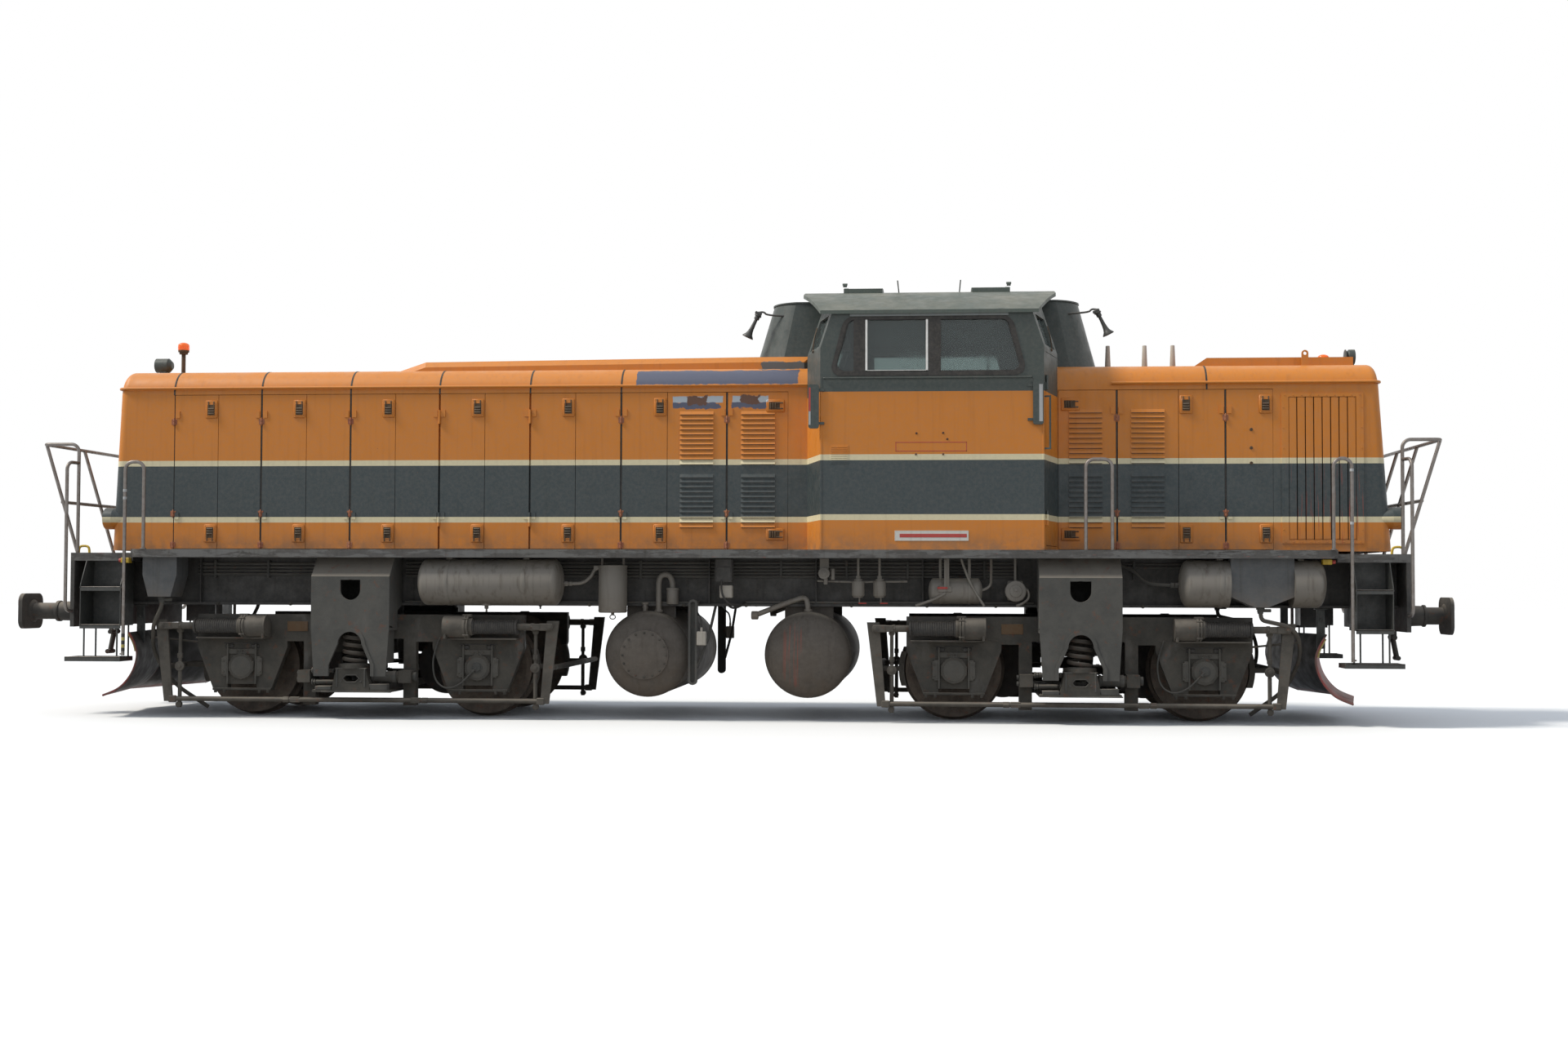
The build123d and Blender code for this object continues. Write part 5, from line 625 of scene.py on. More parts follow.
def twin_of(piece):
    """A copy of a piece with its own mesh."""
    twin = piece.copy()
    twin.data = piece.data.copy()
    bpy.context.scene.collection.objects.link(twin)
    return twin


def reflected(piece, axis):
    """A piece's mirror image across the middle of one axis, with its faces turned outwards."""
    twin = twin_of(piece)
    twin.scale[axis] = -1
    settle(twin)
    edit(twin)
    outwards()
    return twin


def tube(route, radius, *finish):
    """A pipe whose heights count from the rail's top."""
    return pipe([(x, y, RAIL + z) for x, y, z in route], radius, *finish)


def copies(model, moves):
    """One piece made of a modelled piece's copies, each moved; the model itself goes."""
    model, twins = joined(model), []
    for move in moves:
        twin = twin_of(model)
        twin.matrix_world = move @ model.matrix_world
        twins.append(twin)
    bpy.data.objects.remove(model)
    take(*twins)
    bpy.ops.object.transform_apply(location=True, rotation=True, scale=True)
    return joined(twins)


def at(x, y, z, turn=0.0, axis="Z"):
    """A move to a place, after a turn in degrees about one axis."""
    return Matrix.Translation((x, y, z)) @ Matrix.Rotation(math.radians(turn), 4, axis)


def outside(side, x, y, z):
    """A move to a place on one side, where a piece modelled facing the near side faces outwards."""
    return at(x, side * y, z, 0 if side < 0 else 180)


def done(piece, name, look, body="locomotive", angle=35):
    """Names a finished piece, or several as one, gives it its finish and puts it on its body."""
    piece = joined(piece)
    take(piece)
    bpy.ops.object.shade_smooth_by_angle(angle=math.radians(angle))
    piece.name = name
    piece.data.name = name
    piece.data.materials.clear()
    piece.data.materials.append(look)
    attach(piece, body)
    start()
    return piece


def bolt(radius, height):
    """A hexagon head on a washer, facing the near side from the origin."""
    washer = drum((0, -height * 0.12, 0), radius * 1.4, height * 0.24, sides=12)
    head = drum((0, -height * 0.6, 0), radius, height * 0.76, sides=6, round_off=radius * 0.12)
    return joined([washer, head])


def bolts(radius, height, moves, name, look):
    """A set of equal bolts."""
    return done(copies(bolt(radius, height), moves), name, look, angle=30)


def ring_of(count, x, z, radius, side, y):
    """Moves to the places of a bolt circle on a face of one side."""
    angles = [2 * math.pi * number / count for number in range(count)]
    return [outside(side, x + radius * math.cos(a), y, z + radius * math.sin(a)) for a in angles]


# Hood doors, their latches, hinges and joints
LONG_GAPS = (-5.611, -4.692, -3.762, -2.84, -1.908, -0.979, 0.091)
LONG_SEAMS = (-5.146, -4.222, -3.296, -2.373, -1.444, -0.511)
OPEN_BAY = 3
SHORT_GAPS = (3.955, 5.009)
LATCH_Y, LATCH_LOW, LATCH_HIGH = 0.8502, RAIL + 1.81, RAIL + 3.096
HINGE_HEIGHTS = (RAIL + 1.7, RAIL + 2.02, RAIL + 2.96)


def latch():
    """A latch plate with a raised rim, facing the near side."""
    plate = pressed(box((-0.062, 0.062), (-0.0125, 0), (-0.098, 0.084), 0.006), 0.005, 0.0012)
    rim = pressed(box((-0.048, 0.048), (-0.0175, -0.01), (-0.08, 0.05), 0.005), 0.005, -0.004)
    return joined([plate, rim])


def latch_handle():
    """The dark cup in a latch plate and the forked handle lying in it."""
    cup = box((-0.042, 0.042), (-0.015, -0.012), (-0.074, 0.044))
    grips = [drum((0, -0.018, z), 0.0085, 0.062, "X", 12, 0.002) for z in (-0.052, -0.028, -0.004)]
    prongs = [box((x - 0.0055, x + 0.0055), (-0.0215, -0.015), (0.0, 0.072), 0.002) for x in (-0.028, 0.028)]
    return joined([cup] + grips + prongs)


def latch_moves():
    """Where the latches are: body, place and turn of each."""
    moves = {}
    upright = [(seam - 0.0725, bay == OPEN_BAY) for bay, seam in enumerate(LONG_SEAMS)]
    upright += [(4.628, False), (5.3955, False)]
    for side in SIDES:
        for x, opens in upright:
            body = "locomotive"
            if opens:
                body = "engine_door_near_a" if side < 0 else "engine_door_far_a"
            moves.setdefault(body, []).append(outside(side, x, LATCH_Y, LATCH_HIGH))
            flip = outside(side, x, LATCH_Y, LATCH_LOW) @ Matrix.Rotation(math.pi, 4, "Y")
            moves[body].append(flip)
        for x in (0.585, 3.508):
            for z in (LATCH_LOW, LATCH_HIGH):
                level = outside(side, x, LATCH_Y, z) @ Matrix.Rotation(math.pi / 2, 4, "Y")
                moves["locomotive"].append(level)
    return moves


for body, moves in latch_moves().items():
    done(copies(latch(), moves), "latch_plates_" + body, hood_paint, body, 40)
    done(copies(latch_handle(), moves), "latch_handles_" + body, latch_dark, body, 40)


def hinge():
    """A hinge's two knuckles and pin in the gap between two doors, facing the near side."""
    knuckles = [drum((0, -0.006, z), 0.0095, 0.03, "Z", 14, 0.002) for z in (-0.0165, 0.0165)]
    pin = drum((0, -0.006, 0), 0.0055, 0.084, "Z", 10, 0.002)
    wings = [box((x - 0.012, x + 0.012), (-0.003, 0.001), (-0.028, 0.028), 0.001) for x in (-0.016, 0.016)]
    return joined(knuckles + [pin] + wings)


SHUT_GAPS = LONG_GAPS[:OPEN_BAY] + LONG_GAPS[OPEN_BAY + 2:] + SHORT_GAPS
hinge_moves = [outside(side, x, 0.851, z) for side in SIDES for x in SHUT_GAPS for z in HINGE_HEIGHTS]
done(copies(hinge(), hinge_moves), "door_hinges", hinge_primer)

# A dark strip of sealing rubber lies in each gap between two doors.
seals = [box((x - 0.0085, x + 0.0085), (side * 0.832, side * 0.846), (DECK_TOP + 0.022, RAIL + 3.232), 0.002)
         for x in SHUT_GAPS for side in SIDES]
done(seals, "door_seals", rubber)


def joint_shadow_strip(x):
    """A dark strip along a joint that runs over the hood from side to side along its rounded shoulders:
    painted shadow of the joint's gap.
    """
    start()
    width, foot, shoulder, top = 0.016, RAIL + 3.236, 0.25, RAIL + 3.495
    bend = [math.radians(10 * step) for step in range(10)]
    near = [(-HOOD_HALF + shoulder - shoulder * math.cos(a), top - shoulder + shoulder * math.sin(a))
            for a in bend]
    outline = [(-HOOD_HALF, foot)] + near + [(-y, z) for y, z in reversed(near)] + [(HOOD_HALF, foot)]
    bpy.ops.mesh.primitive_circle_add(vertices=len(outline), radius=1, location=(x, 0, 2))
    strip = settle(bpy.context.object)
    for vertex, (y, z) in zip(strip.data.vertices, outline):
        vertex.co = (x - width / 2, y, z)
    edit_edges(strip, lambda a, b: max(a.z, b.z) < foot + 0.001)
    bpy.ops.mesh.delete(type="EDGE")
    bpy.ops.mesh.select_all(action="SELECT")
    pull((width, 0, 0))
    outwards()
    return thickened(strip, 0.006)


# The joints are real; their dark strips are painted shadow of the gaps.
joint_shadows = [joint_shadow_strip(x) for x in LONG_GAPS[:-1] + (4.83,)]
done(joint_shadows, "roof_joint_shadows", rubber, angle=60)

# Shutters in front of the radiators in the short hood
GRILLE = (5.546, 6.334)
GRILLE_Z = (RAIL + 1.757, RAIL + 3.159)
PITCH = (GRILLE[1] - GRILLE[0] - 0.14) / 8
blade = box((0.004, PITCH - 0.005), (-0.0035, 0.0), (GRILLE_Z[0] + 0.004, GRILLE_Z[1] - 0.004), 0.0012)
blade = pressed(blade, 0.006, 0.001)
moves = [outside(side, GRILLE[0] + 0.07 + (number + (side > 0)) * PITCH, 0.8545, 0)
         for side in SIDES for number in range(8)]
done(copies(blade, moves), "shutter_blades", grille_paint)
core = [box((GRILLE[0] + 0.06, GRILLE[1] - 0.06), (side * 0.775, side * 0.8),
            (GRILLE_Z[0] - 0.02, GRILLE_Z[1] + 0.02), 0.004)
        for side in SIDES]
fin = box((-0.0015, 0.0015), (-0.006, 0.0), (GRILLE_Z[0], GRILLE_Z[1]))
fins = copies(fin, [outside(side, GRILLE[0] + 0.08 + 0.013 * number, 0.8, 0)
                    for number in range(49) for side in SIDES])
done(core + [fins], "radiator_cores", motor_iron)
RIVET_Y = 0.8602
rivets = drum((0, -0.0015, 0), 0.006, 0.005, sides=10, round_off=0.0018)
moves = []
for side in SIDES:
    for z in (GRILLE_Z[0] - 0.018, GRILLE_Z[1] + 0.018):
        moves += [outside(side, GRILLE[0] + 0.035 + 0.0798 * number, RIVET_Y, z) for number in range(10)]
    for x in (GRILLE[0] + 0.018, GRILLE[1] - 0.018):
        moves += [outside(side, x, RIVET_Y, GRILLE_Z[0] + 0.1 + 0.2 * number) for number in range(7)]
done(copies(rivets, moves), "grille_rivets", hood_paint)

# Round plugs in the leaf beside the radiator
plug = pressed(drum((0, -0.003, 0), 0.016, 0.007, sides=20, round_off=0.0015), 0.005, -0.002)
moves = [outside(side, 5.257, 0.8503, z) for z in (RAIL + 2.51, RAIL + 2.66, RAIL + 2.84) for side in SIDES]
done(copies(plug, moves), "door_plugs", latch_dark)

# Cab windows and walls
CAB_CENTRE = 2.1365


def window_ring(x_low, x_high, z_low, z_high, slant, corner, width, depth):
    """A frame with rounded corners round a window that narrows upwards, facing the near side."""
    start()
    bpy.ops.mesh.primitive_plane_add(size=1, location=(0, 0, 0), rotation=(math.pi / 2, 0, 0))
    ring = settle(bpy.context.object)
    for vertex in ring.data.vertices:
        high = vertex.co.z > 0
        inset = slant if high else 0.0
        x = x_low + inset if vertex.co.x < 0 else x_high - inset
        vertex.co = (x, 0, z_high if high else z_low)
    edit(ring)
    bpy.ops.mesh.bevel(offset=corner, segments=8, affect="VERTICES")
    bpy.ops.mesh.inset(thickness=width)
    bpy.ops.mesh.delete(type="FACE")
    bpy.ops.mesh.select_all(action="SELECT")
    pull((0, -depth, 0))
    outwards()
    return ring


def both_sides(piece):
    """A piece of the near side and its copy turned round the cab's middle."""
    turned = Matrix.Translation((2 * CAB_CENTRE, 0, 0)) @ Matrix.Rotation(math.pi, 4, "Z")
    return copies(piece, [Matrix.Identity(4), turned])


ring = window_ring(1.15, 3.05, RAIL + 3.318, RAIL + 3.905, 0.15, 0.115, 0.04, 0.01)
ring.location.y = -1.4985
done(both_sides(settle(ring)), "window_rubbers", rubber, angle=50)
PANE_Y, WALL_Y = (-1.506, -1.484), (-1.5035, -1.499)
panes = [slab(x, x + 0.022, *PANE_Y, 3.362, 3.872, 0.003) for x in (1.498, 2.08)]
panes += [slab(1.498, 2.102, *PANE_Y, z, z + 0.022, 0.003) for z in (3.35, 3.862)]
done(both_sides(panes), "sliding_window_frames", aluminium)
visor = pressed(slab(1.35, 2.868, -1.5165, -1.5, 3.896, 3.94, 0.002), 0.006, -0.002)
lip = bar(2.109, -1.517, 3.895, 0.0045, 1.518, 10)
hooks = [slab(x - 0.03, x + 0.03, -1.5175, -1.5, 3.944, 3.962, 0.002) for x in (1.42, 1.98, 2.8)]
done(both_sides([visor, lip] + hooks), "window_visors", visor_metal)

# Louvred air inlet, a blank plate and the outline of a lost one on the cab's side
slats = [slab(1.172, 1.328, -1.506, -1.499, z - 0.005, z + 0.005, 0.002)
         for z in [2.488 + 0.0205 * number for number in range(8)]]
plate = pressed(slab(1.16, 1.34, *WALL_Y, 2.47, 2.65, 0.0015), 0.012, -0.002)
done(both_sides([plate] + slats), "cab_air_inlets", cab_paint)
sign = pressed(slab(1.783, 2.487, *WALL_Y, 1.73, 1.827, 0.001), 0.003, -0.0008)
done(both_sides(sign), "blank_plates", plate_white)
band = slab(1.83, 2.47, -1.5042, -1.502, 1.762, 1.797, 0.0005)
done(both_sides(band), "blank_plate_bands", plate_red)
trim = [slab(1.79, 2.47, -1.5012, -1.4995, z, z + 0.006) for z in (2.588, 2.672)]
trim += [slab(x, x + 0.006, -1.5012, -1.4995, 2.588, 2.678) for x in (1.79, 2.464)]
done(trim, "old_plate_outline", plate_red)
moves = [at(x, -1.4995, RAIL + z)
         for x, z in ((1.99, 2.762), (2.245, 2.765), (2.285, 2.705), (1.985, 2.56), (2.245, 2.56))]
done(copies(drum((0, -0.002, 0), 0.011, 0.004, sides=14, round_off=0.001), moves), "old_plate_holes",
     rusty_iron)

# Strips down the cab's corners, seams across its roof and the hinges of the hatches
strips = [box((x - 0.008, x + 0.008), (-1.5045, -1.498), (DECK_TOP + 0.01, RAIL + 3.3), 0.002)
          for x in (1.075, 3.198)]
done(both_sides(strips), "cab_corner_strips", cab_paint)
ribs = [slab(x - 0.006, x + 0.006, -1.02, 1.02, 4.3135, 4.3165, 0.001) for x in (1.8, 2.42)]
done(ribs, "roof_seams", roof_paint)
latches = [joined([bar(x, -0.62 + 0.31 * number, 4.346, 0.011, 0.05, 12, 0.002),
                   slab(x - 0.02, x + 0.02, -0.64 + 0.31 * number, -0.6 + 0.31 * number, 4.32, 4.345, 0.003)])
           for x in (1.262, 2.908) for number in range(5)]
done(latches, "hatch_hinges", roof_paint)

# Wipers on the cab's end windows, which look out over each hood
for end, x in (("a", 1.02), ("b", 3.253)):
    toward = -1 if end == "a" else 1
    arms = []
    for y in (-1.16, 1.16):
        arms.append(tube([(x + toward * 0.045, y, 3.6), (x + toward * 0.05, y * 0.99, 3.7),
                          (x + toward * 0.01, y * 0.93, 3.84)], 0.006, 2))
        arms.append(bar(x + toward * 0.04, y, 3.598, 0.016, 0.03, 14, 0.003))
    done(arms, "wipers_" + end, latch_dark)

# Mirror faces, which look along the locomotive, and their edges of red and white
glasses = [slab(x - 0.0008, x + 0.0008, -1.526, -1.504, z0, z1, 0.0004)
           for x, z0, z1 in ((0.953, 2.84, 3.21), (3.199, 2.87, 3.245))]
done(both_sides(glasses), "mirror_glasses", mirror_glass)
EDGE_Y = (-1.5303, -1.5285)
done(both_sides(slab(0.956, 0.974, *EDGE_Y, 2.975, 3.205)), "mirror_red_edges", plate_red)
edges = [slab(0.956, 0.974, *EDGE_Y, 2.845, 2.975), slab(3.158, 3.192, *EDGE_Y, 2.87, 3.225)]
done(both_sides(edges), "mirror_pale_edges", worn_white)

# Lamps
lamp_moves = [at(x, side * 0.77, RAIL + 1.97, turn)
              for x, turn in ((-6.35, -90), (6.7, 90)) for side in SIDES]


def lamp_rim():
    """The bright rim of a corner lamp, facing the near side; its front lies at the origin."""
    rim = pressed(drum((0, 0.012, 0), 0.108, 0.024, sides=40, round_off=0.005), 0.014, -0.01)
    screws = [drum((0.101 * math.cos(a), 0.001, 0.101 * math.sin(a)), 0.0035, 0.002, sides=8)
              for a in (0.785, 2.356, 3.927, 5.498)]
    return joined([rim] + screws)


def lamp_lens(radius):
    """A lamp's domed lens, facing the near side."""
    lens_piece = drum((0, 0.01, 0), radius, 0.012, sides=40)
    edit(lens_piece, lambda normal: normal.y < -0.95)
    for inset, depth in ((radius * 0.25, 0.003), (radius * 0.3, 0.0025), (radius * 0.25, 0.001)):
        bpy.ops.mesh.inset(thickness=inset, depth=depth)
    start()
    return lens_piece


done(copies(lamp_rim(), lamp_moves), "corner_lamp_rims", chrome)
done(copies(lamp_lens(0.092), lamp_moves), "corner_lamp_lenses", clear_lens, angle=40)
TOP_LAMPS = ((-6.167, -90, RAIL + 3.645), (6.44, 90, RAIL + 3.65))
hoods = []
for x, turn, z in TOP_LAMPS:
    rim = pressed(drum((0, 0.03, 0), 0.0755, 0.06, sides=36, round_off=0.004), 0.008, -0.014)
    hoods.append(copies(rim, [at(x, 0, z, turn)]))
    hoods.append(drum((x - math.copysign(0.09, x), 0, z), 0.0765, 0.008, "X", 36, 0.002))
done(hoods, "top_lamp_rims", dark_paint)
lens_moves = [at(x, 0, z, turn) @ Matrix.Translation((0, 0.006, 0)) for x, turn, z in TOP_LAMPS]
done(copies(lamp_lens(0.066), lens_moves), "top_lamp_lenses", clear_lens, angle=40)

# Warning beacons: a ribbed amber dome on a dark foot
feet, domes = [], []
for x, y, z in ((-5.75, -0.3, 3.765), (6.13, 0.0, 3.59)):
    feet += posts(x, y, (z - 0.004, 0.056, 0.022, 28, 0.003), (z - 0.024, 0.044, 0.026, 24, 0.002))
    domes.append(domed((x, y, RAIL + z + 0.046), 0.058, 0.084, 0.034, "Z", (1,), 28, 6))
    domes += [post(x, y, z + 0.014 + 0.01 * ring, 0.0592, 0.0035, 28) for ring in range(4)]
feet += posts(-5.75, -0.3, (3.62, 0.0215, 0.25, 18, 0.002), (3.505, 0.045, 0.018, 20, 0.004))
done(feet, "beacon_feet", latch_dark)
done(domes, "beacon_domes", beacon_lens, angle=40)
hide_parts("beacons")

# Tapered aerials on the short hood
cones = []
for x in (3.948, 4.323, 4.609):
    cones += posts(x, 0, (3.655, 0.031, 0.255, 24, 0.003, 0.021), (3.506, 0.0318, 0.022, 24, 0.003))
aerials = done(cones, "aerial_cones", aerial_grey)
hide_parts("antennas")

# Tanks and equipment below the walkway
def mirrored(*pieces):
    """Pieces of the near side as one, with their mirror image on the far side."""
    near = joined(list(pieces))
    return joined([near, reflected(near, 1)])


def band_round(centre, radius, width, axis="X", sides=48):
    """A flat strap round a tank."""
    return drum(centre, radius + 0.004, width, axis, sides, 0.0015)


FUEL_Z = 0.622
shells, covers, cover_bolts = [], [], []
for x in (-0.655, 0.925):
    shells.append(domed((x, 0, RAIL + FUEL_Z), 0.42, 2.572, 0.15, "Y", sides=72, rings=9))
    for y in (-1.12, 1.12):
        shells.append(band_round((x, y, RAIL + FUEL_Z), 0.4195, 0.012, "Y", 72))
    for y in (-0.9, 0.9):
        shells.append(slab(x - 0.24, x + 0.24, y - 0.04, y + 0.04, 0.9, 1.092, 0.006))
done(shells, "fuel_tank_shells", fuel_tank_paint)
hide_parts("fuel_tanks")
for side in SIDES:
    covers.append(disc(-0.668, side * 1.262, FUEL_Z - 0.006, 0.24, 0.052, 64, 0.005))
    cover_bolts += ring_of(16, -0.668, RAIL + FUEL_Z - 0.006, 0.216, side, 1.2875)
done(covers, "tank_covers", fuel_tank_paint)
bolts(0.0085, 0.01, cover_bolts, "tank_cover_bolts", bogie_iron)

neck = posts(-0.696, -1.05, (1.06, 0.024, 0.12, 16), (1.118, 0.036, 0.024, 12, 0.004),
             (1.08, 0.03, 0.012, 16))
breather = tube([(-0.56, -1.05, 0.98), (-0.56, -1.05, 1.2), (-0.56, -1.05, 1.405), (-0.421, -1.05, 1.405),
                 (-0.421, -1.05, 1.26)], 0.028, 5)
can = posts(-0.421, -1.05, (1.19, 0.058, 0.15, 32, 0.006), (1.262, 0.064, 0.022, 32, 0.004),
            (1.118, 0.061, 0.012, 32, 0.003))
vent = tube([(0.925, -1.08, 0.99), (0.925, -1.08, 1.11), (0.9, -1.08, 1.185), (0.8, -1.08, 1.16),
             (0.4, -1.08, 1.005)], 0.026, 5)
flanges = [post(0.925, -1.08, 1.055, 0.04, 0.022, 20, 0.003),
           post(-0.56, -1.05, 1.045, 0.042, 0.022, 20, 0.003)]
ball = bar(0.4, -1.08, 1.005, 0.042, 0.07, 24, 0.01)
done(mirrored(*neck, breather, *can, vent, *flanges, ball), "tank_pipes", tank_paint)

TANK_Y, TANK_Z = -1.24, 1.326
air = [domed((-2.2015, TANK_Y, RAIL + TANK_Z), 0.228, 1.445, 0.085),
       domed((4.7315, TANK_Y, RAIL + TANK_Z), 0.228, 0.467, 0.085, "X", (-1,)),
       domed((5.7185, TANK_Y, RAIL + TANK_Z), 0.228, 0.325, 0.085, "X", (1,))]
straps = [band_round((x, TANK_Y, RAIL + TANK_Z), 0.228, 0.042) for x in (-2.61, -1.84, 4.88)]
for x in (-2.61, -1.84, 4.88, 5.64):
    straps.append(slab(x - 0.03, x + 0.03, -1.3, -1.18, TANK_Z + 0.21, 1.565, 0.003))
boss = [*posts(-2.24, -1.27, (TANK_Z - 0.222, 0.048, 0.022, 28, 0.004),
               (TANK_Z - 0.244, 0.02, 0.04, 16, 0.003), (TANK_Z - 0.272, 0.01, 0.044, 12, 0.002)),
        slab(-2.246, -2.234, -1.31, -1.262, TANK_Z - 0.262, TANK_Z - 0.25, 0.002)]
done(mirrored(*air, *straps, *boss), "air_tanks", tank_paint)
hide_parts("air_reservoirs")

# Upright air tank, its elbow pipe, filters, valves and the level gauge
Y_LINE = -1.2
upright = posts(-0.995, Y_LINE, (1.262, 0.14, 0.47, 48, 0.014), (1.482, 0.1425, 0.016, 48, 0.003),
                (1.048, 0.142, 0.01, 48, 0.003), (1.018, 0.016, 0.034, 14, 0.002))
upright += [post(x, Y_LINE, 1.525, 0.012, 0.08, 14) for x in (-1.1, -0.89)]
loop = tube([(-0.995 + 0.028 * math.sin(a), Y_LINE, 0.985 + 0.022 * math.cos(a))
             for a in [math.radians(30 * step) for step in range(13)]], 0.005, 2)
elbow = tube([(-1.5, -1.235, TANK_Z - 0.015), (-1.4, -1.235, TANK_Z - 0.015), (-1.285, -1.22, TANK_Z - 0.01),
              (-1.205, -1.205, TANK_Z + 0.06), (-1.18, Y_LINE, 1.455), (-1.12, Y_LINE, 1.47)], 0.017, 4)
fittings = [*bars(-1.235, TANK_Z - 0.015, (-1.452, 0.027, 0.03, 6, 0.003), (-1.408, 0.023, 0.03, 6, 0.003)),
            slab(-1.185, -1.13, Y_LINE - 0.02, Y_LINE + 0.02, 1.45, 1.492, 0.004)]
done(mirrored(*upright, loop, elbow, *fittings), "upright_air_tanks", tank_paint)
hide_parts("underframe_equipment")

bowls = []
for x in (1.422, 1.63):
    bowls += [*posts(x, Y_LINE, (1.27, 0.062, 0.15, 32, 0.01), (1.35, 0.04, 0.03, 24, 0.004),
                     (1.192, 0.048, 0.02, 24, 0.004), (1.46, 0.013, 0.21, 14),
                     (1.38, 0.024, 0.034, 6, 0.003)),
              post(x + 0.012, Y_LINE, 1.16, 0.008, 0.05, 12)]
link_pipe = tube([(1.02, -1.17, 1.345), (1.3, -1.17, 1.335), (1.56, -1.17, 1.335), (1.9, -1.17, 1.34)], 0.01)
round_valve = [*discs(1.089, 1.418, (-1.215, 0.056, 0.05, 32, 0.006), (-1.246, 0.03, 0.024, 24, 0.004),
                      (-1.262, 0.014, 0.014, 6, 0.002)),
               slab(1.045, 1.135, -1.19, -1.15, 1.45, 1.565, 0.004),
               post(1.175, -1.205, 1.41, 0.02, 0.11, 16, 0.004),
               post(1.105, -1.205, 1.35, 0.02, 0.08, 16, 0.004)]
done(mirrored(*bowls, link_pipe, *round_valve), "air_filters", tank_paint)
cocks = [bar(x, Y_LINE - 0.03, 1.128, 0.007, 0.075, 10, 0.002) for x in (1.465, 1.673)]
cocks.append(slab(2.19, 2.29, -1.345, -1.331, 1.268, 1.29, 0.004))
done(mirrored(*cocks), "valve_handles", plate_red)

lying = [domed((2.3655, -1.2, RAIL + 1.25), 0.125, 0.521, 0.05, "X", SIDES, 40, 6)]
lying += [band_round((x, -1.2, RAIL + 1.25), 0.125, 0.024, "X", 40) for x in (2.22, 2.5)]
lying += [slab(x - 0.014, x + 0.014, -1.24, -1.16, 1.35, 1.565, 0.003) for x in (2.22, 2.5)]
lying += [slab(2.255, 2.305, -1.342, -1.318, 1.27, 1.565, 0.004),
          slab(2.19, 2.33, -1.336, -1.3, 1.236, 1.3, 0.008)]
round_tank = [*discs(2.945, 1.25, (-1.215, 0.104, 0.11, 40, 0.016), (-1.272, 0.06, 0.02, 32, 0.006)),
              slab(2.87, 3.02, -1.18, -1.12, 1.16, 1.35, 0.01),
              disc(2.945, -1.29, 1.265, 0.018, 0.024, 6, 0.003),
              post(2.945, -1.16, 1.46, 0.014, 0.21, 14)]
lines = [tube(route, radius, 4) for radius, route in (
    (0.013, ((2.71, -1.235, 1.56), (2.71, -1.235, 1.42), (2.705, -1.235, 1.262), (2.56, -1.235, 1.248))),
    (0.012, ((2.42, -1.32, 1.56), (2.47, -1.322, 1.4), (2.56, -1.325, 1.23), (2.64, -1.325, 1.105))),
    (0.014, ((2.27, -1.325, 1.232), (2.19, -1.322, 1.18), (2.08, -1.318, 1.14), (1.98, -1.315, 1.105))),
    (0.013, ((3.02, -1.235, 1.28), (3.07, -1.24, 1.27), (3.075, -1.24, 1.15), (2.95, -1.24, 1.105))))]
done(mirrored(*lying, *round_tank, *lines), "brake_air_tanks", tank_paint)

switch_box = [slab(0.026, 0.19, -1.262, -1.1, 1.33, 1.56, 0.008),
              slab(0.04, 0.176, -1.268, -1.258, 1.35, 1.48, 0.004)]
done(mirrored(*switch_box), "valve_boxes", frame_paint)
pale_box = [pressed(slab(0.068, 0.192, -1.255, -1.15, 1.176, 1.3, 0.008), 0.012, -0.003),
            slab(-0.146, -0.056, -1.33, -1.262, 0.714, 0.848, 0.006),
            post(-0.101, -1.298, 0.868, 0.012, 0.04, 16)]
done(mirrored(*pale_box), "connection_boxes", aerial_grey)
wires = [tube([(0.09, -1.265, 1.345), (0.08, -1.285, 1.22), (0.17, -1.27, 1.11), (0.26, -1.12, 1.085),
               (0.312, -1.02, 1.13)], 0.01),
         tube([(0.13, -1.215, 1.18), (0.13, -1.23, 1.11), (0.22, -1.16, 1.06), (0.306, -1.02, 1.13)], 0.011),
         tube([(-0.101, -1.298, 0.88), (-0.1, -1.298, 0.98), (-0.16, -1.23, 1.03), (-0.185, -1.06, 1.116)],
              0.009)]
done(mirrored(*wires), "wiring_hoses", rubber)

gauge = slab(-0.234, -0.146, -1.29, -1.24, 0.326, 1.16)
edit_edges(gauge, lambda a, b: abs(a.y - b.y) > 0.01)
bpy.ops.mesh.bevel(offset=0.042, segments=6, affect="EDGES")
start()
gauge = pressed(gauge, 0.022, -0.03)
guard = [slab(-0.21, -0.17, -1.262, -1.258, z - 0.002, z + 0.002)
         for z in [0.4 + 0.036 * number for number in range(20)]]
arm = slab(-0.22, -0.16, -1.245, -0.96, 1.1, 1.14, 0.003)
brace = tube([(-0.15, -1.24, 0.5), (-0.06, -1.08, 0.78), (0.0, -0.98, 1.095)], 0.014, 3, False)
done(mirrored(gauge, *guard, arm, brace), "level_gauges", shaded_bracket_iron)

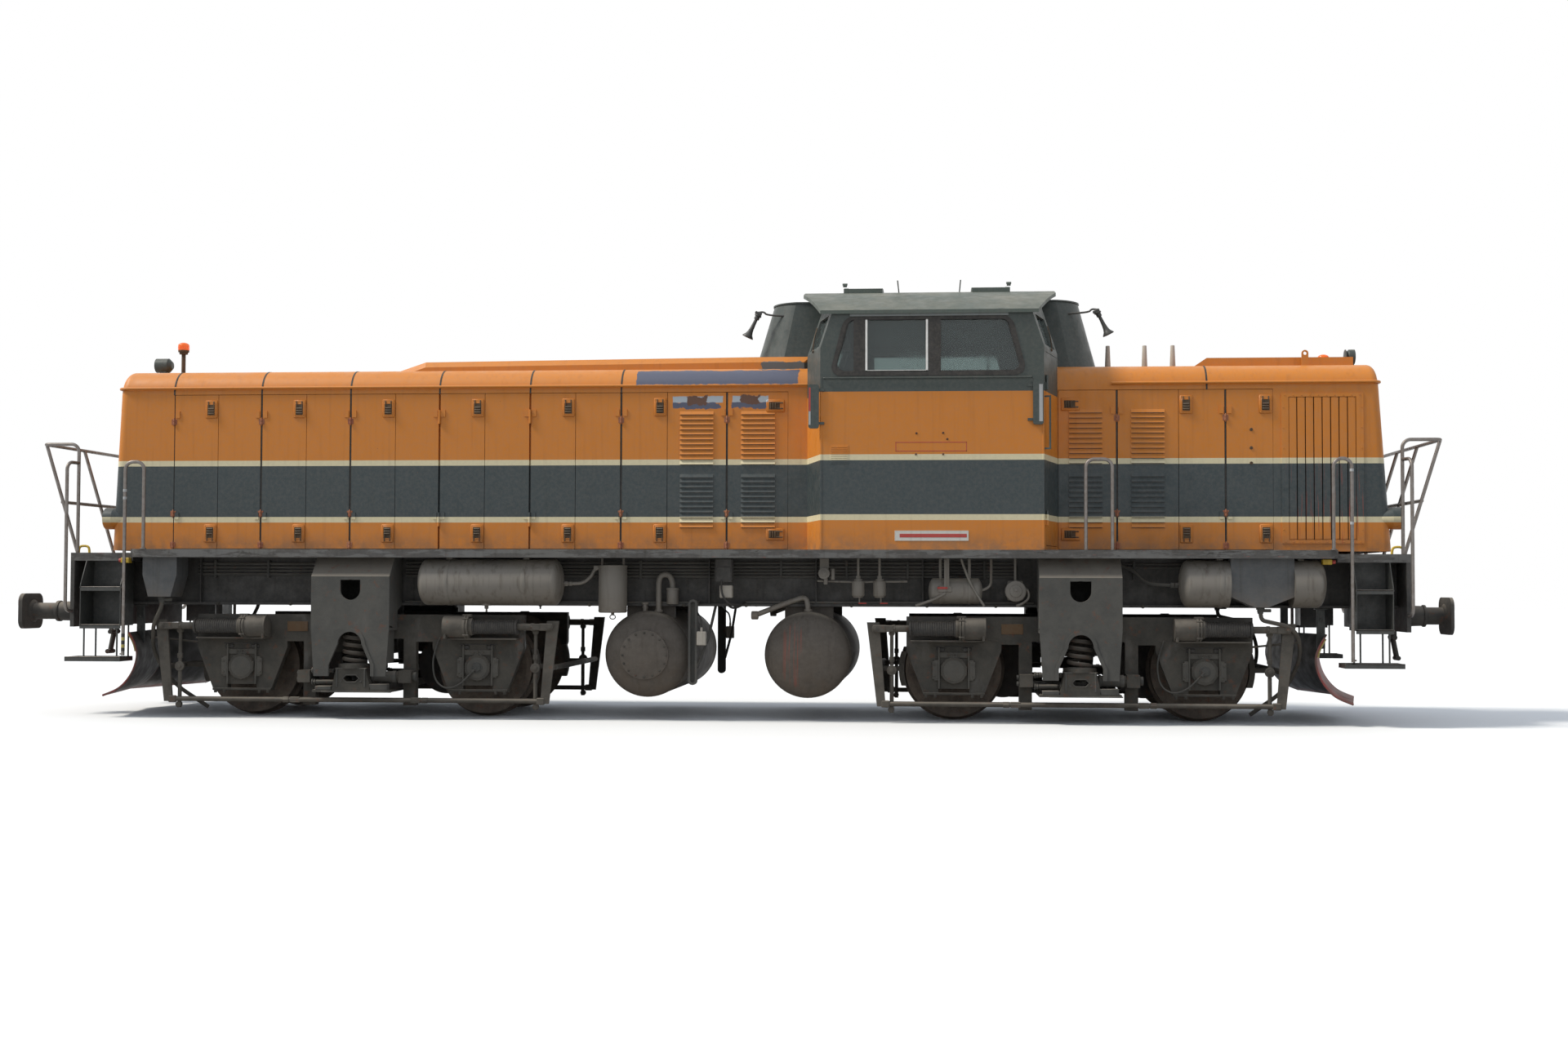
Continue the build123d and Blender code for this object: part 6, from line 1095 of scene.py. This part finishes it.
# Pipes, clips and stiffeners along the girders
runs = [bar((x0 + x1) / 2, y, z, radius, x1 - x0, 12) for x0, x1, y, pipes in (
    (-3.13, 2.96, -0.985, ((1.385, 0.013), (1.418, 0.01), (1.448, 0.012), (1.482, 0.014), (1.52, 0.011))),
    (-5.28, -3.95, -0.985, ((1.4, 0.013), (1.435, 0.01), (1.47, 0.012), (1.505, 0.014))),
    (3.95, 4.93, -0.985, ((1.48, 0.012), (1.512, 0.01))),
    (-3.13, -0.25, -1.02, ((1.125, 0.012),)), (0.3, 3.13, -1.02, ((1.13, 0.013),))) for z, radius in pipes]
clips = [slab(x - 0.012, x + 0.012, -1.004, -0.958, 1.365, 1.54, 0.002)
         for x in (-5.1, -4.55, -4.05, -2.95, -2.3, -1.65, -0.75, 0.0, 0.65, 1.3, 1.9, 2.65, 4.1, 4.7)]
ribs = [slab(x - 0.006, x + 0.006, -1.036, -0.958, 1.115, 1.562, 0.002) for x in (-5.24, -0.06, 1.0, 2.05)]
feed = tube([(3.96, -1.0, 1.5), (4.08, -1.02, 1.47), (4.18, -1.08, 1.34), (4.3, -1.18, 1.31),
             (4.52, -1.235, 1.31)], 0.016, 4)
nuts = [bar(x, -1.235, 1.31, 0.028, 0.036, 6, 0.003) for x in (4.44, 4.48)]
done(mirrored(*runs, *clips, feed, *nuts), "girder_pipes", shaded_bracket_iron)
done(mirrored(*ribs), "girder_ribs", frame_paint)
flange_nuts = [outside(side, x, 1.04, RAIL + 1.104) for side in SIDES
               for x in (-5.05, -4.3, -2.96, -1.255, -0.31, 0.31, 1.35, 2.09, 2.76, 4.18)]
bolts(0.014, 0.02, flange_nuts, "girder_bolts", bogie_iron)

# Emergency taps under the walkway's ends, sand valves below the bins
taps, knobs = [], []
for x in (-5.865, 5.87):
    taps.append(slab(x - 0.045, x + 0.04, -1.41, -1.33, 1.508, 1.56, 0.006))
    knobs.append(bar(x + math.copysign(0.06, x), -1.37, 1.534, 0.02, 0.034, 20, 0.005))
done(mirrored(*taps), "emergency_taps", tap_yellow)
done(mirrored(*knobs), "emergency_knobs", plate_red)
valves = []
for x, z in ((-5.505, 1.173), (5.25, 1.101)):
    valves += posts(x, -1.345, (z - 0.012, 0.04, 0.022, 24, 0.004), (z - 0.034, 0.033, 0.026, 6, 0.004),
                    (z - 0.05, 0.028, 0.02, 20, 0.003))
    valves.append(bar(x + 0.06, -1.345, z - 0.03, 0.016, 0.08, 14, 0.004))
done(mirrored(*valves), "sand_valves", shaded_bracket_iron)

# Bogies: each piece is modelled once round a pivot at the origin, and copied to both bogies
BRAKE_Z = 0.885


def on_bogies(piece, name, look, angle=35):
    """Copies a piece from the origin to each bogie, and finishes both copies."""
    for end, place in PIVOTS.items():
        twin = twin_of(piece)
        twin.location.x = place
        settle(twin)
        done(twin, name + "_" + end, look, "bogie_" + end, angle)
    bpy.data.objects.remove(piece)


def quarters(*pieces):
    """Pieces of one near corner as one, with their mirror images at the other three corners."""
    right = joined(list(pieces))
    return mirrored(right, reflected(right, 0))


def coil(x, y, low, high, radius, wire, turns):
    """A spring of round wire, wound by spinning a circle."""
    start()
    bpy.ops.mesh.primitive_circle_add(vertices=14, radius=wire, location=(x + radius, y, low + wire),
                                      rotation=(math.pi / 2, 0, 0))
    spring = settle(bpy.context.object)
    take(spring)
    mode("EDIT")
    bpy.ops.mesh.select_mode(type="VERT")
    bpy.ops.mesh.select_all(action="SELECT")
    steps = turns * 32
    rise = (high - low - 2 * wire) / steps
    angle = 2 * math.pi / 32
    for step in range(steps):
        pull((0, 0, rise))
        bpy.ops.transform.rotate(value=angle, orient_axis="Z", center_override=(x, y, 0))
    outwards()
    return spring


SPRING_Y = -1.3
springs = coil(0, SPRING_Y, RAIL + 0.516, RAIL + 0.849, 0.104, 0.0205, 4)
on_bogies(mirrored(springs), "coil_springs", spring_iron, 60)
for end in PIVOTS:
    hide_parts("bolster_springs_" + end)

# Spring seats: a collar, a lip round the oval hole, nuts on the link rods and the lower edge
seat = [*posts(0, SPRING_Y, (0.497, 0.148, 0.038, 48, 0.004), (0.519, 0.124, 0.01, 48, 0.002)),
        slab(-0.158, 0.158, -1.438, -1.19, 0.466, 0.478, 0.003)]
seat += [slab(x - 0.008, x + 0.008, -1.441, -1.3, 0.29, 0.474, 0.003) for x in (-0.14, 0.14)]
seat += [disc(x, -1.434, 0.345, 0.01, 0.01, 6, 0.001) for x in (-0.1, 0.1)]
rim = tube([(-0.048, -1.431, 0.41), (0.048, -1.431, 0.41), (0.083, -1.431, 0.375), (0.048, -1.431, 0.34),
            (-0.048, -1.431, 0.34), (-0.083, -1.431, 0.375), (-0.048, -1.431, 0.41)], 0.006, 2, False)
on_bogies(mirrored(*seat, rim), "spring_seats", shaded_bracket_iron)
rods = []
for z in (0.335, 0.445):
    rods += bars(SPRING_Y, z, (-0.405, 0.029, 0.022, 6, 0.003), (-0.18, 0.029, 0.02, 6, 0.003),
                 (-0.425, 0.032, 0.012, 20, 0.002), (-0.3, 0.0215, 0.18, 20))
rods += bars(SPRING_Y, 0.39, (0.4, 0.06, 0.04, 32, 0.006), (0.3, 0.0545, 0.23, 32),
             (0.19, 0.062, 0.024, 32, 0.004))
ends = [bar(-0.585, -1.25, z, 0.024, 0.026, 6, 0.003) for z in (0.36, 0.42)]
ends.append(bar(0.59, -1.25, 0.39, 0.044, 0.034, 24, 0.005))
strip = [slab(-0.3, 0.4, -1.432, -1.4, 0.238, 0.25, 0.003),
         slab(0.18, 0.36, -1.43, -1.33, 0.262, 0.322, 0.005),
         slab(-0.36, -0.2, -1.43, -1.33, 0.262, 0.3, 0.005)]
on_bogies(mirrored(*rods, *ends, *strip), "link_rods", shaded_bracket_iron)

# Axlebox fronts
AXLE_X = 1.2
AXLE = 0.478
front = discs(AXLE_X, AXLE, (-1.158, 0.128, 0.03, 48, 0.004), (-1.182, 0.104, 0.028, 48, 0.006))
lugs = [(AXLE_X + dx, AXLE + dz) for dx in (-0.168, 0.168) for dz in (-0.065, 0.065)]
front += [slab(x - 0.024, x + 0.024, -1.172, -1.14, z - 0.034, z + 0.034, 0.005) for x, z in lugs]
for way in SIDES:
    front += [slab(AXLE_X + way * 0.15, AXLE_X + way * 0.208, -1.176, -1.14, AXLE - 0.085, AXLE + 0.085,
                   0.005),
              slab(AXLE_X + way * 0.136, AXLE_X + way * 0.152, -1.18, -1.14, 0.3, 0.7, 0.003)]
front += [slab(AXLE_X - 0.15, AXLE_X + 0.15, -1.165, -1.14, 0.6, 0.65, 0.004)]
crown = [disc(AXLE_X, -1.158, AXLE + 0.105, 0.04, 0.03, 24, 0.004)]
on_bogies(quarters(*front, *crown), "axlebox_fronts", axlebox_iron)
ring = []
for number in range(10):
    angle = math.radians(36 * number + 18)
    ring += [disc(AXLE_X + 0.117 * math.cos(angle), -1.178, AXLE + 0.117 * math.sin(angle), 0.0165, 0.022, 6,
                  0.002)]
for dx in (-0.05, 0.0, 0.05):
    ring.append(disc(AXLE_X + dx, -1.168, 0.628, 0.012, 0.016, 6, 0.002))
for way in SIDES:
    ring += [disc(AXLE_X + way * 0.186, -1.18, AXLE + dz, 0.01, 0.012, 6, 0.002) for dz in (-0.055, 0.055)]
on_bogies(quarters(*ring), "axlebox_bolts", brake_iron)
packing = [slab(AXLE_X + way * 0.088, AXLE_X + way * 0.172, -1.162, -1.1, 0.66, 0.7, 0.006) for way in SIDES]
packing += [slab(AXLE_X - 0.19, AXLE_X + 0.19, -1.154, -1.148, 0.702, 0.712, 0.001)]
on_bogies(quarters(*packing), "axlebox_packings", rubber)
ties = [slab(AXLE_X - 0.3, AXLE_X + 0.3, -1.166, -1.14, 0.238, 0.262, 0.004)]
ties += [post(AXLE_X + dx, -1.158, 0.228, 0.016, 0.03, 6, 0.002) for dx in (-0.27, -0.18, 0.18, 0.27)]
welds = [slab(AXLE_X - 0.43, AXLE_X + 0.43, -1.156, -1.148, 0.76, 0.768, 0.002)]
on_bogies(quarters(*ties, *welds), "pedestal_ties", bogie_iron)

# Hexagon cap with a looped speed cable on one cover of each bogie
cap = discs(AXLE_X, AXLE, (-1.2, 0.042, 0.03, 6, 0.004), (-1.192, 0.056, 0.016, 32, 0.003))
cable = tube([(AXLE_X, -1.212, AXLE), (AXLE_X - 0.06, -1.214, AXLE - 0.06),
              (AXLE_X - 0.18, -1.205, AXLE - 0.18), (AXLE_X - 0.32, -1.19, AXLE - 0.215),
              (AXLE_X - 0.43, -1.18, AXLE - 0.13), (AXLE_X - 0.455, -1.175, AXLE + 0.06),
              (AXLE_X - 0.42, -1.17, AXLE + 0.2), (AXLE_X - 0.385, -1.16, AXLE + 0.29),
              (AXLE_X - 0.385, -1.12, AXLE + 0.31)], 0.0085)
cable_end = disc(AXLE_X - 0.032, -1.216, AXLE - 0.032, 0.014, 0.06, 12, 0.002)
on_bogies(joined(cap + [cable, cable_end]), "speed_cables", shaded_bracket_iron)

# Brake cylinders with clamp rings, bellows, clevises and hangers, in front of each bogie's side frame
BRAKE_Y = -1.3
cylinder = [*bars(BRAKE_Y, BRAKE_Z, (1.0, 0.1055, 0.206, 48, 0.012), (1.112, 0.112, 0.024, 48, 0.004),
                  (1.14, 0.112, 0.02, 48, 0.004)),
            slab(1.105, 1.15, -1.404, -1.376, BRAKE_Z - 0.028, BRAKE_Z + 0.028, 0.005),
            bar(1.165, BRAKE_Y, BRAKE_Z, 0.084, 0.04, 40, 0.008),
            slab(1.08, 1.175, -1.33, -1.27, BRAKE_Z + 0.094, BRAKE_Z + 0.122, 0.006)]
cylinder += [bar(1.126, BRAKE_Y + 0.114 * math.cos(a), BRAKE_Z + 0.114 * math.sin(a), 0.01, 0.056, 6, 0.002)
             for a in [math.radians(45 + 90 * number) for number in range(4)]]
cylinder += [slab(0.93, 1.62, -1.31, -1.16, BRAKE_Z - 0.128, BRAKE_Z - 0.112, 0.004),
             slab(0.905, 0.93, -1.38, -1.15, BRAKE_Z - 0.12, BRAKE_Z + 0.02, 0.005)]
on_bogies(quarters(*cylinder), "brake_cylinders", brake_iron)
folds = []
for number in range(18):
    x = 1.206 + 0.0225 * number
    folds += bars(BRAKE_Y, BRAKE_Z, (x, 0.0685, 0.0112, 32, 0.0, 0.074),
                  (x + 0.0112, 0.074, 0.0112, 32, 0.0, 0.0685))
folds += bars(BRAKE_Y, BRAKE_Z, (1.192, 0.077, 0.02, 32, 0.004), (1.62, 0.077, 0.024, 32, 0.004))
on_bogies(quarters(*folds), "brake_bellows", rubber, 25)
clevis = [*bars(BRAKE_Y, BRAKE_Z, (1.7, 0.034, 0.16, 28, 0.004), (1.78, 0.044, 0.03, 6, 0.004)),
          slab(1.85, 1.985, -1.345, -1.325, BRAKE_Z - 0.036, BRAKE_Z + 0.036, 0.008),
          *discs(1.96, BRAKE_Z, (-1.33, 0.03, 0.05, 28, 0.004), (-1.36, 0.018, 0.014, 6, 0.002)),
          slab(1.78, 1.87, -1.345, -1.27, BRAKE_Z - 0.032, BRAKE_Z + 0.032, 0.008)]
hanger = [post(1.8, -1.25, 0.64, 0.018, 0.42, 18),
          *discs(1.8, 0.48, (-1.262, 0.048, 0.034, 32, 0.006), (-1.284, 0.022, 0.016, 6, 0.002)),
          *posts(1.8, -1.252, (0.25, 0.02, 0.36, 18), (0.585, 0.028, 0.05, 6, 0.003)),
          disc(1.8, -1.255, 0.84, 0.03, 0.05, 20, 0.004),
          disc(1.805, -1.255, 0.1, 0.03, 0.044, 24, 0.004)]
rodwork = [bar(0.95, -1.282, 0.156, 0.021, 1.9, 18), slab(0.56, 0.66, -1.3, -1.262, 0.128, 0.184, 0.006),
           bar(0.7, -1.282, 0.156, 0.032, 0.06, 6, 0.004),
           slab(1.82, 1.9, -1.306, -1.264, 0.122, 0.19, 0.008)]
on_bogies(quarters(*clevis, *hanger, *rodwork), "brake_rods", brake_iron)

# Buffers, ploughs, steps and rails at the ends
def swept_sheet(line, steps, thickness):
    """A sheet pulled from a straight edge through a row of steps, and given its thickness."""
    start()
    bpy.ops.mesh.primitive_plane_add(size=1, location=(0, 0, 0))
    sheet = settle(bpy.context.object)
    edit(sheet)
    bpy.ops.mesh.delete(type="ONLY_FACE")
    mode("OBJECT")
    for number, vertex in enumerate(sheet.data.vertices):
        vertex.select = number > 1
    mode("EDIT")
    bpy.ops.mesh.select_mode(type="VERT")
    bpy.ops.mesh.delete(type="VERT")
    mode("OBJECT")
    for vertex, place in zip(sheet.data.vertices, line):
        vertex.co = place
    mode("EDIT")
    bpy.ops.mesh.select_all(action="SELECT")
    for step in steps:
        pull(step)
    start()
    edit(thickened(sheet, thickness))
    outwards()
    return sheet


def eased(points):
    """A smooth row of points through a few corner points, six to each stretch."""
    row = []
    for number in range(len(points) - 1):
        before = points[max(number - 1, 0)]
        here, ahead = points[number], points[number + 1]
        after = points[min(number + 2, len(points) - 1)]
        for step in range(6):
            t = step / 6
            row.append(tuple(0.5 * (2 * b + (c - a) * t + (2 * a - 5 * b + 4 * c - d) * t * t
                                    + (3 * b - a - 3 * c + d) * t ** 3)
                             for a, b, c, d in zip(before, here, ahead, after)))
    return row + [points[-1]]


PROFILE = eased([(x, RAIL + z) for x, z in ((5.855, 0.815), (5.79, 0.69), (5.775, 0.56), (5.83, 0.4),
                                            (5.95, 0.262), (6.12, 0.185))])
blades, arms = [], []
for end in SIDES:
    steps = [(end * (b[0] - a[0]), 0, b[1] - a[1]) for a, b in zip(PROFILE, PROFILE[1:])]
    x, z = PROFILE[0]
    for side in SIDES:
        line = [(end * (x + 0.29), side * 0.002, z), (end * (x - 0.008), side * 1.322, z)]
        blades.append(swept_sheet(line, steps, 0.014))
        edge = [(end * (px - 0.004), side * 1.318, pz) for px, pz in PROFILE]
        blades.append(pipe(edge, 0.011, 2))
    for side in SIDES:
        arm_x = x + 0.3 * (1 - 0.94 / 1.33)
        arms += [slab(end * (arm_x - 0.088), end * (arm_x - 0.01), side * 0.922, side * 0.958, 0.7, 1.09,
                      0.004),
                 slab(end * (arm_x - 0.11), end * (arm_x + 0.01), side * 0.9, side * 0.98, 1.076, 1.091,
                      0.003)]
        arms += [disc(end * (arm_x - 0.05), side * 0.965, z, 0.016, 0.016, 6, 0.002) for z in (0.98, 0.86)]
done(blades, "plough_blades", plough_red, angle=40)
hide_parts("snow_ploughs")
done(arms, "plough_arms", dark_paint)
stripes = []
for end in SIDES:
    for side in SIDES:
        part = [(end * (px + 0.028), side * 1.262, pz) for px, pz in PROFILE[1:10]]
        steps = [tuple(b[n] - a[n] for n in range(3)) for a, b in zip(part, part[1:])]
        line = [part[0], (part[0][0] - end * 0.0165, side * 1.316, part[0][2])]
        stripes.append(swept_sheet(line, steps, 0.0175))
done(stripes, "plough_stripes", faded_yellow, angle=40)


BUFFER_Y, BUFFER_Z = 0.875, 1.02


def buffer():
    """A buffer at the origin, facing along X: ring, sleeve, plunger and a broad rounded head."""
    head = box((0.44, 0.469), (-0.225, 0.225), (-0.18, 0.18))
    edit_edges(head, lambda a, b: abs(a.x - b.x) > 0.01)
    bpy.ops.mesh.bevel(offset=0.085, segments=8, affect="EDGES")
    start()
    edit(head, lambda normal: normal.x > 0.99)
    bpy.ops.mesh.inset(thickness=0.01, depth=0.004)
    bpy.ops.mesh.inset(thickness=0.06, depth=-0.001)
    start()
    edit(head, lambda normal: normal.x < -0.99)
    bpy.ops.mesh.inset(thickness=0.05, depth=0.01)
    start()
    parts = [head] + [drum((x, 0, 0), radius, length, "X", *rest) for x, radius, length, *rest in (
        (0.012, 0.128, 0.024, 40, 0.004), (0.125, 0.104, 0.23, 48, 0.006, 0.096),
        (0.236, 0.107, 0.026, 48, 0.005), (0.34, 0.084, 0.2, 40, 0.004),
        (0.428, 0.088, 0.03, 40, 0.004, 0.14))]
    parts += [drum((0.03, 0.108 * math.cos(a), 0.108 * math.sin(a)), 0.015, 0.02, "X", 6, 0.002)
              for a in [math.radians(45 + 90 * n) for n in range(4)]]
    parts += [box((0.02, 0.11), (-0.006, 0.006), z, 0.002) for z in ((-0.126, -0.09), (0.09, 0.126))]
    return joined(parts)


moves = [at(x, side * BUFFER_Y, RAIL + BUFFER_Z, turn) @ Matrix.Diagonal((stretch, 1, 1, 1))
         for x, turn, stretch in ((-6.45, 180, 1.416), (6.65, 0, 0.993)) for side in SIDES]
done(copies(buffer(), moves), "buffer_castings", buffer_iron)
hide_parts("buffers")

# Nuts and air cocks on the headstocks
heads = []
for end, face in ((-1, 6.45), (1, 6.65)):
    for side in SIDES:
        heads += [bar(end * (face + 0.006), side * (BUFFER_Y + dy), BUFFER_Z + dz, 0.018, 0.012, 6, 0.002)
                  for dy in (-0.18, 0.18) for dz in (-0.11, 0.11)]
        heads += [bar(end * (face + 0.02), side * y, 0.96, radius, 0.04, 24, 0.004)
                  for y, radius in ((0.42, 0.03), (0.56, 0.026))]
done(heads, "headstock_fittings", buffer_iron)

# Treads: a worn nosing along each step, and round ribs on it
RAILING_Y = 1.48
nosings, ribs = [], []
for end, (x0, x1), (tray0, tray1) in ((-1, (5.872, 6.29), (5.872, 6.44)), (1, (6.112, 6.46), (6.01, 6.56))):
    for side in SIDES:
        for z in (0.885, 1.26):
            nosings.append(slab(end * (x0 - 0.004), end * (x1 + 0.004), side * 1.462, side * RAILING_Y,
                                z - 0.004, z + 0.012, 0.003))
            ribs += [bar(end * (x0 + x1) / 2, side * y, z + 0.008, 0.004, x1 - x0 - 0.02, 8)
                     for y in (1.23, 1.27, 1.31, 1.35, 1.39, 1.43)]
        nosings.append(slab(end * tray0, end * tray1, side * 1.466, side * RAILING_Y, 0.566, 0.578, 0.003))
done(nosings, "step_nosings", rail_metal)
done(ribs, "step_ribs", dark_paint)

# Marks on the rails, collars at their feet, and the lashing eyes on the platforms
marks, yellows, whites, collars = [], [], [], []
for side in SIDES:
    y = side * RAILING_Y
    marks += [post(-5.842, y, z, 0.0182, 0.034, 24) for z in (0.65, 0.72, 0.79)]
    yellows += [post(-5.842, y, z, 0.0184, 0.03, 24) for z in (0.683, 0.755)]
    whites += [post(x, y, z, 0.0184, 0.026, 24)
               for x, z in ((-5.842, 2.15), (-5.842, 2.225), (6.08, 1.9), (6.08, 2.4))]
    collars += [drum((x, y, DECK_TOP + 0.005), 0.03, 0.01, "Z", 28, 0.002) for x in (-5.65, 5.91)]
done(marks, "rail_bands_black", rubber)
done(yellows, "rail_bands_yellow", faded_yellow)
done(whites, "rail_bands_white", worn_white)
done(collars, "rail_collars", rail_metal)
eye = pipe([(0.0, -0.055, 0.0), (0.0, -0.055, 0.05), (0.0, -0.03, 0.072), (0.0, 0.03, 0.072),
            (0.0, 0.055, 0.05), (0.0, 0.055, 0.0)], 0.012)
eye_moves = [at(x, side * 1.23, RAIL + 1.608, 90) for x in (6.56, -6.37) for side in SIDES]
done(copies(eye, eye_moves), "lashing_eyes", tap_yellow)

# Dark strips under the pressed louvres of the doors: painted shadow below each lip
louvre_shadow_strips = [slab(x0 + 0.006, x1 - 0.006, side * 0.8505, side * 0.864, z - 0.0045, z + 0.0005)
         for side in SIDES
         for x0, x1 in ((-0.383, -0.044), (0.234, 0.576), (3.485, 3.814), (4.093, 4.42))
         for low in (1.88, 2.512)
         for z in [low + 0.05 * number for number in range(11)]]
done(louvre_shadow_strips, "louvre_painted_shadows", rubber)

# Air horns: a slim trumpet before each nose, hung from a bent rod
def trumpet():
    """A horn with its mouth at the origin, facing down, its throat a few hand's breadths above."""
    steps = [(0.03, 0.62), (0.03, 0.72), (0.04, 0.8), (0.05, 0.86), (0.06, 0.9)]
    start()
    bpy.ops.mesh.primitive_cylinder_add(vertices=28, radius=0.06, depth=0.006, location=(0, 0, 0.003))
    flare = settle(bpy.context.object)
    edit(flare, lambda normal: normal.z > 0.9)
    for rise, share in steps:
        pull((0, 0, rise))
        bpy.ops.transform.resize(value=(share, share, 1))
    start()
    edit(flare, lambda normal: normal.z < -0.9)
    bpy.ops.mesh.inset(thickness=0.004)
    for rise, share in steps[:3]:
        pull((0, 0, rise))
        bpy.ops.transform.resize(value=(share, share, 1))
    start()
    top = 0.21
    parts = [flare, drum((0, 0, top + 0.012), 0.027, 0.036, "Z", 20, 0.004),
             drum((0, 0, top + 0.038), 0.036, 0.018, "Z", 20, 0.004),
             box((-0.042, 0.028), (-0.022, 0.022), (top + 0.046, top + 0.074), 0.005)]
    return joined(parts)


HORN_Y = -0.29
horns = []
for (mouth_x, throat_x), toward in (((0.24, 0.352), 1), ((3.93, 3.818), -1)):
    lean = math.degrees(math.atan2(abs(throat_x - mouth_x), 0.23)) * toward
    horns.append(copies(trumpet(), [at(mouth_x, HORN_Y, RAIL + 3.862, lean, "Y")]))
    rod = [(throat_x + toward * dx, HORN_Y, z)
           for dx, z in ((0.015, 4.12), (0.06, 4.128), (0.085, 4.085), (0.33, 4.078))]
    horns.append(tube(rod, 0.01))
    horns.append(bar(throat_x + toward * 0.01, HORN_Y, 4.112, 0.017, 0.05, 12, 0.003))
done(horns, "horn_trumpets", dark_paint, angle=40)
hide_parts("horns")

# Blank plates on the side frames, beside the brake cylinders
plates = [pressed(slab(-0.74, -0.53, -1.156, -1.149, 0.83, 0.93, 0.0015), 0.006, -0.001)]
plates += [disc(x, -1.157, z, 0.005, 0.003, 8) for x in (-0.728, -0.542) for z in (0.842, 0.918)]
on_bogies(mirrored(*plates), "frame_plates", plate_ochre)


def stage_and_light():
    """A pale floor, soft lamps and the camera at the photograph's angle."""
    bpy.ops.mesh.primitive_plane_add(size=160, location=(0, 20, 0))
    floor = bpy.context.object
    floor.name = "floor"
    look = Finish("floor_pale")
    look.finish(look.mix(look.eye_rays(), (0.2, 0.19, 0.175, 1), (0.8, 0.8, 0.79, 1)), 0.9)
    floor.data.materials.append(look.material)
    world = bpy.data.worlds.new("studio")
    bpy.context.scene.world = world
    world.use_nodes = True
    world.node_tree.nodes.clear()
    studio = Nodes(world.node_tree)
    sky = studio.node("Background", Color=(0.8, 0.88, 1.0, 1), Strength=0.78)
    white = studio.node("Background", Color=(1, 1, 1, 1), Strength=1.0)
    mix = studio.node("MixShader")
    for source, socket in zip((studio.eye_rays(), sky.outputs[0], white.outputs[0]), mix.inputs):
        studio.link(source, socket)
    studio.node("OutputWorld", Surface=mix.outputs[0])
    bpy.ops.object.light_add(type="SUN", location=(-10, -20, 20))
    sun = bpy.context.object
    sun.name = "key_light"
    sun.data.energy = 3.2
    sun.data.angle = math.radians(12)
    sun.data.color = (1.0, 0.955, 0.88)
    sun.rotation_euler = Vector((0.66, 0.16, -0.8)).to_track_quat("-Z", "Y").to_euler()
    camera = bpy.data.cameras.new("photo_camera")
    holder = bpy.data.objects.new("photo_camera", camera)
    bpy.context.scene.collection.objects.link(holder)
    camera.sensor_width = 36
    camera.sensor_fit = "HORIZONTAL"
    camera.lens = 2281.05 / 1920 * 36
    camera.clip_end = 300
    turn = Matrix.Rotation(0.079, 4, "Z") @ Matrix.Rotation(math.pi / 2 + 0.0338, 4, "X")
    turn = turn @ Matrix.Rotation(0.0026, 4, "Z")
    holder.matrix_world = Matrix.Translation((2.1331, -19.3684, 1.2799 + RAIL)) @ turn
    bpy.context.scene.camera = holder
    bpy.context.scene.view_settings.view_transform = "Standard"


stage_and_light()
